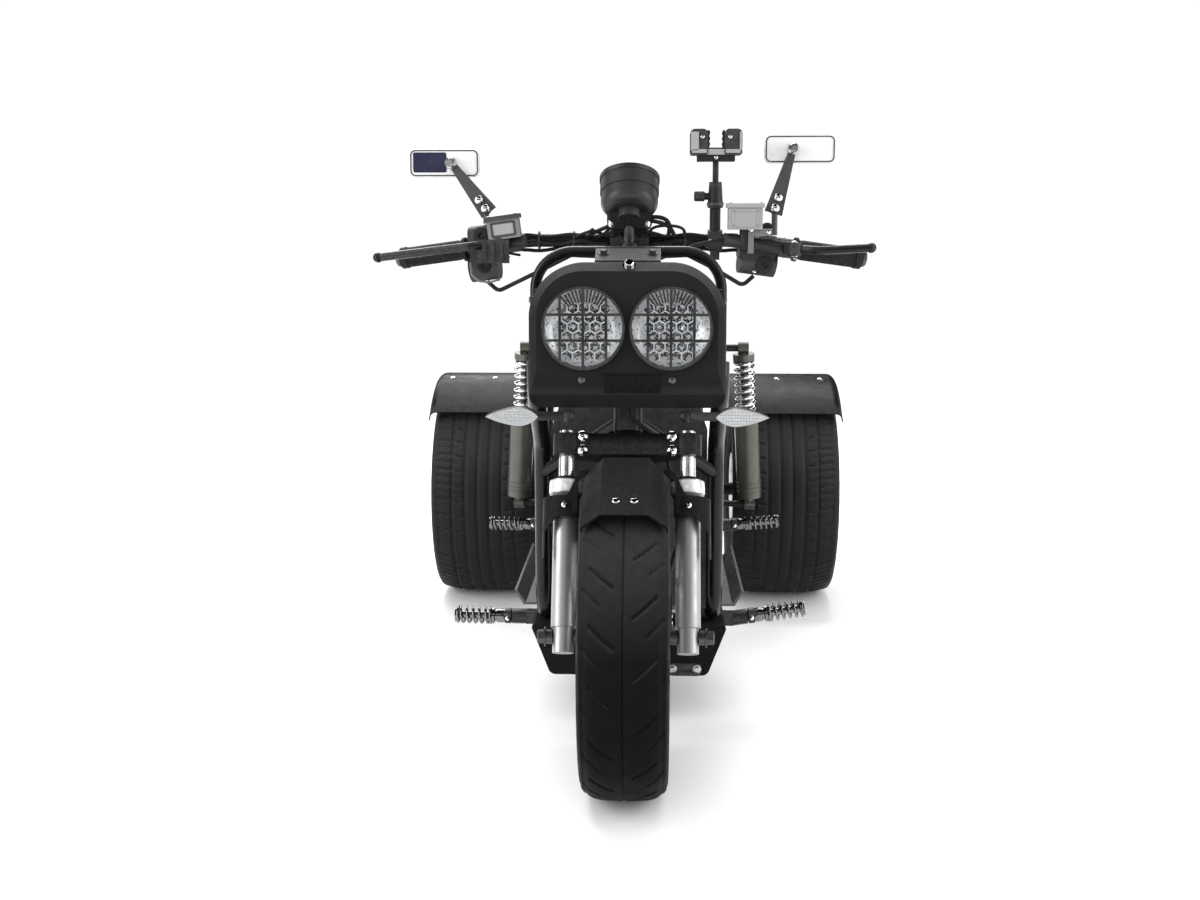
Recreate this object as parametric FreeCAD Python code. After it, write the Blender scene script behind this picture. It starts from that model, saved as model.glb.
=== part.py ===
import FreeCAD, Part

import math
import os

# Motorized trike: one steered front wheel in a raked fork, two wide rear wheels on a live axle.
# A bent-tube frame rings the twin-lamp headlight shell, runs down both sides of the front wheel,
# carries the floor and rises to the seat.  Units are millimetres.
#
# Design frame: +X is the rider's left, +Y points to the rear, +Z is up, the ground is z = 0 and
# the front axle is y = 0.  Every piece is moved along Y at export, so that the origin of the
# stored part is on the ground under the middle of its overall length.

V = FreeCAD.Vector

# ---------------------------------------------------------------- layout
WHEELBASE = 1290.0
TAIL_REACH = 310.0            # rear axle to the rearmost plane of the part
RAKE_DEG = 23.0               # steering axis leans back from the vertical
FORK_OFFSET = 30.0            # fork legs stand ahead of the steering axis
SEAT_GAP = 0.3                # gap between surfaces that only rest on each other
SHAFT_GAP = 0.08              # running clearance round a turning shaft
RUNNING_GAP = 8.0             # least gap between a moving piece and what it passes

# ---------------------------------------------------------------- front wheel
FRONT_TYRE_R = 245.0
FRONT_TYRE_HALF = 65.0
FRONT_RIM_R = 152.0           # bead seat radius of a 12 inch rim
FRONT_RIM_HALF = 44.0
FRONT_RIM_WALL = 8.0
FRONT_AXLE_R = 6.0
FRONT_HUB_R = 26.0
FRONT_HUB_HALF = 52.0
FRONT_SPOKES = 5
FRONT_SPOKE_ROOT = 34.0       # width of a spoke at the hub
FRONT_SPOKE_TIP = 22.0
FRONT_SPOKE_HALF = 13.0       # half of a spoke's depth along the axle
DISC_R = 92.0
DISC_BORE_R = 34.0
DISC_THICK = 4.0
DISC_HOLES = 12
DISC_HOLE_R = 5.0

# ---------------------------------------------------------------- rear wheels
REAR_TYRE_R = 248.0
REAR_TYRE_WIDTH = 240.0
REAR_INNER_X = 221.0          # inner side wall of each rear tyre
REAR_RIM_R = 178.0            # bead seat radius of a 14 inch rim
REAR_RIM_HALF = 96.0
REAR_RIM_WALL = 9.0
REAR_HUB_R = 42.0
REAR_SPOKES = 5
REAR_SPOKE_ROOT = 46.0
REAR_SPOKE_TIP = 34.0
REAR_SPOKE_THICK = 26.0
REAR_SPOKE_INSET = 22.0       # spokes' outer face behind the rim's outer edge
AXLE_SHAFT_R = 15.0
DRUM_R = 88.0
DRUM_WIDTH = 46.0

# ---------------------------------------------------------------- fork and yoke
LEG_SPREAD = 95.0             # centre plane to each fork leg
LEG_R = 19.5
LEG_FOOT_R = 16.5
LEG_COLLAR_R = 26.0
LEG_COLLAR_H = 21.0
LEG_BELOW_AXLE = 25.0
LEG_STEP_H = 14.0             # the foot's step above the axle
LEG_TOP_H = 243.0             # top of the collar, along the leg from the axle
STANCHION_R = 12.5
YOKE_LOW_H = 284.0            # underside of the yoke, along the steering axis
YOKE_THICK = 34.0
YOKE_BOSS_R = 22.0
YOKE_HUB_R = 27.0
YOKE_WEB_HALF = 15.0          # half depth of the yoke's arms, fore and aft
STEM_R = 14.0
HEAD_TUBE_R = 24.0
HEAD_LOW_H = 330.0
HEAD_TOP_H = 550.0
RACE_R = 22.0
AXLE_HALF = 122.0
AXLE_NUT_R = 11.0
AXLE_NUT_W = 10.0

# ---------------------------------------------------------------- front fender
FENDER_R = 271.0              # inner radius about the front axle
FENDER_HALF = 62.0
FENDER_SKIRT = 34.0           # depth of its sides
FENDER_T = 3.0
FENDER_SLOPE = 28.0           # width and depth of the crown's sloping flanks
FENDER_AHEAD_DEG = 36.0
FENDER_BEHIND_DEG = 62.0
GUARD_GAP = 10.0              # fork guard to fork leg
GUARD_T = 3.0
GUARD_TOP_H = 214.0
GUARD_LOW_H = 120.0
GUARD_PAD_H = 186.0           # mounting pads between the legs and the guards
GUARD_LIP_H = 181.0           # lower edge of the guard's front
GUARD_CORNER_H = 160.0        # where that edge meets the outer ear
SHOULDER_T = 3.0
# across, height along the steering axis
SHOULDER_OUTLINE = ((75.0, 186.0), (75.0, 240.0), (57.0, 243.0), (57.0, 257.0), (74.0, 252.0), (92.0, 212.0),
                    (92.0, 186.0))
SHOULDER_ROUNDS = (0, 8.0, 0, 0, 12.0, 0, 0)

# ---------------------------------------------------------------- brake
CALIPER_REACH = 80.0          # axle to the caliper's middle
CALIPER_LONG = 62.0
CALIPER_TALL = 50.0
CALIPER_BRIDGE = 9.0          # metal over the disc's edge
CALIPER_ANGLE_DEG = 62.0      # behind the leg, measured back from the leg's line
CALIPER_OUT = 4.0             # gap between the caliper and the leg's inner side
PAD_GAP = 2.0
HOSE_R = 3.5

# ---------------------------------------------------------------- handlebar and controls
BAR_R = 11.0
BAR_ABOVE_HEAD = 112.3         # along the steering axis
BAR_KNEE_X = 165.0
BAR_END_X = 384.0
BAR_DROP = 30.0
BAR_SWEEP = 36.0
BAR_BEND_R = 90.0
CLAMP_HALF = 32.0
CLAMP_R = 21.0
GRIP_R = 16.0
GRIP_START_X = 273.0
GRIP_FLANGE_R = 20.0
GRIP_FLANGE_W = 5.0
HOUSING_R = 22.0
# side, start, width, height, drop of its middle below the bar
HOUSINGS = ((-1, 219.0, 48.0, 93.0, 10.0), (1, 182.0, 60.0, 68.0, 17.0))
PERCH_R = 16.0
CYLINDER_R = 11.0
CYLINDER_AHEAD = 36.0
RESERVOIR_D = 40.0
RESERVOIR_LID = 6.0
# side, clamp start, clamp width, reservoir's middle, width, underside above the bar, top, roll in degrees
BRAKE_SETS = (
    (-1, 181.0, 33.0, 203.0, 57.0, 3.0, 40.0, 8.0),
    (1, 246.0, 24.0, 188.0, 60.0, 18.0, 59.0, 0.0),
)
LEVER_R = 7.0
LEVER_BALL_R = 8.5
LEVER_AHEAD = 52.0            # lever pivot ahead of the bar's centre line
LEVER_TIP_AHEAD = 78.0
# side, across, drop of the lever's ball below the bar
LEVER_TIPS = ((-1, 414.0, 28.0), (1, 393.0, 12.0))

# ---------------------------------------------------------------- mirrors
MIRROR_STEM_X = 240.0
MIRROR_STEM_R = 5.0
MIRROR_STEM_RISES = (37.6, 18.4)  # bar centre line to each stem's foot, right side first
MIRROR_KNEE_RISE = 62.0       # bar centre line to the foot of the arm
MIRROR_W = 116.0
MIRROR_H = 45.0
MIRROR_T = 14.0
MIRROR_CORNER = 9.0
MIRROR_BACK = 26.0            # mirror behind the arm's foot
ARM_W = 30.0
ARM_TIP_W = 11.0
ARM_T = 8.0
# side, head centre across, head centre above the bar
MIRROR_HEADS = ((-1, 312.0, 128.0), (1, 282.0, 150.0))

# ---------------------------------------------------------------- gauge pod
POD_R = 48.0
POD_DRUM = 30.0               # upper drum's height
POD_BOWL = 32.0               # lower bowl's height
POD_BOWL_R = 46.5
POD_BOWL_ROUND = 16.0
POD_TILT_DEG = 28.0           # its face leans back from level
POD_Y_AHEAD = 34.0            # pod's centre ahead of the handlebar
POD_RISE = 74.0
POD_POST_R = 12.0

# ---------------------------------------------------------------- phone holder
HOLDER_X = 141.0
HOLDER_CLAMP_R = 18.0
HOLDER_CLAMP_W = 24.0
HOLDER_POST_R = 9.0
HOLDER_POST_TOP = 53.0        # heights above the bar
HOLDER_SOCKET_R = 13.0
HOLDER_SOCKET_TOP = 95.0
HOLDER_NECK_R = 5.0
HOLDER_BASE_Z = 128.0
HOLDER_BASE_W = 62.0
HOLDER_BASE_H = 22.0
HOLDER_DEPTH = 26.0
HOLDER_JAW_W = 29.0
HOLDER_JAW_H = 42.0
HOLDER_SPAN = 85.0            # over both jaws
HOLDER_KNOB_R = 6.0
HOLDER_KNOB_LONG = 22.0

# ---------------------------------------------------------------- frame tubes
TUBE_R = 14.0
HOOP_R = 8.5
HOOP_Z = 826.0
HOOP_Y = 160.0
HOOP_HALF = 147.0
HOOP_FOOT_Z = 600.0
HOOP_FOOT_Y = 150.0
SIDE_HALF = 147.0             # frame centre plane to the side and floor tubes
SIDE_TOP_Z = 525.0
SIDE_Y = 300.0
FLOOR_TUBE_Z = 195.0
FLOOR_END_Y = WHEELBASE - 385.0
TUBE_BEND = 60.0
HEAD_BRACES_H = (402.0, 515.0)
BRACE_R = 9.0
SEAT_RAIL_Z = 622.0
SEAT_RAIL_HALF = 118.0
SEAT_RAIL_START_Y = WHEELBASE - 745.0
SEAT_RAIL_END_Y = WHEELBASE + 210.0
SEAT_RAIL_R = 11.0
UPRIGHT_R = 11.0
REAR_UPRIGHT_Y = WHEELBASE - 290.0
SHOCK_BAR_Y = WHEELBASE - 350.0
SHOCK_TOP_X = 232.0
SHOCK_LOW_X = 254.0
FLOOR_BARS_Y = (340.0, WHEELBASE - 680.0, WHEELBASE - 495.0)
FLOOR_BAR_W = 24.0
PANEL_T = 4.0
PANEL_LOW_Z = 214.0
PANEL_TOP_Z = 650.0

# ---------------------------------------------------------------- headlight shell
SHELL_HALF = 150.0
SHELL_TOP_Z = 810.0
SHELL_LOW_Z = 587.0
SHELL_FRONT_Y = 50.0
SHELL_BACK_Y = 130.0
SHELL_CORNER = 83.0
SHELL_LOW_CORNER = 18.0
SHELL_BEVEL = 12.0            # round the front face
SHELL_T = 4.0
BRACKET_HALF = 51.0
SHELL_CREASE_Z = 645.0
SHELL_CHIN_Z = 610.0
SHELL_CHIN_Y = 62.0
SHELL_HEM_Y = 86.0
LAMP_X = 66.5
LAMP_Z = 712.0
LAMP_R = 59.5
LAMP_FACE_T = 3.0
LAMP_BOWL = 52.0              # reflector depth
LAMP_BULGE = 8.0
BEZEL_W = 3.5
BEZEL_OUT = 5.0
GUARD_BAR = 4.0
# bar positions across and up each lamp, measured from its centre
GUARD_BARS_X = (-35.0, 0.0, 35.0)
GUARD_BARS_Z = (-18.0, 21.0)

# ---------------------------------------------------------------- turn signals
SIGNAL_BAR_Y = 68.0
SIGNAL_BAR_Z = 576.0
SIGNAL_BAR_R = 7.0
SIGNAL_STALK_X = 90.0         # inner end of each stalk
SIGNAL_START_X = 136.0
SIGNAL_LONG = 81.0
SIGNAL_TALL = 28.0
SIGNAL_WIDEST = 0.39          # share of its length, from the inboard end
SIGNAL_DEEP = 30.0
SIGNAL_LENS_T = 8.0
SIGNAL_STALK_INTO = 4.0       # how far a front stalk runs into its housing
REAR_SIGNAL_INSET = 30.0      # from the seat rails' rear ends
REAR_SIGNAL_GAP = 2.0         # between a rail and its signal's inboard point
REAR_SIGNAL_STALK_R = 6.5

# ---------------------------------------------------------------- floor and belly
FLOOR_Z = 212.0               # walking surface's underside
FLOOR_T = 4.0
FLOOR_HALF = 184.0
FLOOR_FRONT_Y = 318.0
FLOOR_BACK_Y = WHEELBASE - 590.0
FLOOR_LIP = 26.0
FLOOR_RIBS = 9
BELLY_FRONT_Y = 305.0
BELLY_BACK_Y = WHEELBASE - 650.0
BELLY_LOW_Z = 90.0
BELLY_TOP_Z = 180.0
BELLY_LOW_HALF = 137.0
BELLY_TOP_HALF = 172.0

# ---------------------------------------------------------------- foot pegs
PEG_R = 16.0
PEG_SLEEVE_R = 11.0
PEG_SLEEVE = 36.0
PEG_SPRING = 68.0
PEG_COILS = 7
PEG_LUG_W = 26.0
FRONT_PEG_Y = 395.0
REAR_PEG_Y = WHEELBASE - 334.0
PEG_LUG_X = 186.0
# y and z of the lug, x where its stay starts, tilt of the rider's left peg, tilt of the right peg
PEG_STATIONS = ((FRONT_PEG_Y, 170.0, 157.0, 9.0, 1.0), (REAR_PEG_Y, 226.0, 173.6, 5.0, 1.0))

# ---------------------------------------------------------------- seat
SEAT_FRONT_Y = WHEELBASE - 730.0
SEAT_STEP_Y = WHEELBASE - 390.0
SEAT_BACK_Y = WHEELBASE - 40.0
SEAT_HALF = 140.0
SEAT_NOSE_Z = 690.0
SEAT_TOP_Z = 700.0
SEAT_REAR_Z = 748.0
SEAT_PAN_T = 6.0

# ---------------------------------------------------------------- engine and drive
ENGINE_Y = (WHEELBASE - 555.0, WHEELBASE - 345.0)
ENGINE_Z = (215.0, 400.0)
ENGINE_HALF = 80.0
CYL_FRONT_Y = WHEELBASE - 690.0
CYL_Z = 318.0
CYL_R = 48.0
CYL_CORE_R = 38.0
CYL_FINS = 7
CYL_FIN_T = 4.0
HEAD_LONG = 34.0
CASE_X = 80.3                 # its inner face, against the crankcase
CASE_W = 42.0
CASE_FRONT_R = 84.0
CASE_REAR_R = 66.0
CASE_REAR_Y = WHEELBASE - 160.0
CASE_RIM = 8.0
CASE_COVER = 5.0
DIFF_R = 74.0
DIFF_HALF = 50.0
AXLE_TUBE_R = 30.0
AXLE_TUBE_END_X = 196.0
ARM_X = 150.0
ARM_BEAM_W = 34.0
ARM_BEAM_H = 52.0
ARM_PIVOT_Y = WHEELBASE - 368.0
ARM_PIVOT_R = 12.0
PIVOT_PLATE_T = 6.0
LUG_BOLT_R = 7.0
PIPE_R = 13.0
MUFFLER_R = 44.0
MUFFLER_LONG = 330.0
MUFFLER_X = -112.0
MUFFLER_Y = WHEELBASE - 65.0
PIPE_LOW_Z = 236.0
PIPE_RISE_Y = (WHEELBASE - 430.0, WHEELBASE - 280.0, WHEELBASE - 140.0)
PIPE_BEND = 34.0
MUFFLER_Z = 372.0
TANK_Y = (WHEELBASE - 715.0, WHEELBASE - 390.0)
TANK_Z = (470.0, 608.0)
TANK_HALF = 98.0
TANK_ROUND = 26.0

# ---------------------------------------------------------------- rear suspension
SHOCK_TOP_Z = 614.0
SHOCK_LOW_Y = WHEELBASE - 300.0
SHOCK_LOW_Z = 268.0
SHOCK_EYE_R = 13.0
SHOCK_EYE_W = 22.0
SHOCK_BODY_R = 26.0
SHOCK_SPRING_R = 23.0
SHOCK_CORE_R = 15.0
SHOCK_COILS = 8
SHOCK_SPLIT = 0.42            # share of the length that the spring takes

# ---------------------------------------------------------------- rear fenders
RF_GAP = 26.0                 # tyre tread to the fender's underside
RF_T = 3.0
RF_INNER_X = 214.0
RF_OUTER_X = 472.0
RF_SIDE_DROP = 30.0           # depth of the outer side
RF_SIDE_LEAN = 6.0
RF_ROUND = 18.0               # between crown and side
RF_AHEAD_DEG = 42.0
RF_BEHIND_DEG = 72.0
STAY_T = 6.0
STAY_X = 205.0
STAY_W = 60.0
STAY_ARM_DEG = (-30.0, 38.0)  # arms under the crown, from straight up

# ---------------------------------------------------------------- tail
RACK_Z = 690.0
RACK_R = 8.0
RACK_HALF = 110.0
RACK_START_Y = WHEELBASE - 15.0
RACK_PLATE_T = 5.0
RACK_HOLE_X = 120.0           # hole to hole, across
RACK_HOLE_Y = 150.0           # hole to hole, along
RACK_HOLE_R = 4.5
LAMP_BOX_W = 130.0
LAMP_BOX_H = 46.0
LAMP_BOX_D = 34.0
PLATE_W = 190.0
PLATE_H = 110.0
PLATE_T = 3.0
PLATE_HOLE_X = 146.0
PLATE_HOLE_Z = 70.0
PLATE_HOLE_R = 3.5
PLATE_TOP_Z = 545.0

# ---------------------------------------------------------------- worked out
RAKE = math.radians(RAKE_DEG)
FRONT_AXLE_Y = (FRONT_TYRE_R - WHEELBASE - TAIL_REACH) / 2
REAR_AXLE = V(0, WHEELBASE, REAR_TYRE_R)
FRONT_AXLE = V(0, 0, FRONT_TYRE_R)
REAR_MID_X = REAR_INNER_X + REAR_TYRE_WIDTH / 2
RF_R = REAR_TYRE_R + RF_GAP
GUARD_INNER_X = FRONT_TYRE_HALF + RUNNING_GAP
TAIL_Y = WHEELBASE + TAIL_REACH
# foot of the steering axis: the point of the axis level with the axle, square to it
AXIS_FOOT = V(0, FORK_OFFSET * math.cos(RAKE), FRONT_TYRE_R - FORK_OFFSET * math.sin(RAKE))


# ---------------------------------------------------------------- helpers
BAR_Z = AXIS_FOOT.z + (HEAD_TOP_H + BAR_ABOVE_HEAD) * math.cos(RAKE)


def steer(x, ahead, height):
    """A point given across, ahead of the steering axis and up along it."""
    s, c = math.sin(RAKE), math.cos(RAKE)
    return AXIS_FOOT + V(x, height * s - ahead * c, height * c + ahead * s)


def axis_height(z):
    """How far up the steering axis the level z is."""
    return (z - AXIS_FOOT.z) / math.cos(RAKE)


AXIS_DIR = steer(0, 0, 1) - steer(0, 0, 0)
BAR_Y = steer(0, 0, axis_height(BAR_Z)).y


def box(x, y, z):
    """A box from three (low, high) pairs."""
    return Part.makeBox(x[1] - x[0], y[1] - y[0], z[1] - z[0], V(x[0], y[0], z[0]))


def rod(a, b, r):
    """A round bar of radius r from a to b."""
    return Part.makeCylinder(r, (b - a).Length, a, b - a)


def taper(a, b, ra, rb):
    """A cone from radius ra at a to rb at b."""
    return Part.makeCone(ra, rb, (b - a).Length, a, b - a)


def both(shape):
    """The shape and its mirror image across the centre plane, as two solids."""
    return Part.makeCompound([shape, shape.mirror(V(0, 0, 0), V(1, 0, 0))])


def mirrored(shape):
    """The shape's mirror image across the centre plane."""
    return shape.mirror(V(0, 0, 0), V(1, 0, 0))


def joined(pieces):
    """One solid from pieces that overlap."""
    return pieces[0].fuse(pieces[1:]).removeSplitter()


def rounded_edges(points, radii, closed):
    """Straight edges through the points, with a tangent arc of the given radius at each corner."""
    n = len(points)
    starts, ends, arcs = {}, {}, {}
    for i in range(n):
        r = radii[i]
        if r <= 0 or (not closed and i in (0, n - 1)):
            starts[i] = ends[i] = points[i]
            continue
        back = (points[i - 1] - points[i]).normalize()
        on = (points[(i + 1) % n] - points[i]).normalize()
        half = back.getAngle(on) / 2
        reach = r / math.tan(half)
        starts[i] = points[i] + back * reach
        ends[i] = points[i] + on * reach
        centre_way = (back + on).normalize()
        arcs[i] = points[i] + centre_way * (r / math.sin(half) - r)
    edges = []
    for i in range(n if closed else n - 1):
        j = (i + 1) % n
        if i in arcs and (closed or i > 0):
            edges.append(Part.Arc(starts[i], arcs[i], ends[i]).toShape())
        if (starts[j] - ends[i]).Length > 1e-6:
            edges.append(Part.LineSegment(ends[i], starts[j]).toShape())
    return edges


def tube(points, r, bend):
    """A round tube along straight runs with one bend radius."""
    wire = Part.Wire(rounded_edges(points, [bend] * len(points), False))
    ring = Part.Wire(Part.Circle(points[0], points[1] - points[0], r).toShape())
    return wire.makePipeShell([ring], True, False)


def face(points, radii=None):
    """A flat face with the given corner radii."""
    radii = radii or [0] * len(points)
    return Part.Face(Part.Wire(rounded_edges(points, radii, True)))


def slab(points, way, radii=None):
    """A flat outline pushed along a vector."""
    return face(points, radii).extrude(way)


def spun(profile, centre, degrees=360.0, start=0.0):
    """Turns a profile of (x, radius) pairs about the X axis through centre.  0 degrees is up, + is rearward."""
    lean = math.radians(start)
    points = [centre + V(x, r * math.sin(lean), r * math.cos(lean)) for x, r in profile]
    return face(points).revolve(centre, V(-1, 0, 0), degrees)


def bar_point(x, side=1):
    """The point of the handlebar's outer arm at a distance x from the centre plane."""
    share = (x - BAR_KNEE_X) / (BAR_END_X - BAR_KNEE_X)
    return V(side * x, BAR_Y + BAR_SWEEP * share, BAR_Z - BAR_DROP * share)


def ribbed_rod(a, b, core, crest, ribs):
    """A coil spring round its core, as a turned bar with a round ridge for each coil."""
    length = (b - a).Length
    pitch = length / ribs
    wire_r = min(crest - core, pitch / 2 - 0.4)
    edges, last = [], V(0, 0, 0)
    for i in range(ribs):
        mid = (i + 0.5) * pitch
        low, top, high = (V(crest - wire_r, 0, mid - wire_r), V(crest, 0, mid), V(crest - wire_r, 0, mid + wire_r))
        if i == 0:
            edges.append(Part.LineSegment(last, V(crest - wire_r, 0, 0)).toShape())
            last = V(crest - wire_r, 0, 0)
        edges.append(Part.LineSegment(last, low).toShape())
        edges.append(Part.Arc(low, top, high).toShape())
        last = high
    end = V(crest - wire_r, 0, length)
    edges.append(Part.LineSegment(last, end).toShape())
    edges.append(Part.LineSegment(end, V(0, 0, length)).toShape())
    edges.append(Part.LineSegment(V(0, 0, length), V(0, 0, 0)).toShape())
    solid = Part.Face(Part.Wire(edges)).revolve(V(0, 0, 0), V(0, 0, 1), 360)
    solid.Placement = FreeCAD.Placement(a, FreeCAD.Rotation(V(0, 0, 1), b - a))
    return solid


# ---------------------------------------------------------------- wheels
def tyre(centre, radius, half, bead):
    """A solid tyre ring: tread, shoulders and side walls down to the bead."""
    wall = radius - bead
    half_profile = (
        (0.62 * half, radius - 0.02 * wall),
        (0.88 * half, radius - 0.14 * wall),
        (half, radius - 0.42 * wall),
        (0.95 * half, radius - 0.80 * wall),
        (0.84 * half, bead),
    )
    profile = [(-x, r) for x, r in half_profile] + [(x, r) for x, r in reversed(half_profile)]
    return spun(profile, centre)


def rim_barrel(centre, radius, half, wall):
    """The barrel of a rim with a lip at each edge; the tyre's bead sits round it."""
    seat = radius - SEAT_GAP
    lip = 4.0
    profile = [
        (-half, seat), (half, seat), (half, seat - wall - lip), (half - wall, seat - wall - lip),
        (half - 2 * wall, seat - wall), (2 * wall - half, seat - wall),
        (wall - half, seat - wall - lip), (-half, seat - wall - lip),
    ]
    return spun(profile, centre)


def spoke_set(centre, count, root, tip, inner_r, outer_r, x_span):
    """Tapered spokes from hub to barrel."""
    spokes = []
    for k in range(count):
        outline = [
            V(x_span[0], -root / 2, inner_r), V(x_span[0], root / 2, inner_r),
            V(x_span[0], tip / 2, outer_r), V(x_span[0], -tip / 2, outer_r),
        ]
        spoke = slab(outline, V(x_span[1] - x_span[0], 0, 0))
        spoke.rotate(V(0, 0, 0), V(1, 0, 0), 360.0 * k / count)
        spokes.append(spoke)
    for spoke in spokes:
        spoke.translate(centre)
    return spokes


def front_tyre():
    return tyre(FRONT_AXLE, FRONT_TYRE_R, FRONT_TYRE_HALF, FRONT_RIM_R)


def front_rim():
    """Cast front wheel: barrel, spokes and hub with a bore for the axle."""
    barrel = rim_barrel(FRONT_AXLE, FRONT_RIM_R, FRONT_RIM_HALF, FRONT_RIM_WALL)
    hub = rod(FRONT_AXLE - V(FRONT_HUB_HALF, 0, 0), FRONT_AXLE + V(FRONT_HUB_HALF, 0, 0), FRONT_HUB_R)
    spokes = spoke_set(
        FRONT_AXLE, FRONT_SPOKES, FRONT_SPOKE_ROOT, FRONT_SPOKE_TIP, FRONT_HUB_R - 6.0,
        FRONT_RIM_R - FRONT_RIM_WALL / 2 - SEAT_GAP, (-FRONT_SPOKE_HALF, FRONT_SPOKE_HALF),
    )
    bore = rod(FRONT_AXLE - V(FRONT_HUB_HALF + 1, 0, 0), FRONT_AXLE + V(FRONT_HUB_HALF + 1, 0, 0),
               FRONT_AXLE_R + SHAFT_GAP)
    return joined([barrel, hub] + spokes).cut(bore)


def brake_disc():
    """Drilled disc bolted against the hub's end on the rider's left."""
    x0 = FRONT_HUB_HALF
    disc = Part.makeCylinder(DISC_R, DISC_THICK, FRONT_AXLE + V(x0, 0, 0), V(1, 0, 0))
    cuts = [Part.makeCylinder(FRONT_AXLE_R + SHAFT_GAP, DISC_THICK, FRONT_AXLE + V(x0, 0, 0), V(1, 0, 0))]
    ring_r = (DISC_R + DISC_BORE_R + FRONT_HUB_R) / 2
    for k in range(DISC_HOLES):
        a = 2 * math.pi * k / DISC_HOLES
        at = FRONT_AXLE + V(x0, ring_r * math.sin(a), ring_r * math.cos(a))
        cuts.append(Part.makeCylinder(DISC_HOLE_R, DISC_THICK, at, V(1, 0, 0)))
    return disc.cut(Part.makeCompound(cuts))


def rear_tyre(side):
    return tyre(REAR_AXLE + V(side * REAR_MID_X, 0, 0), REAR_TYRE_R, REAR_TYRE_WIDTH / 2, REAR_RIM_R)


def rear_rim(side):
    """Cast rear wheel with its drum and the live half shaft that carries it."""
    mid = REAR_AXLE + V(REAR_MID_X, 0, 0)
    barrel = rim_barrel(mid, REAR_RIM_R, REAR_RIM_HALF, REAR_RIM_WALL)
    face_x = REAR_RIM_HALF - REAR_SPOKE_INSET
    spokes = spoke_set(
        mid, REAR_SPOKES, REAR_SPOKE_ROOT, REAR_SPOKE_TIP, REAR_HUB_R - 8.0,
        REAR_RIM_R - REAR_RIM_WALL / 2 - SEAT_GAP, (face_x - REAR_SPOKE_THICK, face_x),
    )
    hub = rod(mid + V(face_x - REAR_SPOKE_THICK - 8.0, 0, 0), mid + V(face_x + 10.0, 0, 0), REAR_HUB_R)
    drum_x = REAR_INNER_X + RUNNING_GAP
    drum = rod(REAR_AXLE + V(drum_x, 0, 0), REAR_AXLE + V(drum_x + DRUM_WIDTH, 0, 0), DRUM_R)
    neck = rod(REAR_AXLE + V(drum_x, 0, 0), mid + V(face_x - REAR_SPOKE_THICK, 0, 0), REAR_HUB_R * 0.7)
    shaft = rod(REAR_AXLE + V(AXLE_TUBE_END_X - 26.0, 0, 0), REAR_AXLE + V(drum_x + 1.0, 0, 0), AXLE_SHAFT_R)
    wheel = joined([barrel, hub, drum, neck, shaft] + spokes)
    return wheel if side > 0 else mirrored(wheel)


# ---------------------------------------------------------------- fork
def fork_yoke():
    """Lower yoke with the steering stem that runs up through the head tube."""
    base = steer(0, 0, YOKE_LOW_H)
    up = AXIS_DIR * YOKE_THICK
    pieces = [rod(base, base + up, YOKE_HUB_R)]
    outline = []
    for x, ahead in (
        (-LEG_SPREAD, FORK_OFFSET + YOKE_WEB_HALF), (LEG_SPREAD, FORK_OFFSET + YOKE_WEB_HALF),
        (LEG_SPREAD, FORK_OFFSET - YOKE_WEB_HALF), (YOKE_HUB_R, -YOKE_HUB_R + YOKE_WEB_HALF / 2),
        (-YOKE_HUB_R, -YOKE_HUB_R + YOKE_WEB_HALF / 2), (-LEG_SPREAD, FORK_OFFSET - YOKE_WEB_HALF),
    ):
        outline.append(steer(x, ahead, YOKE_LOW_H))
    pieces.append(slab(outline, up))
    for side in (-1, 1):
        foot = steer(side * LEG_SPREAD, FORK_OFFSET, YOKE_LOW_H)
        pieces.append(rod(foot, foot + up, YOKE_BOSS_R))
    pieces.append(rod(base, steer(0, 0, axis_height(BAR_Z) - CLAMP_R), STEM_R))
    race_low = steer(0, 0, YOKE_LOW_H + YOKE_THICK)
    pieces.append(rod(race_low, steer(0, 0, HEAD_LOW_H - SEAT_GAP), RACE_R))
    pieces.append(rod(steer(0, 0, HEAD_TOP_H + SEAT_GAP), steer(0, 0, HEAD_TOP_H + 14.0), RACE_R))
    yoke = joined(pieces)
    for side in (-1, 1):
        bore = rod(steer(side * LEG_SPREAD, FORK_OFFSET, YOKE_LOW_H - 1),
                   steer(side * LEG_SPREAD, FORK_OFFSET, YOKE_LOW_H + YOKE_THICK + 1), STANCHION_R)
        yoke = yoke.cut(bore)
    return yoke


def stanchions():
    """Chromed upper tubes, clamped in the yoke and sliding into the legs."""
    foot = steer(LEG_SPREAD, FORK_OFFSET, LEG_TOP_H)
    return both(rod(foot, steer(LEG_SPREAD, FORK_OFFSET, YOKE_LOW_H + YOKE_THICK + 6.0), STANCHION_R))


def fork_legs():
    """Silver lower legs: collar, tube, stepped foot and the bore for the axle."""
    def at(h):
        return steer(LEG_SPREAD, FORK_OFFSET, h)
    leg = joined([
        rod(at(-LEG_BELOW_AXLE), at(LEG_STEP_H), LEG_FOOT_R),
        rod(at(LEG_STEP_H), at(LEG_TOP_H - LEG_COLLAR_H - 10.0), LEG_R),
        taper(at(LEG_TOP_H - LEG_COLLAR_H - 10.0), at(LEG_TOP_H - LEG_COLLAR_H), LEG_R, LEG_COLLAR_R),
        rod(at(LEG_TOP_H - LEG_COLLAR_H), at(LEG_TOP_H), LEG_COLLAR_R),
    ])
    bore = rod(V(0, 0, FRONT_TYRE_R), V(AXLE_HALF, 0, FRONT_TYRE_R), FRONT_AXLE_R)
    return both(leg.cut(bore))


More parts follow.
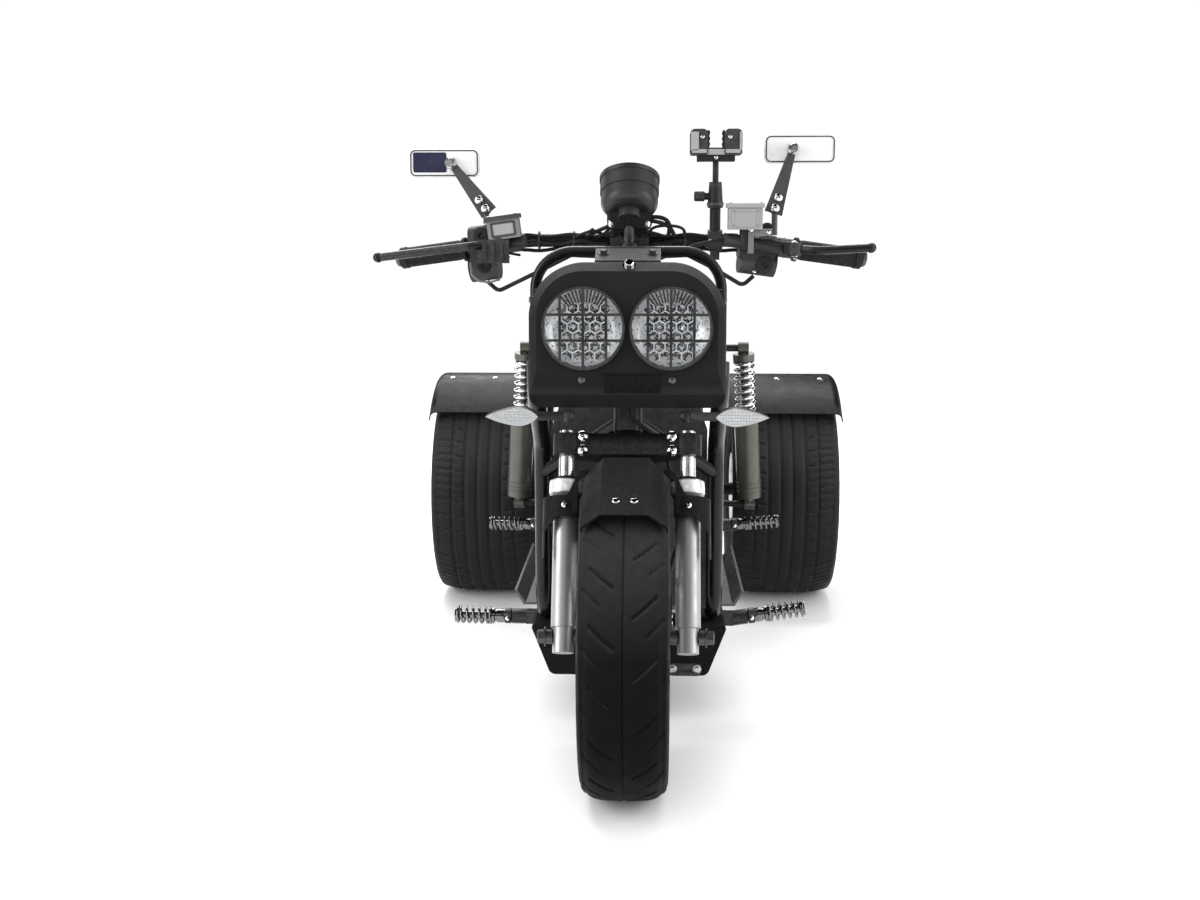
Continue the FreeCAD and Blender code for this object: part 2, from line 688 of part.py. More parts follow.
def front_axle():
    """Wheel axle with a nut at each end and a spacer up to the hub on each side."""
    pieces = [rod(V(-AXLE_HALF, 0, FRONT_TYRE_R), V(AXLE_HALF, 0, FRONT_TYRE_R), FRONT_AXLE_R)]
    for side in (-1, 1):
        nut_in = LEG_SPREAD + LEG_FOOT_R + SEAT_GAP
        pieces.append(rod(V(side * nut_in, 0, FRONT_TYRE_R), V(side * (nut_in + AXLE_NUT_W), 0, FRONT_TYRE_R),
                          AXLE_NUT_R))
        pieces.append(rod(V(side * (FRONT_HUB_HALF + DISC_THICK + 1.0), 0, FRONT_TYRE_R),
                          V(side * (LEG_SPREAD - LEG_FOOT_R - SEAT_GAP), 0, FRONT_TYRE_R), AXLE_NUT_R))
    return joined(pieces)


def front_fender():
    """Wheel cover with a guard round each fork leg, joined by sloping shoulders."""
    out, half = FENDER_R + FENDER_T, FENDER_HALF
    low = FENDER_R - FENDER_SKIRT
    chamfer = FENDER_SLOPE
    section = [
        (-half, low), (-half, out - chamfer), (chamfer - half, out), (half - chamfer, out),
        (half, out - chamfer), (half, low), (half - FENDER_T, low),
        (half - FENDER_T, FENDER_R - chamfer + 1.2), (half - chamfer - 1.2, FENDER_R),
        (chamfer - half + 1.2, FENDER_R), (FENDER_T - half, FENDER_R - chamfer + 1.2), (FENDER_T - half, low),
    ]
    cover = spun(section, FRONT_AXLE, FENDER_AHEAD_DEG + FENDER_BEHIND_DEG, -FENDER_AHEAD_DEG)
    guard_r = LEG_COLLAR_R + GUARD_GAP
    pieces = [cover]
    guards = []
    for side in (-1, 1):
        low_p = steer(side * LEG_SPREAD, FORK_OFFSET, GUARD_LOW_H)
        top_p = steer(side * LEG_SPREAD, FORK_OFFSET, GUARD_TOP_H)
        shell = rod(low_p, top_p, guard_r).cut(rod(low_p, top_p, guard_r - GUARD_T))
        behind = Part.makeBox(4 * guard_r, 2 * guard_r, GUARD_TOP_H + 40.0)
        behind.Placement = FreeCAD.Placement(
            steer(side * LEG_SPREAD - 2 * guard_r, FORK_OFFSET, GUARD_LOW_H - 20.0),
            FreeCAD.Rotation(V(1, 0, 0), -RAKE_DEG),
        )
        # below its front lip the guard is open but for the outer ear
        across = [LEG_SPREAD + guard_r * 0.86, LEG_SPREAD + guard_r * 0.3, LEG_SPREAD - guard_r * 1.02]
        opening = slab([
            steer(side * across[0], FORK_OFFSET + 2 * guard_r, GUARD_LOW_H - 1.0),
            steer(side * across[0], FORK_OFFSET + 2 * guard_r, GUARD_CORNER_H),
            steer(side * across[1], FORK_OFFSET + 2 * guard_r, GUARD_LIP_H),
            steer(side * across[2], FORK_OFFSET + 2 * guard_r, GUARD_LIP_H),
            steer(side * across[2], FORK_OFFSET + 2 * guard_r, GUARD_LOW_H - 1.0),
        ], (steer(0, 0, 0) - steer(0, 2.6 * guard_r, 0)))
        span = 2 * FRONT_TYRE_R
        inboard = box((-GUARD_INNER_X, GUARD_INNER_X), (-span, span), (0, 2 * span))
        guards.append(shell.cut(behind).cut(opening).cut(inboard))
        pad_in, pad_out = FORK_OFFSET + LEG_R + SEAT_GAP, FORK_OFFSET + guard_r - GUARD_T / 2
        x = side * LEG_SPREAD
        guards.append(slab([steer(x - 8, pad_in, GUARD_PAD_H), steer(x + 8, pad_in, GUARD_PAD_H),
                            steer(x + 8, pad_out, GUARD_PAD_H), steer(x - 8, pad_out, GUARD_PAD_H)],
                           AXIS_DIR * 20.0))
    # shoulders that rise from the guards to the cover's sloping flanks
    ahead = FORK_OFFSET + guard_r - 2.0
    for side in (-1, 1):
        outline = [steer(side * x, ahead, h) for x, h in SHOULDER_OUTLINE]
        guards.append(slab(outline, steer(0, 0, 0) - steer(0, SHOULDER_T, 0), SHOULDER_ROUNDS))
    return joined(pieces + guards)


def caliper():
    """Brake caliper behind the rider's left leg, straddling the disc, on a lug to the leg."""
    disc_mid = FRONT_HUB_HALF + DISC_THICK / 2
    outer = LEG_SPREAD - LEG_R - CALIPER_OUT
    inner = 2 * disc_mid - outer
    centre_a = math.radians(CALIPER_ANGLE_DEG) + RAKE
    mid = FRONT_AXLE + V(0, CALIPER_REACH * math.sin(centre_a), CALIPER_REACH * math.cos(centre_a))
    block = box((inner, outer), (-CALIPER_TALL / 2, CALIPER_TALL / 2), (-CALIPER_LONG / 2, CALIPER_LONG / 2))
    slot = box((disc_mid - DISC_THICK / 2 - PAD_GAP, disc_mid + DISC_THICK / 2 + PAD_GAP),
               (-CALIPER_TALL, CALIPER_TALL / 2 - CALIPER_BRIDGE), (-CALIPER_LONG, CALIPER_LONG))
    body = block.cut(slot)
    body.rotate(V(0, 0, 0), V(1, 0, 0), -math.degrees(centre_a) + 90.0)
    body.translate(mid)
    return body


# ---------------------------------------------------------------- handlebar group
def handlebar():
    """Bent bar with its clamp block on the stem."""
    points = [bar_point(BAR_END_X, -1), bar_point(BAR_KNEE_X, -1), bar_point(BAR_KNEE_X), bar_point(BAR_END_X)]
    return tube(points, BAR_R, BAR_BEND_R)


def bar_clamp():
    """Clamp block that holds the bar on top of the stem."""
    mid = V(0, BAR_Y, BAR_Z)
    block = rod(mid - V(CLAMP_HALF, 0, 0), mid + V(CLAMP_HALF, 0, 0), CLAMP_R)
    neck = rod(steer(0, 0, axis_height(BAR_Z) - CLAMP_R), mid, STEM_R + 5.0)
    return joined([block, neck]).cut(rod(mid - V(CLAMP_HALF + 1, 0, 0), mid + V(CLAMP_HALF + 1, 0, 0), BAR_R))


def bar_bore():
    """The bar's straight outer arm, cut from what is clamped on it."""
    return rod(bar_point(BAR_KNEE_X), bar_point(BAR_END_X), BAR_R)


def grips():
    """Rubber grips with an inner flange and ribs."""
    start, end = bar_point(GRIP_START_X), bar_point(BAR_END_X)
    way = (end - start).normalize()
    grip = joined([
        rod(start, end + way * 4.0, GRIP_R),
        rod(start, start + way * GRIP_FLANGE_W, GRIP_FLANGE_R),
        rod(end - way * 8.0, end + way * 2.0, GRIP_R + 2.0),
    ])
    return both(grip.cut(bar_bore()))


def bar_way():
    """Direction of the bar's left outer arm, outward."""
    return (bar_point(BAR_END_X) - bar_point(BAR_KNEE_X)).normalize()


def switch_housings():
    """Stadium-shaped throttle and switch housings round the bar."""
    housings = []
    for side, start_x, width, tall, drop in HOUSINGS:
        start = bar_point(start_x) - V(0, 0, drop)
        out = bar_way() * width
        up = V(0, 0, tall / 2 - HOUSING_R)
        body = joined([
            rod(start + up, start + up + out, HOUSING_R),
            rod(start - up, start - up + out, HOUSING_R),
            slab([start - up - V(0, HOUSING_R, 0), start - up + V(0, HOUSING_R, 0),
                  start + up + V(0, HOUSING_R, 0), start + up - V(0, HOUSING_R, 0)], out),
        ]).cut(bar_bore())
        housings.append(body if side > 0 else mirrored(body))
    return Part.makeCompound(housings)


def brake_pivot(clamp_x, clamp_w):
    """Where a brake lever on the left side pivots."""
    return bar_point(clamp_x + clamp_w) + V(0, -LEVER_AHEAD, 0)


def master_cylinders():
    """Brake master cylinders: bar clamp, cylinder body and square fluid reservoir."""
    sets = []
    for side, clamp_x, clamp_w, pot_x, pot_w, low, high, roll in BRAKE_SETS:
        start = bar_point(clamp_x)
        out = bar_way() * clamp_w
        ahead = V(0, -CYLINDER_AHEAD, 0)
        pivot = brake_pivot(clamp_x, clamp_w)
        inner = bar_point(min(clamp_x, pot_x - pot_w / 2) - 4.0) + ahead
        post = V(pot_x, inner.y, 0)
        pot = joined([
            box((pot_x - pot_w / 2 + 3, pot_x + pot_w / 2 - 3),
                (inner.y - RESERVOIR_D / 2 + 3, inner.y + RESERVOIR_D / 2 - 3),
                (BAR_Z + low, BAR_Z + high - RESERVOIR_LID)),
            box((pot_x - pot_w / 2, pot_x + pot_w / 2), (inner.y - RESERVOIR_D / 2, inner.y + RESERVOIR_D / 2),
                (BAR_Z + high - RESERVOIR_LID, BAR_Z + high)),
        ])
        pot.rotate(V(pot_x, inner.y, BAR_Z + low), V(0, 1, 0), roll)
        group = joined([
            rod(start, start + out, PERCH_R),
            rod(inner, start + ahead + out + bar_way() * 2.0, CYLINDER_R),
            slab([start + V(0, 0, -9), start + V(0, 0, 9), start + ahead + V(0, 0, 9), start + ahead + V(0, 0, -9)],
                 out),
            slab([pivot + V(-18, -8, -8), pivot + V(0, -8, -8), pivot + V(0, 18, -8), pivot + V(-18, 18, -8)],
                 V(0, 0, 16)),
            rod(pivot - V(0, 0, 11), pivot + V(0, 0, 11), 11.0),
            rod(post + V(0, 0, inner.z - 4), post + V(0, 0, BAR_Z + low + 4), CYLINDER_R * 0.8),
            pot,
        ]).cut(bar_bore())
        sets.append(group if side > 0 else mirrored(group))
    return Part.makeCompound(sets)


def brake_levers():
    """Ball-ended levers pivoting on the master cylinders."""
    levers = []
    for (side, tip_x, drop), brake in zip(LEVER_TIPS, BRAKE_SETS):
        pivot = brake_pivot(brake[1], brake[2])
        root = V(side * (pivot.x + 12.9), pivot.y - 1.0, pivot.z)
        elbow = V(side * (pivot.x + 38), pivot.y - 14.0, pivot.z - 2.0)
        tip = V(side * tip_x, bar_point(tip_x).y - LEVER_TIP_AHEAD, BAR_Z - drop)
        levers.append(joined([
            tube([root, elbow, tip], LEVER_R, 40.0),
            Part.makeSphere(LEVER_BALL_R, tip),
        ]))
    return Part.makeCompound(levers)


def mirrors():
    """Rectangular mirrors on tapered arms, on stems from the bar."""
    foot = bar_point(MIRROR_STEM_X)
    pieces = []
    for (side, head_x, head_rise), rise in zip(MIRROR_HEADS, MIRROR_STEM_RISES):
        knee = V(side * foot.x, foot.y, foot.z + MIRROR_KNEE_RISE)
        stem = rod(V(side * foot.x, foot.y, foot.z + rise), knee, MIRROR_STEM_R)
        ball = Part.makeSphere(MIRROR_STEM_R * 1.9, knee)
        head = V(side * head_x, foot.y + MIRROR_BACK, BAR_Z + head_rise)
        joint = head - V(side * 12.0, MIRROR_T / 2 - 1, 0)
        along = V(joint.x - knee.x, 0, joint.z - knee.z).normalize()
        across = V(along.z, 0, -along.x)
        lean = V(0, joint.y - knee.y, 0)
        arm_low = face([knee + across * ARM_W / 2 - along * 8 - V(0, ARM_T / 2, 0),
                        knee - across * ARM_W / 2 - along * 8 - V(0, ARM_T / 2, 0),
                        knee - across * ARM_W / 2 - along * 8 + V(0, ARM_T / 2, 0),
                        knee + across * ARM_W / 2 - along * 8 + V(0, ARM_T / 2, 0)])
        top = V(joint.x, knee.y + lean.y, joint.z)
        arm_top = face([top + across * ARM_TIP_W / 2 - V(0, ARM_T / 2, 0),
                        top - across * ARM_TIP_W / 2 - V(0, ARM_T / 2, 0),
                        top - across * ARM_TIP_W / 2 + V(0, ARM_T / 2, 0),
                        top + across * ARM_TIP_W / 2 + V(0, ARM_T / 2, 0)])
        arm = Part.makeLoft([arm_low.OuterWire, arm_top.OuterWire], True, True)
        w, h = MIRROR_W / 2, MIRROR_H / 2
        plate = slab([head + V(-w, -MIRROR_T / 2, -h), head + V(w, -MIRROR_T / 2, -h),
                      head + V(w, -MIRROR_T / 2, h), head + V(-w, -MIRROR_T / 2, h)],
                     V(0, MIRROR_T, 0), [MIRROR_CORNER] * 4)
        pieces.append(joined([stem, ball, arm, plate]))
    return Part.makeCompound(pieces)


def gauge_pod():
    """Round instrument pod on a post ahead of the bar: a drum over a rounded bowl, its dial to the rider."""
    tilt = math.radians(POD_TILT_DEG)
    way = V(0, math.sin(tilt), math.cos(tilt))
    waist = V(0, BAR_Y - POD_Y_AHEAD, BAR_Z + POD_RISE)
    profile = [
        V(0, 0, -POD_BOWL), V(POD_BOWL_R, 0, -POD_BOWL), V(POD_BOWL_R, 0, 0), V(POD_R, 0, 0), V(POD_R, 0, POD_DRUM),
        V(POD_R - 5.0, 0, POD_DRUM), V(POD_R - 5.0, 0, POD_DRUM - 3.0), V(0, 0, POD_DRUM - 3.0),
    ]
    pod = face(profile, [0, POD_BOWL_ROUND, 0, 0, 0, 0, 0, 0]).revolve(V(0, 0, 0), V(0, 0, 1), 360)
    pod.Placement = FreeCAD.Placement(waist, FreeCAD.Rotation(V(0, 0, 1), way))
    base = waist - way * POD_BOWL
    boss = rod(base - way * 14.0, base + way, POD_POST_R * 1.6)
    foot = V(0, BAR_Y - CLAMP_R - 6.0, BAR_Z)
    post = tube([base - way * 13.0, V(0, base.y - way.y * 16, BAR_Z + 6.0), foot + V(0, 7, 0)], POD_POST_R * 0.7, 8.0)
    return joined([pod, boss, post]).cut(bar_clamp())


def phone_holder():
    """Phone holder: bar clamp, post, ball socket with a knob, and a two-jaw cradle."""
    def at(rise):
        return V(HOLDER_X, BAR_Y, BAR_Z + rise)
    mid = at(0)
    half = V(HOLDER_CLAMP_W / 2, 0, 0)
    clamp = rod(mid - half, mid + half, HOLDER_CLAMP_R)
    lug = rod(at(-HOLDER_CLAMP_R - 14.0), at(0), 8.0)
    post = rod(at(0), at(HOLDER_POST_TOP), HOLDER_POST_R)
    socket = taper(at(HOLDER_POST_TOP), at(HOLDER_SOCKET_TOP), HOLDER_SOCKET_R, HOLDER_SOCKET_R * 0.8)
    knob_z = (HOLDER_POST_TOP + HOLDER_SOCKET_TOP) / 2 - 2.0
    knob = rod(at(knob_z), at(knob_z) - V(HOLDER_SOCKET_R + HOLDER_KNOB_LONG, 0, 0), HOLDER_KNOB_R)
    neck = rod(at(HOLDER_SOCKET_TOP), at(HOLDER_BASE_Z), HOLDER_NECK_R)
    d = HOLDER_DEPTH / 2
    low = box((HOLDER_X - HOLDER_BASE_W / 2, HOLDER_X + HOLDER_BASE_W / 2), (BAR_Y - d, BAR_Y + d),
              (BAR_Z + HOLDER_BASE_Z, BAR_Z + HOLDER_BASE_Z + HOLDER_BASE_H))
    pieces = [clamp, lug, post, socket, knob, neck, low]
    for side in (-1, 1):
        outer = HOLDER_X + side * HOLDER_SPAN / 2
        inner = outer - side * HOLDER_JAW_W
        z0 = BAR_Z + HOLDER_BASE_Z + HOLDER_BASE_H - 12.0
        pieces.append(slab([V(inner, BAR_Y - d - 4, z0), V(outer, BAR_Y - d - 4, z0),
                            V(outer, BAR_Y - d - 4, z0 + HOLDER_JAW_H), V(inner, BAR_Y - d - 4, z0 + HOLDER_JAW_H)],
                           V(0, HOLDER_DEPTH + 8, 0), [4, 4, 8, 8]))
    return joined(pieces).cut(rod(mid - half * 1.2, mid + half * 1.2, BAR_R))


def brake_hose():
    """Front brake hose from the rider's left master cylinder down behind the leg to the caliper."""
    pot_x, pot_w = BRAKE_SETS[1][3:5]
    start = bar_point(pot_x - pot_w / 2 - 4.0) + V(-0.8, -CYLINDER_AHEAD, 0)
    behind = FORK_OFFSET - YOKE_BOSS_R - HOSE_R - 7.0
    end_a = math.radians(CALIPER_ANGLE_DEG) + RAKE
    end = FRONT_AXLE + V(LEG_SPREAD - LEG_R - CALIPER_OUT - 6.3, CALIPER_REACH * math.sin(end_a),
                         CALIPER_REACH * math.cos(end_a) + CALIPER_LONG / 2 + 0.8)
    front = HEAD_TUBE_R + HOSE_R + 5.4
    over = YOKE_LOW_H + YOKE_THICK + HOSE_R + 4.0
    back = -YOKE_HUB_R + 4.0
    points = [
        start, start + V(-40, -6, -8), V(62, BAR_Y - 50, BAR_Z - 24.0),
        steer(22, front + 6, HEAD_TOP_H + 52), steer(3, front, HEAD_TOP_H + 4),
        steer(3, front, over + 24), steer(34, front - 8, over), steer(62, back, over),
        steer(66, back - 2, YOKE_LOW_H - 4), steer(82, behind, YOKE_LOW_H - 60),
        steer(80, behind - 6, 150), end + V(2, 0, 46), end,
    ]
    return tube(points, HOSE_R, 18.0)


def control_cables():
    """Throttle and rear brake cables, from the housings to the cable guide on the steering stem."""
    cables = []
    top = steer(0, 0, HEAD_TOP_H + 62)
    for side, start_x, width, tall, drop in HOUSINGS:
        foot = bar_point(start_x + width * 0.4, side)
        start = foot + V(0, -HOUSING_R * 0.2, -drop - tall / 2 - 2.0)
        points = [
            start, start + V(-side * 18, -2, -16), V(side * 140, BAR_Y - 18, BAR_Z - 46),
            V(side * 96, BAR_Y - 24, BAR_Z - 24), V(side * 52, BAR_Y - 22, BAR_Z - 26),
            V(side * (STEM_R + HOSE_R + 6), top.y, top.z), steer(side * (STEM_R + HOSE_R), 0, HEAD_TOP_H + 16.0),
        ]
        cables.append(tube(points, HOSE_R, 12.0))
    return Part.makeCompound(cables)


# ---------------------------------------------------------------- frame
def frame_front():
    """Head tube, and the hoop round the headlights that runs down into the side and floor tubes."""
    hoop = [V(HOOP_HALF, HOOP_Y, HOOP_Z), V(HOOP_HALF, HOOP_FOOT_Y, HOOP_FOOT_Z)]
    loop = tube([V(-p.x, p.y, p.z) for p in reversed(hoop)] + hoop, HOOP_R, TUBE_BEND)
    side_path = [
        V(SIDE_HALF, HOOP_FOOT_Y, SIDE_TOP_Z + 128.0), V(SIDE_HALF, HOOP_FOOT_Y, SIDE_TOP_Z + 78.0),
        V(SIDE_HALF, SIDE_Y - 12.0, SIDE_TOP_Z - 30.0), V(SIDE_HALF, SIDE_Y, FLOOR_TUBE_Z),
        V(SIDE_HALF, FLOOR_END_Y, FLOOR_TUBE_Z),
    ]
    side_tube = tube(side_path, TUBE_R, TUBE_BEND)
    head = rod(steer(0, 0, HEAD_LOW_H), steer(0, 0, HEAD_TOP_H), HEAD_TUBE_R)
    pieces = [loop, side_tube, mirrored(side_tube), head]
    for h in HEAD_BRACES_H:
        root = steer(0, 0, h)
        share = (root.z - HOOP_FOOT_Z) / (HOOP_Z - HOOP_FOOT_Z)
        end_y = HOOP_FOOT_Y + (HOOP_Y - HOOP_FOOT_Y) * share
        for side in (-1, 1):
            pieces.append(rod(root, V(side * HOOP_HALF, end_y, root.z), HOOP_R - 0.5))
    lower = steer(0, 0, HEAD_LOW_H + 30.0)
    for side in (-1, 1):
        pieces.append(rod(lower, V(side * SIDE_HALF, SIDE_Y - 10.0, SIDE_TOP_Z - 75.0), BRACE_R + 2))
    for y in FLOOR_BARS_Y:
        pieces.append(box((-SIDE_HALF, SIDE_HALF), (y, y + FLOOR_BAR_W), (BELLY_TOP_Z + SEAT_GAP, FLOOR_TUBE_Z + TUBE_R)))
    frame = joined(pieces)
    return frame.cut(rod(steer(0, 0, HEAD_LOW_H - 1), steer(0, 0, HEAD_TOP_H + 1), STEM_R + SHAFT_GAP))


def frame_seat():
    """Seat rails, uprights and the cross bar that carries the shock tops."""
    pieces = []
    rail_end = V(SEAT_RAIL_HALF, SEAT_RAIL_END_Y, SEAT_RAIL_Z)
    loop = [V(-SEAT_RAIL_HALF, SEAT_RAIL_END_Y, SEAT_RAIL_Z), V(-SEAT_RAIL_HALF, SEAT_RAIL_START_Y, SEAT_RAIL_Z),
            V(SEAT_RAIL_HALF, SEAT_RAIL_START_Y, SEAT_RAIL_Z), rail_end]
    pieces.append(tube(loop, SEAT_RAIL_R, 50.0))
    rest = FLOOR_TUBE_Z
    for side in (-1, 1):
        pieces.append(rod(V(side * SIDE_HALF, SEAT_RAIL_START_Y + 95, rest),
                          V(side * SEAT_RAIL_HALF, SEAT_RAIL_START_Y + 35, SEAT_RAIL_Z), UPRIGHT_R))
        pieces.append(rod(V(side * SIDE_HALF, FLOOR_END_Y - 62.0, rest),
                          V(side * SEAT_RAIL_HALF, REAR_UPRIGHT_Y, SEAT_RAIL_Z), UPRIGHT_R))
    pieces.append(rod(V(-SHOCK_TOP_X - SHOCK_EYE_W / 2, SHOCK_BAR_Y, SHOCK_TOP_Z),
                      V(SHOCK_TOP_X + SHOCK_EYE_W / 2, SHOCK_BAR_Y, SHOCK_TOP_Z), UPRIGHT_R * 0.7))
    pieces.append(rod(V(-SEAT_RAIL_HALF, SEAT_RAIL_END_Y - 60, SEAT_RAIL_Z),
                      V(SEAT_RAIL_HALF, SEAT_RAIL_END_Y - 60, SEAT_RAIL_Z), UPRIGHT_R * 0.8))
    pan_z = SEAT_RAIL_Z + SEAT_RAIL_R - 2.0
    pieces.append(box((12.0 - SEAT_HALF, SEAT_HALF - 12.0), (SEAT_FRONT_Y + 8, SEAT_BACK_Y - 8),
                      (pan_z, pan_z + SEAT_PAN_T)))
    plate = pivot_plate()
    frame = joined(pieces).cut(frame_front())
    return Part.makeCompound(frame.Solids + [p.cut(frame) for p in (plate, mirrored(plate))])


def leg_panel():
    """Inner leg shield between the side tubes, behind the front wheel."""
    half = SIDE_HALF - TUBE_R
    return slab([
        V(-half, SIDE_Y - PANEL_T, PANEL_LOW_Z), V(half, SIDE_Y - PANEL_T, PANEL_LOW_Z),
        V(half, SIDE_Y - PANEL_T, SIDE_TOP_Z), V(half - 44, SIDE_Y - PANEL_T, PANEL_TOP_Z),
        V(44 - half, SIDE_Y - PANEL_T, PANEL_TOP_Z), V(-half, SIDE_Y - PANEL_T, SIDE_TOP_Z),
    ], V(0, PANEL_T, 0)).cut(frame_front())


# ---------------------------------------------------------------- headlights
def shell_outline(grow, y):
    """The headlight shell's front outline, moved out by grow, at the plane y."""
    half, top, low = SHELL_HALF + grow, SHELL_TOP_Z + grow, SHELL_LOW_Z - grow
    corners = [V(-half, y, low), V(half, y, low), V(half, y, top), V(-half, y, top)]
    return face(corners, [SHELL_LOW_CORNER, SHELL_LOW_CORNER, SHELL_CORNER + grow, SHELL_CORNER + grow])


def bevelled(shape, y, size):
    """Bevel every edge of the shape's face at the plane y."""
    rim = [e for e in shape.Edges if all(abs(v.Point.y - y) < 0.01 for v in e.Vertexes)]
    return shape.makeChamfer(size, rim)


def shell_side(grow, half):
    """The shell's side profile: upright face, chin and hem."""
    return slab([
        V(-half, SHELL_FRONT_Y - grow, SHELL_TOP_Z + 20), V(-half, SHELL_FRONT_Y - grow, SHELL_CREASE_Z),
        V(-half, SHELL_CHIN_Y - grow, SHELL_CHIN_Z - grow), V(-half, SHELL_HEM_Y - grow, SHELL_LOW_Z - grow),
        V(-half, SHELL_BACK_Y + 10, SHELL_LOW_Z - grow), V(-half, SHELL_BACK_Y + 10, SHELL_TOP_Z + 20),
    ], V(2 * half, 0, 0))


def headlight_shell():
    """Hollow shell with a rounded top, a faceted chin and a ringed hole for each lamp."""
    depth = SHELL_BACK_Y - SHELL_FRONT_Y
    outer = bevelled(shell_outline(0, SHELL_FRONT_Y).extrude(V(0, depth, 0)), SHELL_FRONT_Y, SHELL_BEVEL)
    start = SHELL_FRONT_Y + SHELL_T
    inner = bevelled(shell_outline(-SHELL_T, start).extrude(V(0, depth, 0)), start,
                     SHELL_BEVEL - SHELL_T * (2 - math.sqrt(2)))
    side = shell_side(0, SHELL_HALF + 5)
    shell = outer.common(side).cut(inner.common(shell_side(-SHELL_T, SHELL_HALF + 5)))
    for side in (-1, 1):
        ring_at = V(side * LAMP_X, SHELL_FRONT_Y - BEZEL_OUT, LAMP_Z)
        ring = Part.makeCylinder(LAMP_R + BEZEL_W, BEZEL_OUT + SHELL_T, ring_at, V(0, 1, 0))
        shell = shell.fuse(ring)
    for side in (-1, 1):
        hole_at = V(side * LAMP_X, SHELL_FRONT_Y - BEZEL_OUT - 1, LAMP_Z)
        shell = shell.cut(Part.makeCylinder(LAMP_R, depth, hole_at, V(0, 1, 0)))
    return Part.makeCompound([shell.removeSplitter().fuse(shell_bracket())] + shell_straps())


def shell_bracket():
    """Plate from the shell's top up to the hoop."""
    low_y, high_y = SHELL_BACK_Y - 26.0, HOOP_Y - HOOP_R + 1.5
    return slab([
        V(-BRACKET_HALF, low_y, SHELL_TOP_Z - 2), V(-BRACKET_HALF, low_y, SHELL_TOP_Z + 3),
        V(-BRACKET_HALF, high_y, HOOP_Z + 5), V(-BRACKET_HALF, high_y, HOOP_Z - 3),
        V(-BRACKET_HALF, low_y + 10, SHELL_TOP_Z - 2),
    ], V(2 * BRACKET_HALF, 0, 0)).cut(frame_front())


def shell_straps():
    """Straps from the hoop to the shell's inner sides."""
    straps = []
    for z in (LAMP_Z - 40, LAMP_Z + 40):
        strap = box((SHELL_HALF - SHELL_T - 8, SHELL_HALF - SHELL_T), (SHELL_BACK_Y - 26, HOOP_Y), (z, z + 16))
        straps.append(strap.cut(frame_front()))
    pair = [s.Solids[0] for s in straps]
    return pair + [mirrored(s) for s in pair]


def lamp_bowl(side):
    """A lamp's reflector: a shallow bowl behind its lens."""
    y = SHELL_FRONT_Y - BEZEL_OUT + LAMP_FACE_T + LAMP_BULGE
    r = LAMP_R - SEAT_GAP
    outline = [V(0, y, 0), V(r, y, 0), V(r, y + 14, 0), V(r * 0.72, y + LAMP_BOWL * 0.7, 0),
               V(r * 0.3, y + LAMP_BOWL, 0), V(0, y + LAMP_BOWL, 0)]
    solid = face(outline).revolve(V(0, 0, 0), V(0, 1, 0), 360)
    solid.translate(V(side * LAMP_X, 0, LAMP_Z))
    return solid


def lamp_lens(side):
    """A lamp's domed clear lens."""
    back = SHELL_FRONT_Y - BEZEL_OUT + LAMP_FACE_T + LAMP_BULGE - SEAT_GAP
    r = LAMP_R - SEAT_GAP
    front = back - LAMP_FACE_T
    dome_r = (r ** 2 + LAMP_BULGE ** 2) / (2 * LAMP_BULGE)
    crown = front - LAMP_BULGE
    mid = V(r / 2, crown + dome_r - math.sqrt(dome_r ** 2 - r ** 2 / 4), 0)
    dome = Part.Arc(V(r, front, 0), mid, V(0, crown, 0)).toShape()
    edges = [
        dome, Part.LineSegment(V(0, crown, 0), V(0, back, 0)).toShape(),
        Part.LineSegment(V(0, back, 0), V(r, back, 0)).toShape(),
        Part.LineSegment(V(r, back, 0), V(r, front, 0)).toShape(),
    ]
    solid = Part.Face(Part.Wire(edges)).revolve(V(0, 0, 0), V(0, 1, 0), 360)
    solid.translate(V(side * LAMP_X, 0, LAMP_Z))
    return solid


def headlight_guards():
    """Guard bars across both lamps, with the ring that holds them on the bezel."""
    y1 = SHELL_FRONT_Y - BEZEL_OUT - SEAT_GAP
    y0 = y1 - GUARD_BAR
    pieces = []
    for side in (-1, 1):
        centre = V(side * LAMP_X, y0, LAMP_Z)
        ring = Part.makeCylinder(LAMP_R + BEZEL_W, GUARD_BAR, centre, V(0, 1, 0))
        guard = ring.cut(Part.makeCylinder(LAMP_R, GUARD_BAR, centre, V(0, 1, 0)))
        bars = []
        for x in GUARD_BARS_X:
            reach = math.sqrt(LAMP_R ** 2 - x ** 2) + 1
            bars.append(box((centre.x + x - GUARD_BAR / 2, centre.x + x + GUARD_BAR / 2), (y0, y1),
                            (LAMP_Z - reach, LAMP_Z + reach)))
        for z in GUARD_BARS_Z:
            reach = math.sqrt(LAMP_R ** 2 - z ** 2) + 1
            bars.append(box((centre.x - reach, centre.x + reach), (y0, y1),
                            (LAMP_Z + z - GUARD_BAR / 2, LAMP_Z + z + GUARD_BAR / 2)))
        pieces.append(joined([guard] + bars))
    return Part.makeCompound(pieces)


# ---------------------------------------------------------------- turn signals
def signal_outline(x0, y, z, long, tall, side):
    """A leaf-shaped outline, blunt inboard and pointed outboard."""
    a, b = V(side * x0, y, z), V(side * (x0 + long), y, z)
    wide = x0 + long * SIGNAL_WIDEST
    edges = []
    for start, stop, bow in ((a, wide, 0.3), (b, wide, 0.16)):
        for up in (-1, 1):
            crest = V(side * stop, y, z + up * tall / 2)
            mid = (start + crest) / 2 + V(0, 0, up * tall / 2 * bow)
            edges.append(Part.Arc(start, mid, crest).toShape())
    return Part.Face(Part.Wire(Part.__sortEdges__(edges)))


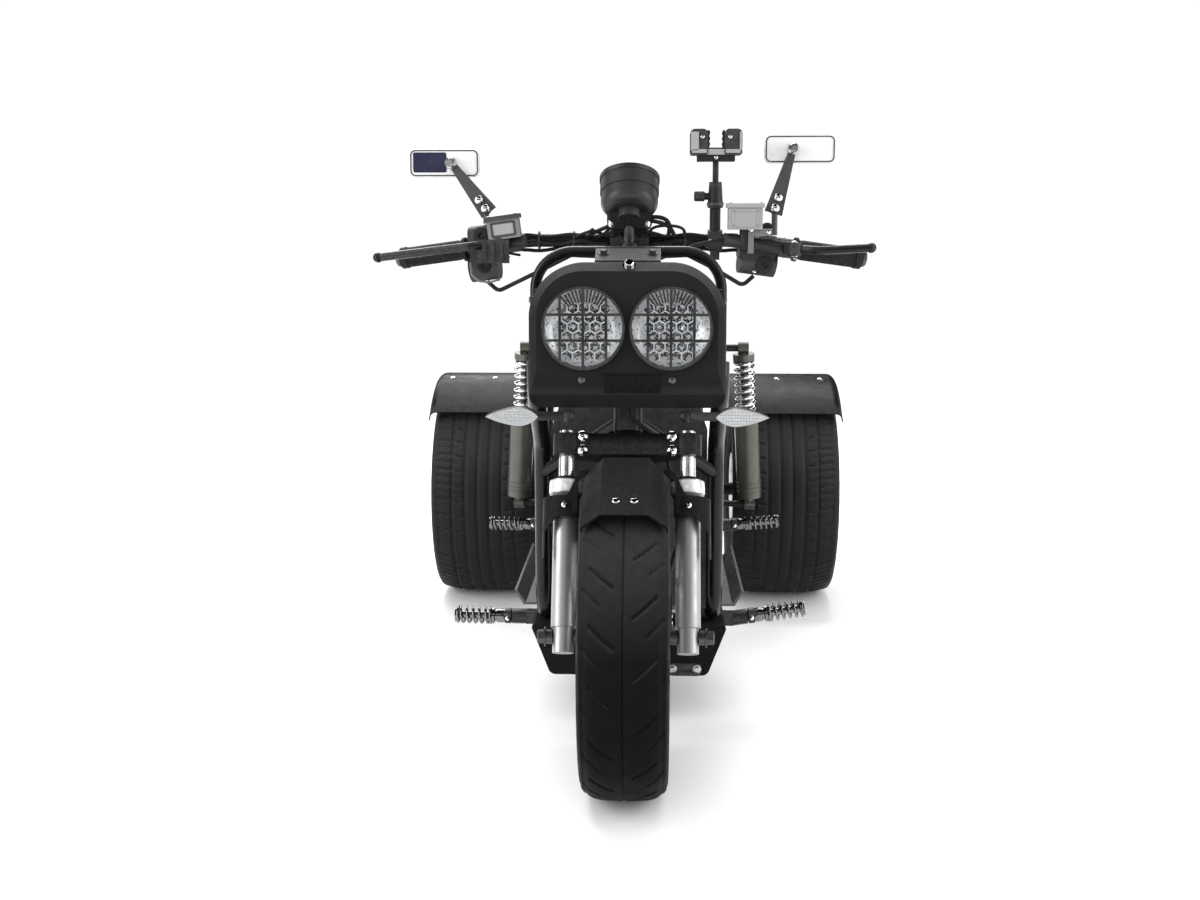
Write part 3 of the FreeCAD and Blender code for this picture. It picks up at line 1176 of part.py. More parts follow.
def front_signal_arms():
    """Stalks under the shell's hem, each on a bracket, with a signal housing at its outer end."""
    depth = SIGNAL_DEEP - SIGNAL_LENS_T
    y = SIGNAL_BAR_Y - SIGNAL_DEEP / 2 + SIGNAL_LENS_T
    pieces = []
    for side in (-1, 1):
        inner = V(side * SIGNAL_STALK_X, SIGNAL_BAR_Y, SIGNAL_BAR_Z)
        outer = V(side * (SIGNAL_START_X + SIGNAL_STALK_INTO), SIGNAL_BAR_Y, SIGNAL_BAR_Z)
        housing = signal_outline(SIGNAL_START_X, y, SIGNAL_BAR_Z, SIGNAL_LONG, SIGNAL_TALL, side)
        ends = sorted((inner.x - 8, inner.x + 8))
        pieces.append(joined([
            rod(inner, outer, SIGNAL_BAR_R), Part.makeSphere(SIGNAL_BAR_R + 3.0, inner),
            housing.extrude(V(0, depth, 0)),
            box(ends, (SIGNAL_BAR_Y, SHELL_HEM_Y + 12), (SIGNAL_BAR_Z - 4, SIGNAL_BAR_Z + 4)),
            box(ends, (SHELL_HEM_Y + 1, SHELL_HEM_Y + 12), (SIGNAL_BAR_Z - 4, SHELL_LOW_Z)),
        ]))
    return Part.makeCompound([s for p in pieces for s in p.Solids])


def front_signal_lenses():
    """Clear lenses on the front of the signal housings."""
    lenses = []
    for side in (-1, 1):
        y = SIGNAL_BAR_Y - SIGNAL_DEEP / 2
        lenses.append(signal_outline(SIGNAL_START_X, y, SIGNAL_BAR_Z, SIGNAL_LONG, SIGNAL_TALL, side)
                      .extrude(V(0, SIGNAL_LENS_T, 0)))
    return Part.makeCompound(lenses)


# ---------------------------------------------------------------- floor, belly and pegs
def floor_tray():
    """Floor tray on the floor tubes, with turned-up sides and tread ribs."""
    h, t = FLOOR_HALF, FLOOR_T
    section = [
        V(-h - 16, 0, FLOOR_Z + FLOOR_LIP), V(-h, 0, FLOOR_Z), V(h, 0, FLOOR_Z), V(h + 16, 0, FLOOR_Z + FLOOR_LIP),
        V(h + 16 - t, 0, FLOOR_Z + FLOOR_LIP), V(h - t, 0, FLOOR_Z + t), V(t - h, 0, FLOOR_Z + t),
        V(t - h - 16, 0, FLOOR_Z + FLOOR_LIP),
    ]
    for p in section:
        p.y = FLOOR_FRONT_Y
    tray = slab(section, V(0, FLOOR_BACK_Y - FLOOR_FRONT_Y, 0))
    ribs = []
    pitch = (2 * FLOOR_HALF - 60) / (FLOOR_RIBS - 1)
    for k in range(FLOOR_RIBS):
        x = -FLOOR_HALF + 30 + k * pitch
        ribs.append(box((x - 4, x + 4), (FLOOR_FRONT_Y + 30, FLOOR_BACK_Y - 90), (FLOOR_Z + 1, FLOOR_Z + t + 3)))
    return joined([tray] + ribs).cut(frame_seat()).cut(frame_front())


def belly_box():
    """Battery box slung under the floor, wider at the top."""
    low = face([V(-BELLY_LOW_HALF, BELLY_FRONT_Y, BELLY_LOW_Z), V(BELLY_LOW_HALF, BELLY_FRONT_Y, BELLY_LOW_Z),
                V(BELLY_TOP_HALF, BELLY_FRONT_Y, BELLY_TOP_Z), V(-BELLY_TOP_HALF, BELLY_FRONT_Y, BELLY_TOP_Z)],
               [14, 14, 6, 6])
    return low.extrude(V(0, BELLY_BACK_Y - BELLY_FRONT_Y, 0))


def foot_peg(side, y, z, stay_x, tilt):
    """Lug, chromed sleeve and spring of one foot peg."""
    a = math.radians(tilt)
    way = V(side * math.cos(a), 0, math.sin(a))
    lug_in = V(side * stay_x, y, z)
    root = V(side * PEG_LUG_X, y, z)
    lug = rod(root - way * 4, root + way * PEG_LUG_W, PEG_R * 0.85)
    stay = box((min(lug_in.x, root.x), max(lug_in.x, root.x)), (y - 13, y + 13), (z - 11, z + 11))
    sleeve = rod(root + way * PEG_LUG_W, root + way * (PEG_LUG_W + PEG_SLEEVE), PEG_SLEEVE_R)
    start = root + way * (PEG_LUG_W + PEG_SLEEVE)
    spring = ribbed_rod(start, start + way * PEG_SPRING, PEG_R * 0.55, PEG_R, PEG_COILS)
    mount = [lug, stay]
    if y < FLOOR_END_Y:
        mount.append(box((side * SIDE_HALF - 13, side * SIDE_HALF + 13), (y - 13, y + 13), (z - 11, FLOOR_TUBE_Z)))
    return joined(mount), joined([sleeve, spring])


def peg_parts(station):
    """Both pegs of one station, each split into its black mount and its chromed peg."""
    y, z, stay_x, left_tilt, right_tilt = station
    mounts, pegs = [], []
    for side, tilt in ((-1, right_tilt), (1, left_tilt)):
        mount, peg = foot_peg(side, y, z, stay_x, tilt)
        mounts.append(mount.cut(frame_front()).cut(belly_box()))
        pegs.append(peg)
    return mounts, pegs


def peg_mounts():
    solids = []
    for station in PEG_STATIONS:
        solids += peg_parts(station)[0]
    return Part.makeCompound(solids)


def foot_pegs():
    solids = []
    for station in PEG_STATIONS:
        solids += peg_parts(station)[1]
    return Part.makeCompound(solids)


# ---------------------------------------------------------------- seat and tank
def seat():
    """Two-level seat: the rider's place and the raised pillion pad."""
    z0 = SEAT_RAIL_Z + SEAT_RAIL_R - 2.0 + SEAT_PAN_T + SEAT_GAP
    side = face([
        V(-SEAT_HALF, SEAT_FRONT_Y, z0), V(-SEAT_HALF, SEAT_BACK_Y, z0), V(-SEAT_HALF, SEAT_BACK_Y, SEAT_REAR_Z),
        V(-SEAT_HALF, SEAT_STEP_Y + 40, SEAT_REAR_Z), V(-SEAT_HALF, SEAT_STEP_Y, SEAT_TOP_Z),
        V(-SEAT_HALF, SEAT_FRONT_Y + 20, SEAT_NOSE_Z),
    ], [10, 10, 26, 18, 14, 24])
    body = side.extrude(V(2 * SEAT_HALF, 0, 0))
    plan = face([
        V(-SEAT_HALF * 0.72, SEAT_FRONT_Y, z0 - 1), V(SEAT_HALF * 0.72, SEAT_FRONT_Y, z0 - 1),
        V(SEAT_HALF, SEAT_FRONT_Y + 150, z0 - 1), V(SEAT_HALF, SEAT_BACK_Y, z0 - 1),
        V(-SEAT_HALF, SEAT_BACK_Y, z0 - 1), V(-SEAT_HALF, SEAT_FRONT_Y + 150, z0 - 1),
    ], [40, 40, 120, 50, 50, 120])
    return body.common(plan.extrude(V(0, 0, 200)))


def fuel_tank():
    """Fuel tank between the seat rails."""
    h, r = TANK_HALF, TANK_ROUND
    outline = face([V(-h, TANK_Y[0], TANK_Z[0]), V(h, TANK_Y[0], TANK_Z[0]), V(h, TANK_Y[0], TANK_Z[1]),
                    V(-h, TANK_Y[0], TANK_Z[1])], [r, r, r, r])
    tank = outline.extrude(V(0, TANK_Y[1] - TANK_Y[0], 0))
    tabs = []
    for y in (TANK_Y[0] + 60, TANK_Y[1] - 60):
        tabs.append(box((-SEAT_RAIL_HALF, SEAT_RAIL_HALF), (y - 12, y + 12), (TANK_Z[1] - r - 20, TANK_Z[1] - r)))
        for side in (-1, 1):
            x = side * SEAT_RAIL_HALF
            tabs.append(box((x - 4, x + 4), (y - 12, y + 12), (TANK_Z[1] - r - 20, SEAT_RAIL_Z)))
    return joined([tank] + tabs).cut(frame_seat())


# ---------------------------------------------------------------- engine and drive
def engine():
    """Crankcase block with the finned cylinder and head pointing forward."""
    h = ENGINE_HALF
    y0, y1 = ENGINE_Y
    z0, z1 = ENGINE_Z
    case = slab([V(-h, y0, z0 + 30), V(-h, y0 + 30, z0), V(-h, y1, z0), V(-h, y1, z1 - 40),
                 V(-h, y1 - 50, z1), V(-h, y0 + 20, z1 - 20)], V(2 * h, 0, 0), [12] * 6)
    base = V(0, y0 + 12, CYL_Z)
    head_y = CYL_FRONT_Y + HEAD_LONG
    core = rod(base, V(0, CYL_FRONT_Y, CYL_Z), CYL_CORE_R)
    pieces = [case, core]
    pitch = (y0 - head_y) / CYL_FINS
    for k in range(CYL_FINS):
        y = head_y + (k + 0.5) * pitch
        pieces.append(box((-CYL_R, CYL_R), (y - CYL_FIN_T / 2, y + CYL_FIN_T / 2), (CYL_Z - CYL_R, CYL_Z + CYL_R)))
    pieces.append(box((-CYL_R - 2, CYL_R + 2), (CYL_FRONT_Y - 6, head_y), (CYL_Z - CYL_R, CYL_Z + CYL_R)))
    for z_foot in (z0,):
        pieces.append(box((-h + 10, h - 10), (y0 + 60, y0 + 84), (FLOOR_TUBE_Z + TUBE_R, z_foot + 20)))
    return joined(pieces)


def drive_case():
    """Belt-drive case along the rider's left of the engine, with a raised rim."""
    x0 = CASE_X
    front = V(x0, (ENGINE_Y[0] + ENGINE_Y[1]) / 2, (ENGINE_Z[0] + ENGINE_Z[1]) / 2)
    rear = V(x0, CASE_REAR_Y, REAR_TYRE_R + 42.0)

    def body(shrink, start, width):
        a, b = front + V(start, 0, 0), rear + V(start, 0, 0)
        r1, r2 = CASE_FRONT_R - shrink, CASE_REAR_R - shrink
        way = b - a
        gap = way.Length
        lean = math.asin((r1 - r2) / gap)
        flat = math.atan2(way.z, way.y)
        corners = []
        for sign, (centre, r) in ((1, (a, r1)), (1, (b, r2)), (-1, (b, r2)), (-1, (a, r1))):
            angle = flat + sign * (math.pi / 2 - lean)
            corners.append(centre + V(0, r * math.cos(angle), r * math.sin(angle)))
        out = V(width, 0, 0)
        return joined([rod(a, a + out, r1), rod(b, b + out, r2), slab(corners, out)])
    cover = body(CASE_RIM, CASE_W, CASE_COVER)
    return joined([body(0, 0, CASE_W), cover]).cut(engine()).cut(frame_seat())


def axle_housing():
    """Live axle housing with the final drive case in its middle and the reach forward to the belt case."""
    end = AXLE_TUBE_END_X
    pieces = [
        rod(REAR_AXLE - V(end, 0, 0), REAR_AXLE + V(end, 0, 0), AXLE_TUBE_R),
        rod(REAR_AXLE - V(DIFF_HALF, 0, 0), REAR_AXLE + V(DIFF_HALF, 0, 0), DIFF_R),
    ]
    snout = slab([
        V(CASE_X - 44, CASE_REAR_Y - 20, REAR_TYRE_R + 2), V(CASE_X - 44, WHEELBASE, REAR_TYRE_R - 42),
        V(CASE_X - 44, WHEELBASE, REAR_TYRE_R + 52), V(CASE_X - 44, CASE_REAR_Y - 20, REAR_TYRE_R + 82),
    ], V(42, 0, 0))
    housing = joined(pieces + [snout])
    for side in (-1, 1):
        inner = side * (end - 31.0)
        housing = housing.cut(rod(REAR_AXLE + V(inner, 0, 0), REAR_AXLE + V(side * (end + 1), 0, 0),
                                  AXLE_SHAFT_R + SHAFT_GAP))
    return housing.cut(drive_case())


def rear_arms():
    """Trailing arms from the frame pivots to the axle, with the lugs for the shocks."""
    z = REAR_TYRE_R
    w, h = ARM_BEAM_W / 2, ARM_BEAM_H / 2
    pieces = [
        box((ARM_X - w, ARM_X + w), (ARM_PIVOT_Y - h, WHEELBASE), (z - h, z + h)),
        box((ARM_X - w, ARM_X + w), (SHOCK_LOW_Y - 14, SHOCK_LOW_Y + 14), (z, SHOCK_LOW_Z + 14)),
        rod(V(ARM_X, SHOCK_LOW_Y, SHOCK_LOW_Z), V(SHOCK_LOW_X + SHOCK_EYE_W / 2, SHOCK_LOW_Y, SHOCK_LOW_Z), LUG_BOLT_R),
        rod(V(ARM_X, ARM_PIVOT_Y, z), V(ARM_X + w + PIVOT_PLATE_T + 4.0, ARM_PIVOT_Y, z), ARM_PIVOT_R),
    ]
    return both(joined(pieces))


def pivot_plate():
    """The plate on the left floor tube's end that holds the arm's pivot."""
    x = ARM_X + ARM_BEAM_W / 2 + SEAT_GAP
    z = REAR_TYRE_R
    plate = slab([
        V(x, FLOOR_END_Y - 80, FLOOR_TUBE_Z - 10), V(x, REAR_PEG_Y + 24, z - 42),
        V(x, REAR_PEG_Y + 24, z + 4), V(x, ARM_PIVOT_Y + 12, z + 24), V(x, FLOOR_END_Y - 60, FLOOR_TUBE_Z + 34),
    ], V(PIVOT_PLATE_T, 0, 0), [4, 14, 14, 14, 4])
    pin = rod(V(x - 1, ARM_PIVOT_Y, z), V(x + PIVOT_PLATE_T + 1, ARM_PIVOT_Y, z), ARM_PIVOT_R)
    foot = box((SIDE_HALF, x + PIVOT_PLATE_T), (FLOOR_END_Y - 74, FLOOR_END_Y - 20), (FLOOR_TUBE_Z - 8, FLOOR_TUBE_Z + 8))
    return joined([plate.cut(pin), foot]).cut(frame_front())


def shock_line():
    """Top and bottom points of the shock on the rider's left."""
    return V(SHOCK_TOP_X, SHOCK_BAR_Y, SHOCK_TOP_Z), V(SHOCK_LOW_X, SHOCK_LOW_Y, SHOCK_LOW_Z)


def shock_bodies():
    """Damper bodies with their eyes."""
    top, low = shock_line()
    way = (top - low).normalize()
    length = (top - low).Length
    split = low + way * (length * (1 - SHOCK_SPLIT))
    half = V(SHOCK_EYE_W / 2, 0, 0)
    body = joined([
        rod(low - half, low + half, SHOCK_EYE_R),
        rod(low, low + way * 30, SHOCK_EYE_R * 0.8),
        rod(low + way * 18, split, SHOCK_BODY_R),
        rod(split, top, SHOCK_CORE_R * 0.6),
        rod(top - half, top + half, SHOCK_EYE_R),
        rod(top - way * 26, top - way * 12, SHOCK_SPRING_R),
    ])
    body = body.cut(rod(low - half * 2, low + half * 2, LUG_BOLT_R)).cut(rod(top - half * 2, top + half * 2, UPRIGHT_R * 0.7))
    return both(body)


def shock_springs():
    """Coil springs over the dampers' upper halves."""
    top, low = shock_line()
    way = (top - low).normalize()
    length = (top - low).Length
    split = low + way * (length * (1 - SHOCK_SPLIT) + SEAT_GAP)
    end = top - way * (26 + SEAT_GAP)
    spring = ribbed_rod(split, end, SHOCK_CORE_R, SHOCK_SPRING_R, SHOCK_COILS)
    return both(spring.cut(rod(split - way, end + way, SHOCK_CORE_R * 0.6 + SEAT_GAP)))


def exhaust():
    """Pipe from under the cylinder head back along the rider's right to the silencer."""
    z_low = ENGINE_Z[0] + 10
    start = V(-10, CYL_FRONT_Y + 14, CYL_Z - CYL_R)
    x = MUFFLER_X
    low_y, mid_y, high_y = PIPE_RISE_Y
    points = [start, V(-12, CYL_FRONT_Y + 10, PIPE_LOW_Z), V(x + 6, CYL_FRONT_Y + 60, PIPE_LOW_Z - 4),
              V(x, low_y, PIPE_LOW_Z), V(x, mid_y, MUFFLER_Z - 42), V(x, high_y, MUFFLER_Z),
              V(x, MUFFLER_Y + 5, MUFFLER_Z)]
    pipe = tube(points, PIPE_R, PIPE_BEND)
    nose = V(x, MUFFLER_Y - 34, MUFFLER_Z)
    can = [
        taper(nose, V(x, MUFFLER_Y, MUFFLER_Z), PIPE_R + 3, MUFFLER_R),
        rod(V(x, MUFFLER_Y, MUFFLER_Z), V(x, MUFFLER_Y + MUFFLER_LONG, MUFFLER_Z), MUFFLER_R),
        rod(V(x, MUFFLER_Y + MUFFLER_LONG, MUFFLER_Z), V(x, MUFFLER_Y + MUFFLER_LONG + 22, MUFFLER_Z), PIPE_R),
    ]
    mouth = rod(V(x, MUFFLER_Y + MUFFLER_LONG - 20, MUFFLER_Z), V(x, MUFFLER_Y + MUFFLER_LONG + 23, MUFFLER_Z),
                PIPE_R - 3)
    strap = box((x - 4, x + 4), (MUFFLER_Y + 120, MUFFLER_Y + 150), (MUFFLER_Z + MUFFLER_R - 4, SEAT_RAIL_Z))
    return joined([pipe] + can + [strap]).cut(mouth).cut(frame_seat()).cut(engine())


# ---------------------------------------------------------------- rear fenders
def rear_fender():
    """Arched cover over a rear wheel: flat crown, rounded outer edge and a short leaning side."""
    low, top = RF_R, RF_R + RF_T
    foot = top - RF_SIDE_DROP
    edge = RF_OUTER_X - RF_SIDE_LEAN
    a = math.radians(RF_AHEAD_DEG)

    def at(x, r):
        return REAR_AXLE + V(x, -r * math.sin(a), r * math.cos(a))
    outline = [
        at(RF_INNER_X, low), at(RF_INNER_X, top), at(edge, top), at(RF_OUTER_X, foot), at(RF_OUTER_X - RF_T, foot),
        at(edge - RF_T, low),
    ]
    section = face(outline, [0, 0, RF_ROUND, 0, 0, RF_ROUND - RF_T])
    return both(section.revolve(REAR_AXLE, V(-1, 0, 0), RF_AHEAD_DEG + RF_BEHIND_DEG))


def rear_axle():
    """Axle housing, trailing arms and fender stays, as the one welded carrier of the rear wheels."""
    return joined([axle_housing()] + rear_arms().Solids + fender_stays().Solids).cut(drive_case())


def fender_stays():
    """Plates beside the rear wheels that rise from the axle, with arms out under the fenders."""
    x0, x1 = STAY_X, STAY_X + STAY_T
    pieces = []
    ring = rod(REAR_AXLE + V(AXLE_TUBE_END_X - 12, 0, 0), REAR_AXLE + V(x1, 0, 0), AXLE_TUBE_R + 10)
    bore = rod(REAR_AXLE + V(AXLE_TUBE_END_X - 31, 0, 0), REAR_AXLE + V(x1 + 1, 0, 0), AXLE_SHAFT_R + SHAFT_GAP)
    pieces.append(ring)
    r_top = RF_R - SEAT_GAP
    for deg in STAY_ARM_DEG:
        a = math.radians(deg)
        out = V(0, math.sin(a), math.cos(a))
        side_way = V(0, math.cos(a), -math.sin(a)) * (STAY_W / 2)
        foot = REAR_AXLE + V(x0, 0, 0)
        pieces.append(slab([foot - side_way * 0.9, foot + side_way * 0.9, foot + out * r_top + side_way * 0.5,
                            foot + out * r_top - side_way * 0.5], V(STAY_T, 0, 0)))
        arm_r = r_top - STAY_T
        corner = foot + out * arm_r
        reach = RF_OUTER_X - 60 - x0
        pieces.append(slab([corner - side_way * 0.3, corner + side_way * 0.3,
                            corner + side_way * 0.3 + out * STAY_T, corner - side_way * 0.3 + out * STAY_T],
                           V(reach, 0, 0)))
    return both(joined(pieces).cut(bore).cut(rear_fender()))


# ---------------------------------------------------------------- tail
def tail_rack():
    """Grab loop behind the seat with a flat drilled carrier plate."""
    end = TAIL_Y - RACK_R
    z = RACK_Z
    points = [V(-RACK_HALF, RACK_START_Y, SEAT_RAIL_Z), V(-RACK_HALF, RACK_START_Y + 30, z), V(-RACK_HALF, end, z),
              V(RACK_HALF, end, z), V(RACK_HALF, RACK_START_Y + 30, z), V(RACK_HALF, RACK_START_Y, SEAT_RAIL_Z)]
    loop = tube(points, RACK_R, 26.0)
    y0, y1 = RACK_START_Y + 50, end
    plate = box((-RACK_HALF, RACK_HALF), (y0, y1 - 30), (z + RACK_R - RACK_PLATE_T, z + RACK_R))
    mid_y = (y0 + y1 - 30) / 2
    rack = joined([loop, plate])
    for sx in (-1, 1):
        for sy in (-1, 1):
            at = V(sx * RACK_HOLE_X / 2, mid_y + sy * RACK_HOLE_Y / 2, z - 20)
            rack = rack.cut(Part.makeCylinder(RACK_HOLE_R, 60, at, V(0, 0, 1)))
    for side in (-1, 1):
        post = rod(V(side * (RACK_HALF + 4), SEAT_RAIL_END_Y - 40, SEAT_RAIL_Z), V(side * RACK_HALF, SEAT_RAIL_END_Y - 40, z),
                   RACK_R)
        rack = rack.fuse(post)
    return rack.removeSplitter().cut(frame_seat())


def tail_lamp():
    """Tail lamp on a plate between the seat rails' ends."""
    y = SEAT_RAIL_END_Y + PLATE_T + 1 + 2 * SEAT_GAP
    z0 = SEAT_RAIL_Z - LAMP_BOX_H / 2
    w = LAMP_BOX_W / 2
    return slab([V(-w, y, z0), V(w, y, z0), V(w, y, z0 + LAMP_BOX_H), V(-w, y, z0 + LAMP_BOX_H)],
                V(0, LAMP_BOX_D, 0), [12] * 4)


def plate_bracket():
    """Plate that closes the rails' ends and hangs down to the drilled plate holder."""
    y_in = SEAT_RAIL_END_Y + SEAT_GAP
    back = box((-SEAT_RAIL_HALF - SEAT_RAIL_R, SEAT_RAIL_HALF + SEAT_RAIL_R), (y_in, y_in + PLATE_T + 1),
               (SEAT_RAIL_Z - 30, SEAT_RAIL_Z + SEAT_RAIL_R))
    hang = slab([
        V(-30, y_in, SEAT_RAIL_Z - 26), V(-30, y_in + PLATE_T + 1, SEAT_RAIL_Z - 26),
        V(-30, TAIL_Y - 22, PLATE_TOP_Z - 10), V(-30, TAIL_Y - 26, PLATE_TOP_Z - 10),
    ], V(60, 0, 0))
    y0 = TAIL_Y - 26
    plate = box((-PLATE_W / 2, PLATE_W / 2), (y0, y0 + PLATE_T), (PLATE_TOP_Z - PLATE_H, PLATE_TOP_Z))
    holder = joined([back, hang, plate]).cut(frame_seat())
    mid_z = PLATE_TOP_Z - PLATE_H / 2
    for sx in (-1, 1):
        for sz in (-1, 1):
            at = V(sx * PLATE_HOLE_X / 2, y0 - 5, mid_z + sz * PLATE_HOLE_Z / 2)
            holder = holder.cut(Part.makeCylinder(PLATE_HOLE_R, 20, at, V(0, 1, 0)))
    return holder


def rear_signals():
    """Rear turn signals on short stalks from the rails' ends."""
    y = SEAT_RAIL_END_Y - REAR_SIGNAL_INSET
    start = SEAT_RAIL_HALF + SEAT_RAIL_R + REAR_SIGNAL_GAP
    solids = []
    for side in (-1, 1):
        foot = V(side * SEAT_RAIL_HALF, y, SEAT_RAIL_Z)
        tip = V(side * (start + REAR_SIGNAL_STALK_R), y, SEAT_RAIL_Z)
        stalk = rod(foot, tip, REAR_SIGNAL_STALK_R)
        lens = signal_outline(start, y - SIGNAL_DEEP / 2, SEAT_RAIL_Z, SIGNAL_LONG, SIGNAL_TALL, side)
        solids.append(joined([stalk, lens.extrude(V(0, SIGNAL_DEEP, 0))]).cut(frame_seat()))
    return Part.makeCompound(solids)


NODES = {
    "front_tyre": front_tyre,
    "front_rim": front_rim,
    "brake_disc": brake_disc,
    "rear_tyre_left": lambda: rear_tyre(1),
    "rear_rim_left": lambda: rear_rim(1),
    "rear_tyre_right": lambda: rear_tyre(-1),
    "rear_rim_right": lambda: rear_rim(-1),
    "fork_yoke": fork_yoke,
    "stanchions": stanchions,
    "fork_legs": fork_legs,
    "front_axle": front_axle,
    "front_fender": front_fender,
    "caliper": caliper,
    "handlebar": handlebar,
    "bar_clamp": bar_clamp,
    "grips": grips,
    "switch_housings": switch_housings,
    "master_cylinders": master_cylinders,
    "brake_levers": brake_levers,
    "mirrors": mirrors,
    "gauge_pod": gauge_pod,
    "phone_holder": phone_holder,
    "control_lines": lambda: Part.makeCompound([brake_hose()] + control_cables().Solids),
    "frame_front": frame_front,
    "frame_seat": frame_seat,
    "leg_panel": leg_panel,
    "headlight_shell": headlight_shell,
    "headlight_bowls": lambda: Part.makeCompound([lamp_bowl(-1), lamp_bowl(1)]),
    "headlight_lenses": lambda: Part.makeCompound([lamp_lens(-1), lamp_lens(1)]),
    "headlight_guards": headlight_guards,
    "front_signal_arms": front_signal_arms,
    "front_signal_lenses": front_signal_lenses,
    "floor_tray": floor_tray,
    "belly_box": belly_box,
    "peg_mounts": peg_mounts,
    "foot_pegs": foot_pegs,
    "seat": seat,
    "fuel_tank": fuel_tank,
    "engine": engine,
    "drive_case": drive_case,
    "rear_axle": rear_axle,
    "shock_bodies": shock_bodies,
    "shock_springs": shock_springs,
    "exhaust": exhaust,
    "rear_fenders": rear_fender,
    "tail_rack": tail_rack,
    "tail_lamp": tail_lamp,
    "plate_bracket": plate_bracket,
    "rear_signals": rear_signals,
}


def main():
    """Builds every node, moves it to the stored origin and writes its STEP file."""
    os.makedirs("parts", exist_ok=True)
    for name, make in NODES.items():
        shape = make()
        shape.translate(V(0, FRONT_AXLE_Y, 0))
        shape.exportStep(os.path.join("parts", name + ".step"))
        print(name, len(shape.Solids), shape.isValid())


if __name__ == "__main__":
    main()
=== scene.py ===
"""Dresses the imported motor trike: finishes for each node, treaded tyres, lamps, springs, seat pads and trim."""
import logging
import math
from dataclasses import dataclass
from enum import Enum
from functools import lru_cache

import bmesh
import bpy
from mathutils import Matrix, Vector


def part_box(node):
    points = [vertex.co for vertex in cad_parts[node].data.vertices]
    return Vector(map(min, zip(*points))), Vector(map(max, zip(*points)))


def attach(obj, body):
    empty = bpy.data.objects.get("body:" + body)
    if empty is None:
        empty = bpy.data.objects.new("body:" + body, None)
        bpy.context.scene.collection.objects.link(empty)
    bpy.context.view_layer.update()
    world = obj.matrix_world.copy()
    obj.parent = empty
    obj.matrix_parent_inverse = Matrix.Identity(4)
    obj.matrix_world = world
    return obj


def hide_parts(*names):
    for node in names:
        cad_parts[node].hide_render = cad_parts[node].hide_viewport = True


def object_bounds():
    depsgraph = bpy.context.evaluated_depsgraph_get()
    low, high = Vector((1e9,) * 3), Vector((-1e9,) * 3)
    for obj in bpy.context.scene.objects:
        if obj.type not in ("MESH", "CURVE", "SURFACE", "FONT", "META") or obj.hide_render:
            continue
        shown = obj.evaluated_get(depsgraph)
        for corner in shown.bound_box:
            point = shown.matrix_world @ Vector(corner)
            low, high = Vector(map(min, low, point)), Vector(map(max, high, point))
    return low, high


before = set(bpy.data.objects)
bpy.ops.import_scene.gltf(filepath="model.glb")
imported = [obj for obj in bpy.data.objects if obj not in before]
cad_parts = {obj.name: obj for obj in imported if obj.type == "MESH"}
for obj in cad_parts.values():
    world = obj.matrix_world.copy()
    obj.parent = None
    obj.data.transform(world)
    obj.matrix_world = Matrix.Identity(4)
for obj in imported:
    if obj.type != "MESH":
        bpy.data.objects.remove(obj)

Pair = tuple[float, float]
Triple = tuple[float, float, float]
Pieces = list[bpy.types.Object]
Socket = bpy.types.NodeSocket

log = logging.getLogger("trike")
CAD_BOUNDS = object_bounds()
ACROSS = Vector((1.0, 0.0, 0.0))
BACKWARD = Vector((0.0, 1.0, 0.0))
FORWARD = Vector((0.0, -1.0, 0.0))
UPWARD = Vector((0.0, 0.0, 1.0))
SIDES = ((-1, "right"), (1, "left"))


class Body(Enum):
    """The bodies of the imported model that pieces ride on."""

    CHASSIS = "chassis"
    STEERING = "steering"
    FRONT_WHEEL = "front_wheel"
    REAR_LEFT = "rear_wheel_left"
    REAR_RIGHT = "rear_wheel_right"


# ---------------------------------------------------------------- places
@dataclass(frozen=True)
class NodeBox:
    """The box of one CAD node at rest."""

    low: Vector
    high: Vector

    @classmethod
    @lru_cache(maxsize=None)
    def of(cls, node: str) -> "NodeBox":
        """Reads the box of the CAD node of that name."""
        low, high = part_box(node)
        return cls(Vector(low), Vector(high))

    @property
    def centre(self) -> Vector:
        """The middle of the box."""
        return (self.low + self.high) / 2

    @property
    def size(self) -> Vector:
        """The box's three sides."""
        return self.high - self.low


FRONT_AXLE = NodeBox.of("front_tyre").centre
REAR_AXLE = Vector((0.0, NodeBox.of("rear_tyre_left").centre.y, NodeBox.of("rear_tyre_left").centre.z))


def place(x: float, behind: float, z: float) -> Vector:
    """A point given by its distance behind the front axle."""
    return Vector((x, FRONT_AXLE.y + behind, z))


def around(degrees: float) -> Vector:
    """Unit vector in the plane of the wheels, leaning forward from upright by an angle."""
    return Vector((0.0, -math.sin(math.radians(degrees)), math.cos(math.radians(degrees))))


@dataclass(frozen=True)
class SteeringFrame:
    """Places on the fork: across, ahead of the steering axis, and up along it."""

    axle: Vector
    rake: float = 23.0
    offset: float = 0.03

    @property
    def up(self) -> Vector:
        """Unit vector along the steering axis."""
        return around(-self.rake)

    @property
    def forward(self) -> Vector:
        """Unit vector square to the axis, away from the rider."""
        return around(90.0 - self.rake)

    def at(self, x: float, ahead: float, height: float) -> Vector:
        """A point of the fork."""
        foot = self.axle - self.forward * self.offset
        return foot + ACROSS * x + self.forward * ahead + self.up * height


FORK = SteeringFrame(FRONT_AXLE)


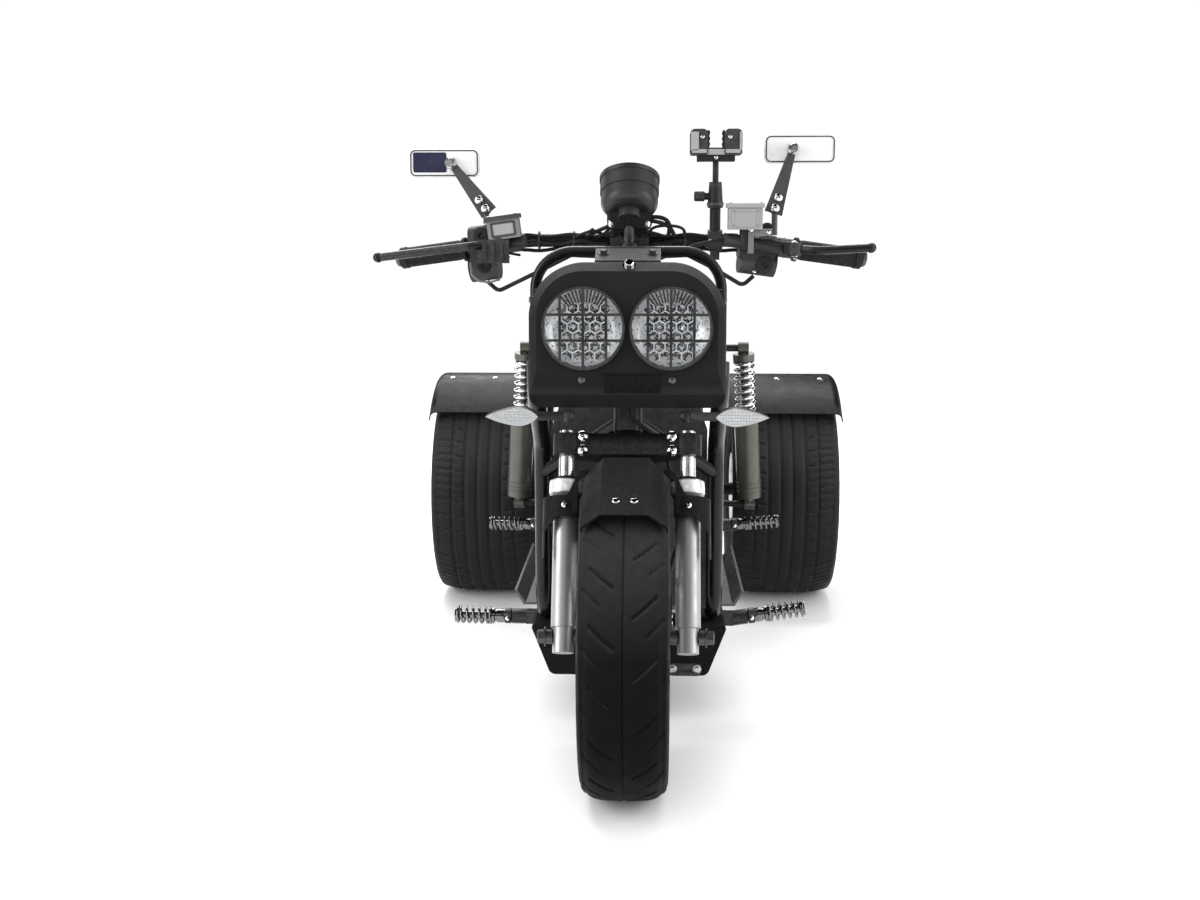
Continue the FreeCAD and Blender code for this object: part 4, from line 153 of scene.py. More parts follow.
@dataclass(frozen=True)
class Handlebar:
    """The bar's line, which the controls sit on."""

    middle: Vector
    knee_x: float = 0.165
    end_x: float = 0.384
    drop: float = 0.03
    sweep: float = 0.036

    @property
    def height(self) -> float:
        """Height of the bar's middle."""
        return self.middle.z

    @property
    def y(self) -> float:
        """Place of the bar's middle along the trike."""
        return self.middle.y

    def at(self, x: float, side: int = 1) -> Vector:
        """The point of the bar's outer arm at a distance x from the centre plane."""
        share = (x - self.knee_x) / (self.end_x - self.knee_x)
        return Vector((side * x, self.y + self.sweep * share, self.height - self.drop * share))

    def way(self, side: int) -> Vector:
        """Unit vector outward along the bar's arm."""
        return (self.at(self.end_x, side) - self.at(self.knee_x, side)).normalized()


BAR = Handlebar(FORK.at(0.0, 0.0, 0.6623))


# ---------------------------------------------------------------- finishes
class Recipe:
    """Adds nodes to one material, with the object's own metres as coordinates."""

    def __init__(self, name: str) -> None:
        """Starts a material of that name."""
        self.material = bpy.data.materials.new(name)
        self.material.use_nodes = True
        self.tree = self.material.node_tree
        self.shader = self.tree.nodes["Principled BSDF"]
        self.coords = self.tree.nodes.new("ShaderNodeTexCoord").outputs["Object"]

    def fill(self, socket: Socket, value: Socket | float | tuple) -> None:
        """Links a varying value to a socket, or sets a uniform one.

        Args:
            socket: The input to fill.
            value: A node's output, or a number, vector or colour.
        """
        if isinstance(value, Socket):
            self.tree.links.new(value, socket)
        elif socket.type == "RGBA":
            socket.default_value = (*value, 1.0)
        else:
            socket.default_value = value

    def node(self, kind: str, **sockets: Socket | float | tuple) -> bpy.types.Node:
        """Adds a node.

        Args:
            kind: Blender's name of the node.
            **sockets: Values or links of its inputs, by name.

        Returns:
            The node.
        """
        made = self.tree.nodes.new(kind)
        for name, value in sockets.items():
            self.fill(made.inputs[name], value)
        return made

    def noise(self, size: float, detail: float = 4.0, stretch: Triple = (1.0, 1.0, 1.0)) -> Socket:
        """Noise over the surface."""
        coords = self.node("ShaderNodeMapping", Vector=self.coords, Scale=stretch).outputs["Vector"]
        return self.node("ShaderNodeTexNoise", Vector=coords, Scale=1.0 / size, Detail=detail).outputs["Fac"]

    def cells(self, size: float) -> Socket:
        """Distance to the edges of cells about size metres wide."""
        made = self.node("ShaderNodeTexVoronoi", Vector=self.coords, Scale=1.0 / size)
        made.feature = "DISTANCE_TO_EDGE"
        return made.outputs["Distance"]

    def span(self, value: Socket, start: float, end: float, low: float, high: float) -> Socket:
        """Maps a value from start..end to low..high, clamped."""
        made = self.node("ShaderNodeMapRange", Value=value)
        for index, number in enumerate((start, end, low, high), 1):
            made.inputs[index].default_value = number
        return made.outputs["Result"]

    def times(self, first: Socket, second: Socket) -> Socket:
        """Product of two values."""
        made = self.node("ShaderNodeMath")
        made.operation = "MULTIPLY"
        for socket, value in zip(made.inputs, (first, second)):
            self.fill(socket, value)
        return made.outputs[0]

    def mix(self, factor: Socket, first: Socket | Triple, second: Socket | Triple) -> Socket:
        """Mixes two colours."""
        made = self.tree.nodes.new("ShaderNodeMix")
        made.data_type = "RGBA"
        for index, value in ((0, factor), (6, first), (7, second)):
            self.fill(made.inputs[index], value)
        return made.outputs[2]

    def bump(self, height: Socket, strength: float, distance: float, under: Socket | None = None) -> Socket:
        """A bump layer.

        Args:
            height: What varies.
            strength: How strong it is, 0 to 1.
            distance: How high it stands, in metres.
            under: A layer that it lies on, if any.

        Returns:
            The bent normal.
        """
        made = self.node("ShaderNodeBump", Height=height, Strength=strength, Distance=distance)
        if under is not None:
            self.tree.links.new(under, made.inputs["Normal"])
        return made.outputs["Normal"]

    def feed(self, name: str, value: Socket | float | Triple) -> None:
        """Fills one of the shader's own sockets."""
        self.fill(self.shader.inputs[name], value)


def scaled(colour: Triple, factor: float) -> Triple:
    """The colour, lighter or darker by a factor."""
    return tuple(min(1.0, c * factor) for c in colour)


@dataclass(frozen=True)
class Finish:
    """A surface with grain, tone that drifts, handled patches, a painted highlight on upward faces, and rubbed edges.
    """

    name: str
    colour: Triple
    roughness: float = 0.4
    metallic: float = 0.0
    coat: float = 0.0
    grain: float = 0.0008
    relief: float = 0.12
    mottle: float = 0.12
    smudge: float = 0.1
    dust: float = 0.0
    rubbed: float = 0.0
    rubbed_colour: Triple = (0.22, 0.22, 0.22)
    dust_colour: Triple = (0.2, 0.185, 0.165)
    # Painted highlight: upward faces are mixed by a share towards a pale grey, in place of light from above.
    painted_top_light_colour: Triple = (0.45, 0.45, 0.45)
    specular: float = 0.5
    painted_top_light: float = 0.0

    def tone(self, recipe: Recipe) -> Socket:
        """Base colour with its drift, dust, a painted highlight on upward faces, and rubbed edges.

        Args:
            recipe: The material in the making.

        Returns:
            The colour.
        """
        drift = recipe.noise(0.07)
        colour = recipe.mix(drift, scaled(self.colour, 1 - self.mottle), scaled(self.colour, 1 + self.mottle))
        if self.dust:
            patches = recipe.span(recipe.noise(0.035, 8.0), 0.48, 0.72, 0.0, self.dust)
            colour = recipe.mix(patches, colour, self.dust_colour)
        # painted highlight: lightens faces that point up, as if lit from above
        if self.painted_top_light:
            normal = recipe.node("ShaderNodeNewGeometry").outputs["Normal"]
            rise = recipe.node("ShaderNodeSeparateXYZ", Vector=normal).outputs["Z"]
            top_light_mask = recipe.times(recipe.span(rise, 0.12, 0.95, 0.0, self.painted_top_light),
                                recipe.span(recipe.noise(0.012, 6.0), 0.3, 0.7, 0.75, 1.0))
            colour = recipe.mix(top_light_mask, colour, self.painted_top_light_colour)
        if self.rubbed:
            edge = recipe.node("ShaderNodeNewGeometry").outputs["Pointiness"]
            worn = recipe.times(recipe.span(edge, 0.515, 0.56, 0.0, self.rubbed), recipe.noise(0.006))
            colour = recipe.mix(worn, colour, self.rubbed_colour)
        return colour

    def surface(self, recipe: Recipe) -> Socket:
        """Fine relief of the surface."""
        return recipe.bump(recipe.noise(self.grain, 6.0), self.relief, 0.0003)

    def gloss(self, recipe: Recipe) -> Socket:
        """Roughness with smudges."""
        low, high = max(0.02, self.roughness - self.smudge), min(1.0, self.roughness + self.smudge)
        return recipe.span(recipe.noise(0.03, 6.0), 0.3, 0.7, low, high)

    def material(self) -> bpy.types.Material:
        """Builds the material once and hands out the same one afterwards."""
        return built(self)

    def make(self) -> bpy.types.Material:
        """Builds the node tree.

        Returns:
            The material.
        """
        recipe = Recipe(self.name)
        recipe.feed("Metallic", self.metallic)
        recipe.feed("Specular IOR Level", self.specular)
        recipe.feed("Coat Weight", self.coat)
        recipe.feed("Coat Roughness", 0.06)
        recipe.feed("Base Color", self.tone(recipe))
        recipe.feed("Roughness", self.gloss(recipe))
        recipe.feed("Normal", self.surface(recipe))
        return recipe.material


@lru_cache(maxsize=None)
def built(finish: Finish) -> bpy.types.Material:
    """Builds each finish's material once."""
    return finish.make()


@dataclass(frozen=True)
class Pebbled(Finish):
    """Moulded plastic or leather with small pebbles."""

    pebble: float = 0.0012

    def surface(self, recipe: Recipe) -> Socket:
        """Pebbles over the fine grain."""
        under = recipe.bump(recipe.noise(self.grain, 6.0), self.relief * 0.5, 0.0002)
        return recipe.bump(recipe.cells(self.pebble), self.relief, 0.0006, under)


@dataclass(frozen=True)
class Brushed(Finish):
    """Metal with lines drawn one way."""

    stretch: Triple = (0.04, 1.0, 1.0)

    def surface(self, recipe: Recipe) -> Socket:
        """Drawn lines."""
        return recipe.bump(recipe.noise(self.grain, 3.0, self.stretch), self.relief, 0.0002)


@dataclass(frozen=True)
class PaintedGlints(Finish):
    """Reflector metal with painted glints: bright and dark flecks in its colour stand in for small faces that catch the
    light unevenly.
    """

    # The next three fields set the painted glints: their size, the colour of the painted shade between them, and how
    # much of the surface is shade.
    glint_size: float = 0.0016
    dark: Triple = (0.012, 0.012, 0.014)
    shade_share: float = 0.5

    def tone(self, recipe: Recipe) -> Socket:
        """Painted glints beside painted shade: bright and dark flecks side by side."""
        middle = 0.36 + 0.28 * self.shade_share
        glints = recipe.span(recipe.noise(self.glint_size, 3.0), middle - 0.05, middle + 0.05, 0.0, 1.0)
        return recipe.mix(glints, self.dark, self.colour)


@dataclass(frozen=True)
class Moulding(Finish):
    """Clear or coloured see-through moulding with a faint ripple."""

    index: float = 1.35

    def make(self) -> bpy.types.Material:
        """Builds the node tree.

        Returns:
            The material.
        """
        recipe = Recipe(self.name)
        recipe.feed("Base Color", self.colour)
        recipe.feed("Transmission Weight", 1.0)
        recipe.feed("IOR", self.index)
        ripple = recipe.noise(0.02)
        recipe.feed("Roughness", recipe.span(ripple, 0.3, 0.7, self.roughness * 0.5, self.roughness * 1.5))
        recipe.feed("Normal", self.surface(recipe))
        return recipe.material


BLACK_PAINT = Finish("black_paint", (0.005, 0.005, 0.0055), 0.26, relief=0.05, rubbed=0.35, specular=0.26,
                     painted_top_light=0.1)
YOKE_PAINT = Finish("yoke_paint", (0.0045, 0.0045, 0.005), 0.34, relief=0.05, rubbed=0.2, specular=0.07)
GLOSS_PLASTIC = Finish("gloss_plastic", (0.008, 0.008, 0.009), 0.34, relief=0.05, dust=0.02, rubbed=0.15,
                       specular=0.3)
FENDER_PAINT = Finish("fender_paint", (0.006, 0.006, 0.0066), 0.32, relief=0.05, rubbed=0.2, specular=0.045,
                      painted_top_light=0.01)
SHELL_PLASTIC = Finish("shell_plastic", (0.0205, 0.0205, 0.0218), 0.38, relief=0.05, rubbed=0.1, specular=0.035,
                       painted_top_light=0.17)
WING_PLASTIC = Finish("wing_plastic", (0.0055, 0.0055, 0.0059), 0.45, relief=0.05, rubbed=0.08, specular=0.025,
                      painted_top_light=0.02)
SATIN_PLASTIC = Pebbled("satin_plastic", (0.011, 0.011, 0.0116), 0.46, relief=0.14, dust=0.05, rubbed=0.3,
                        specular=0.34)
MATTE_PLASTIC = Pebbled("matte_plastic", (0.0105, 0.0105, 0.011), 0.6, relief=0.2, dust=0.06, rubbed=0.3,
                        specular=0.22)
GREY_PLASTIC = Finish("grey_plastic", (0.2, 0.2, 0.205), 0.45, dust=0.08)
RED_PLASTIC = Finish("red_plastic", (0.42, 0.02, 0.02), relief=0.08)
AMBER_PLASTIC = Finish("amber_plastic", (0.7, 0.3, 0.03), relief=0.08)
RUBBER = Pebbled("rubber", (0.012, 0.012, 0.012), 0.66, relief=0.18, pebble=0.0009, dust=0.06, specular=0.28)
TYRE = Finish("tyre_rubber", (0.0075, 0.0075, 0.0075), 0.55, grain=0.0006, relief=0.2, mottle=0.2,
              specular=0.035, painted_top_light=0.085)
REAR_RUBBER = Finish("rear_tyre_rubber", (0.018, 0.018, 0.018), 0.55, grain=0.0006, relief=0.2, mottle=0.2,
                     specular=0.1, painted_top_light=0.075)
DISC_STEEL = Brushed("disc_steel", (0.28, 0.28, 0.29), 0.32, metallic=1.0, relief=0.1)
CHROME = Finish("chrome", (0.78, 0.79, 0.8), 0.1, metallic=1.0, relief=0.04, mottle=0.06, smudge=0.07)
BRIGHT_STEEL = Brushed("bright_steel", (0.56, 0.56, 0.57), 0.3, metallic=1.0)
DARK_STEEL = Finish("dark_steel", (0.1, 0.1, 0.105), 0.42, metallic=0.9, relief=0.15, dust=0.1)
# Painted shade: chrome of the peg rods and springs, darkened in colour to stand in for the dark surroundings it
# reflects.
DIMMED_CHROME = Finish("dimmed_chrome", (0.21, 0.21, 0.22), 0.22, metallic=1.0, relief=0.05, mottle=0.15)
COLLAR_ALLOY = Finish("collar_alloy", (0.88, 0.88, 0.89), 0.28, metallic=0.35, relief=0.03, mottle=0.04)
# The lamp reflector's shine is painted: pale ribs and bowl, and mostly dark dishes with bright flecks, stand in for the
# reflections of its chrome.
LAMP_RIB = Finish("lamp_rib", (0.9, 0.91, 0.92), 0.22, metallic=0.3, relief=0.04, mottle=0.08)
LAMP_DISH = PaintedGlints("lamp_dish", (0.82, 0.83, 0.84), 0.25, metallic=0.4, relief=0.05, glint_size=0.003,
                    shade_share=0.72)
LAMP_BOWL = PaintedGlints("lamp_bowl", (0.86, 0.87, 0.88), 0.2, metallic=0.3, relief=0.05, glint_size=0.004,
                    dark=(0.1, 0.1, 0.11), shade_share=0.1)
LAMP_SHADOW = Finish("lamp_shadow", (0.035, 0.035, 0.038), relief=0.05, mottle=0.2, specular=0.2)
POT_PLASTIC = Finish("pot_plastic", (0.4, 0.4, 0.41), 0.3, relief=0.06, mottle=0.1, dust=0.03)
POT_INSET = Finish("pot_inset", (0.24, 0.24, 0.25), 0.34, relief=0.06, mottle=0.15, dust=0.03)
POT_LID = Finish("pot_lid", (0.055, 0.055, 0.06), 0.34, relief=0.08, dust=0.05)
POD_PLASTIC = Finish("pod_plastic", (0.03, 0.03, 0.031), relief=0.06, dust=0.04, specular=0.35)
ARM_PAINT = Finish("arm_paint", (0.06, 0.06, 0.062), 0.34, mottle=0.25, dust=0.05, rubbed=0.4)
# Painted reflection: the mirror backs are a near-white colour that stands in for the bright studio they reflect.
MIRROR_BACK = Finish("mirror_back", (0.94, 0.94, 0.94), 0.3, relief=0.02, mottle=0.03, specular=0.4)
SMOKED = Finish("smoked", (0.035, 0.035, 0.075), 0.18, relief=0.03, specular=0.6)
SILVER_PAINT = Finish("silver_paint", (0.42, 0.42, 0.43), 0.44, metallic=0.8, relief=0.02, mottle=0.03)
STANCHION = Finish("stanchion", (0.84, 0.85, 0.86), 0.2, metallic=0.95, relief=0.02, mottle=0.03)
CAST_ALLOY = Finish("cast_alloy", (0.25, 0.25, 0.26), 0.45, metallic=0.9, grain=0.0012, relief=0.35, dust=0.1)
WHEEL_PAINT = Finish("wheel_paint", (0.01, 0.01, 0.0106), 0.32, relief=0.08, dust=0.06, rubbed=0.4,
                     specular=0.36)
DAMPER_PAINT = Finish("damper_paint", (0.085, 0.088, 0.072), 0.36, metallic=0.35, coat=0.2, relief=0.08, dust=0.1)
SEAT_VINYL = Pebbled("seat_vinyl", (0.017, 0.016, 0.016), 0.55, relief=0.3, pebble=0.0016, grain=0.0005,
                     dust=0.06)
CLEAR = Moulding("clear_moulding", (0.97, 0.98, 0.99), 0.03, relief=0.03, index=1.3)
AMBER = Moulding("amber_moulding", (0.95, 0.42, 0.05), 0.1, relief=0.1)
RED = Moulding("red_moulding", (0.75, 0.02, 0.02), 0.1, relief=0.1)
PRISM_SILVER = Finish("prism_silver", (0.5, 0.51, 0.52), 0.2, metallic=0.35, relief=0.05, mottle=0.1)
MIRROR_GLASS = Finish("mirror_glass", (0.86, 0.88, 0.89), 0.03, metallic=1.0, relief=0.01, mottle=0.03,
                      smudge=0.02)
DIAL = Finish("dial", (0.012, 0.012, 0.014), 0.55, relief=0.05)
DIAL_MARK = Finish("dial_mark", (0.72, 0.72, 0.7), 0.5, relief=0.05)
NEEDLE = Finish("needle", (0.7, 0.07, 0.03), relief=0.03)
HEATED_STEEL = Finish("heated_steel", (0.16, 0.135, 0.12), 0.38, metallic=0.9, relief=0.15, mottle=0.35, dust=0.08)

NODE_FINISHES = {
    "front_tyre": TYRE, "front_rim": WHEEL_PAINT, "brake_disc": DISC_STEEL,
    "rear_tyre_left": REAR_RUBBER, "rear_rim_left": WHEEL_PAINT,
    "rear_tyre_right": REAR_RUBBER, "rear_rim_right": WHEEL_PAINT,
    "fork_yoke": YOKE_PAINT, "stanchions": STANCHION, "fork_legs": SILVER_PAINT, "front_axle": DARK_STEEL,
    "front_fender": WING_PLASTIC, "caliper": DARK_STEEL, "handlebar": BLACK_PAINT, "bar_clamp": BLACK_PAINT,
    "grips": RUBBER, "switch_housings": SATIN_PLASTIC, "master_cylinders": SATIN_PLASTIC,
    "brake_levers": BLACK_PAINT, "mirrors": ARM_PAINT, "gauge_pod": POD_PLASTIC,
    "phone_holder": SATIN_PLASTIC, "control_lines": RUBBER, "frame_front": BLACK_PAINT,
    "frame_seat": BLACK_PAINT, "leg_panel": MATTE_PLASTIC, "headlight_shell": SHELL_PLASTIC,
    "headlight_bowls": LAMP_BOWL, "headlight_lenses": CLEAR, "headlight_guards": BLACK_PAINT,
    "front_signal_arms": SATIN_PLASTIC, "front_signal_lenses": PRISM_SILVER, "floor_tray": DARK_STEEL,
    "belly_box": WING_PLASTIC, "peg_mounts": BLACK_PAINT, "foot_pegs": CHROME, "seat": SEAT_VINYL,
    "fuel_tank": GLOSS_PLASTIC, "engine": CAST_ALLOY, "drive_case": CAST_ALLOY, "rear_axle": BLACK_PAINT,
    "shock_bodies": DAMPER_PAINT, "shock_springs": CHROME, "exhaust": HEATED_STEEL,
    "rear_fenders": FENDER_PAINT, "tail_rack": BLACK_PAINT, "tail_lamp": RED, "plate_bracket": BLACK_PAINT,
    "rear_signals": AMBER,
}


def dress_nodes() -> int:
    """Gives every CAD node its finish.

    Returns:
        How many nodes were dressed.
    """
    for name, finish in NODE_FINISHES.items():
        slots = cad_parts[name].material_slots
        for slot in slots:
            slot.material = finish.material()
        if not slots:
            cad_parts[name].data.materials.append(finish.material())
    return len(NODE_FINISHES)


# ---------------------------------------------------------------- mesh drafts
def added(name: str, data: bpy.types.ID) -> bpy.types.Object:
    """Makes an object of a mesh, camera or light and puts it in the scene."""
    made = bpy.data.objects.new(name, data)
    bpy.context.scene.collection.objects.link(made)
    return made


def aim(thing: bpy.types.Object, way: Vector) -> None:
    """Turns a camera or a light to look along a direction."""
    thing.rotation_euler = way.to_track_quat("-Z", "Y").to_euler()


def smoothstep(value: float) -> float:
    """Eases 0..1, clamped."""
    value = min(max(value, 0.0), 1.0)
    return value * value * (3 - 2 * value)


def square_axes(way: Vector) -> tuple[Vector, Vector]:
    """Two unit vectors square to a direction and to each other."""
    helper = UPWARD if abs(way.normalized().z) < 0.9 else BACKWARD
    first = way.normalized().cross(helper).normalized()
    return first, way.normalized().cross(first).normalized()


def rounded_outline(width: float, height: float, radius: float) -> list[Pair]:
    """Corners of a rounded rectangle about the origin.

    Args:
        width: Its full width.
        height: Its full height.
        radius: The radius of its corners.

    Returns:
        Pairs of across and up, counterclockwise.
    """
    points, steps = [], 5
    for k, (sx, sz) in enumerate(((1, 1), (-1, 1), (-1, -1), (1, -1))):
        for j in range(steps + 1):
            a = math.pi / 2 * (k + j / steps)
            points.append((sx * (width / 2 - radius) + radius * math.cos(a),
                           sz * (height / 2 - radius) + radius * math.sin(a)))
    return points


class Draft:
    """A mesh in the making, in metres and in the row frame."""

    def __init__(self) -> None:
        """Starts with no vertex."""
        self.bm = bmesh.new()

    def ring(self, centre: Vector, first: Vector, second: Vector, radius: float, steps: int,
             turn: float = 0.0) -> list[bmesh.types.BMVert]:
        """Adds one ring of vertices.

        Args:
            centre: The ring's middle.
            first: Unit vector towards the angle 0.
            second: Unit vector towards the angle 90 degrees.
            radius: The ring's radius.
            steps: How many vertices it has.
            turn: Angle of the first vertex, in radians.

        Returns:
            The vertices.
        """
        return [
            self.bm.verts.new(centre + (first * math.cos(a) + second * math.sin(a)) * radius)
            for a in (turn + math.tau * k / steps for k in range(steps))
        ]

    def join(self, low: list, high: list) -> None:
        """Joins two rings with quads."""
        for k in range(len(low)):
            self.bm.faces.new((low[k], low[(k + 1) % len(low)], high[(k + 1) % len(low)], high[k]))

    def skin(self, rings: list[list], closed: bool = False) -> None:
        """Joins rings in a row.

        Args:
            rings: The rings, each with as many vertices.
            closed: True where the last one joins up with the first, in place of two caps.
        """
        for low, high in zip(rings, rings[1:]):
            self.join(low, high)
        if closed:
            self.join(rings[-1], rings[0])
        else:
            self.bm.faces.new(rings[0][::-1])
            self.bm.faces.new(rings[-1])

    def lathe(self, profile: list[Pair], at: Vector, way: Vector, steps: int = 32, closed: bool = False) -> None:
        """Turns a profile round an axis, capping the ends unless the section closes on itself.

        Args:
            profile: Pairs of radius and distance along the axis.
            at: The axis's starting point.
            way: The axis's direction.
            steps: Facets round the axis.
            closed: True where the last pair joins up with the first, as in a ring.
        """
        way = way.normalized()
        first, second = square_axes(way)
        self.skin([self.ring(at + way * along, first, second, max(radius, 1e-5), steps)
                   for radius, along in profile], closed)

    def rod(self, a: Vector, b: Vector, radius: float, steps: int = 20) -> None:
        """Adds a round bar from a to b."""
        self.lathe([(radius, 0.0), (radius, (b - a).length)], a, b - a, steps)

    def bolt(self, at: Vector, way: Vector, across: float, height: float, washer: bool = True) -> None:
        """Adds a hexagon head.

        Args:
            at: The middle of its underside.
            way: The way it points.
            across: Its width across flats.
            height: The head's height.
            washer: True where a washer lies under it.
        """
        way = way.normalized()
        if washer:
            thick = way * height * 0.22
            self.rod(at, at + thick, across * 0.78, 24)
            at = at + thick
        r = across / math.sqrt(3.0)
        self.lathe([(r, 0.0), (r, height * 0.85), (r * 0.86, height)], at, way, 6)

    def dome(self, at: Vector, way: Vector, radius: float, height: float) -> None:
        """Adds a low round head, its underside at a point."""
        profile = [(radius * math.cos(a), height * math.sin(a)) for a in (math.pi / 2 * k / 6 for k in range(7))]
        self.lathe([(radius, -0.0002)] + profile, at, way, 20)

    def prism(self, outline: list[Vector], way: Vector) -> None:
        """Pushes a flat outline along a vector."""
        self.skin([[self.bm.verts.new(p + push) for p in outline] for push in (way * 0.0, way)])

    def block(self, centre: Vector, size: tuple, turn: Matrix = Matrix.Identity(3)) -> None:
        """Adds a box of three sides about a centre."""
        matrix = Matrix.Translation(centre) @ turn.to_4x4() @ Matrix.Diagonal((*size, 1.0))
        bmesh.ops.create_cube(self.bm, size=1.0, matrix=matrix)

    def sweep(self, points: list[Vector], radius: float, sides: int = 8, closed: bool = False) -> None:
        """Runs a round section along a line.

        Args:
            points: The line's points.
            radius: The section's radius.
            sides: Facets round the section.
            closed: True where the line is a loop.
        """
        count, rings, normal = len(points), [], None
        for k, point in enumerate(points):
            before = points[k - 1] if k or closed else point
            after = points[(k + 1) % count] if k + 1 < count or closed else point
            way = (after - before).normalized()
            if normal is None:
                normal = square_axes(way)[0]
            normal = (normal - way * normal.dot(way)).normalized()
            rings.append(self.ring(point, normal, way.cross(normal), radius, sides))
        self.skin(rings, closed)

    def helix(self, a: Vector, b: Vector, radius: float, wire: float, turns: float) -> None:
        """Adds a coil spring between two points, its end turns closed up.

        Args:
            a: Middle of its lower end.
            b: Middle of its upper end.
            radius: From the axis to the wire's middle.
            wire: The wire's radius.
            turns: How many turns it has.
        """
        long, way = (b - a).length, (b - a).normalized()
        first, second = square_axes(way)
        per_turn, edge, lead = 24, 0.9 / turns, 0.12
        steps = int(turns * per_turn)
        points = []
        for k in range(steps + 1):
            even = k / steps
            share = min(max((even - edge) / (1 - 2 * edge), 0.0), 1.0)
            share += (even - share) * lead
            angle = math.tau * turns * even
            points.append(a + way * (wire + share * (long - 2 * wire))
                          + (first * math.cos(angle) + second * math.sin(angle)) * radius)
        self.sweep(points, wire, 9)

    def piece(self, name: str, finish: Finish, body: Body, smooth: float = 35.0, bevel: float = 0.0
              ) -> bpy.types.Object:
        """Turns the draft into an object that rides on a body.

        Args:
            name: The piece's name.
            finish: Its finish.
            body: The body that carries it.
            smooth: Edges sharper than this many degrees stay sharp.
            bevel: Width of rounded edges, if any.

        Returns:
            The object.
        """
        bmesh.ops.remove_doubles(self.bm, verts=self.bm.verts, dist=2e-6)
        bmesh.ops.recalc_face_normals(self.bm, faces=self.bm.faces)
        if bevel:
            sharp = [e for e in self.bm.edges if len(e.link_faces) == 2 and e.calc_face_angle(0) > math.radians(30)]
            bmesh.ops.bevel(self.bm, geom=sharp, offset=bevel, segments=2, profile=0.7, affect="EDGES",
                            clamp_overlap=True)
        mesh = bpy.data.meshes.new(name)
        self.bm.to_mesh(mesh)
        self.bm.free()
        mesh.polygons.foreach_set("use_smooth", [True] * len(mesh.polygons))
        mesh.set_sharp_from_angle(angle=math.radians(smooth))
        mesh.materials.append(finish.material())
        piece = added(name, mesh)
        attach(piece, body.value)
        return piece


class Kit:
    """The drafts of one sub-assembly that ride on one body."""

    def __init__(self, body: Body) -> None:
        """Starts with no draft."""
        self.body = body
        self.begun: list[tuple[Draft, str, Finish, dict[str, float]]] = []

    def begin(self, name: str, finish: Finish, **look: float) -> Draft:
        """Begins one piece."""
        self.begun.append((Draft(), name, finish, look))
        return self.begun[-1][0]

    def pieces(self) -> Pieces:
        """Makes every piece, in the order begun."""
        return [draft.piece(name, finish, self.body, **look) for draft, name, finish, look in self.begun]


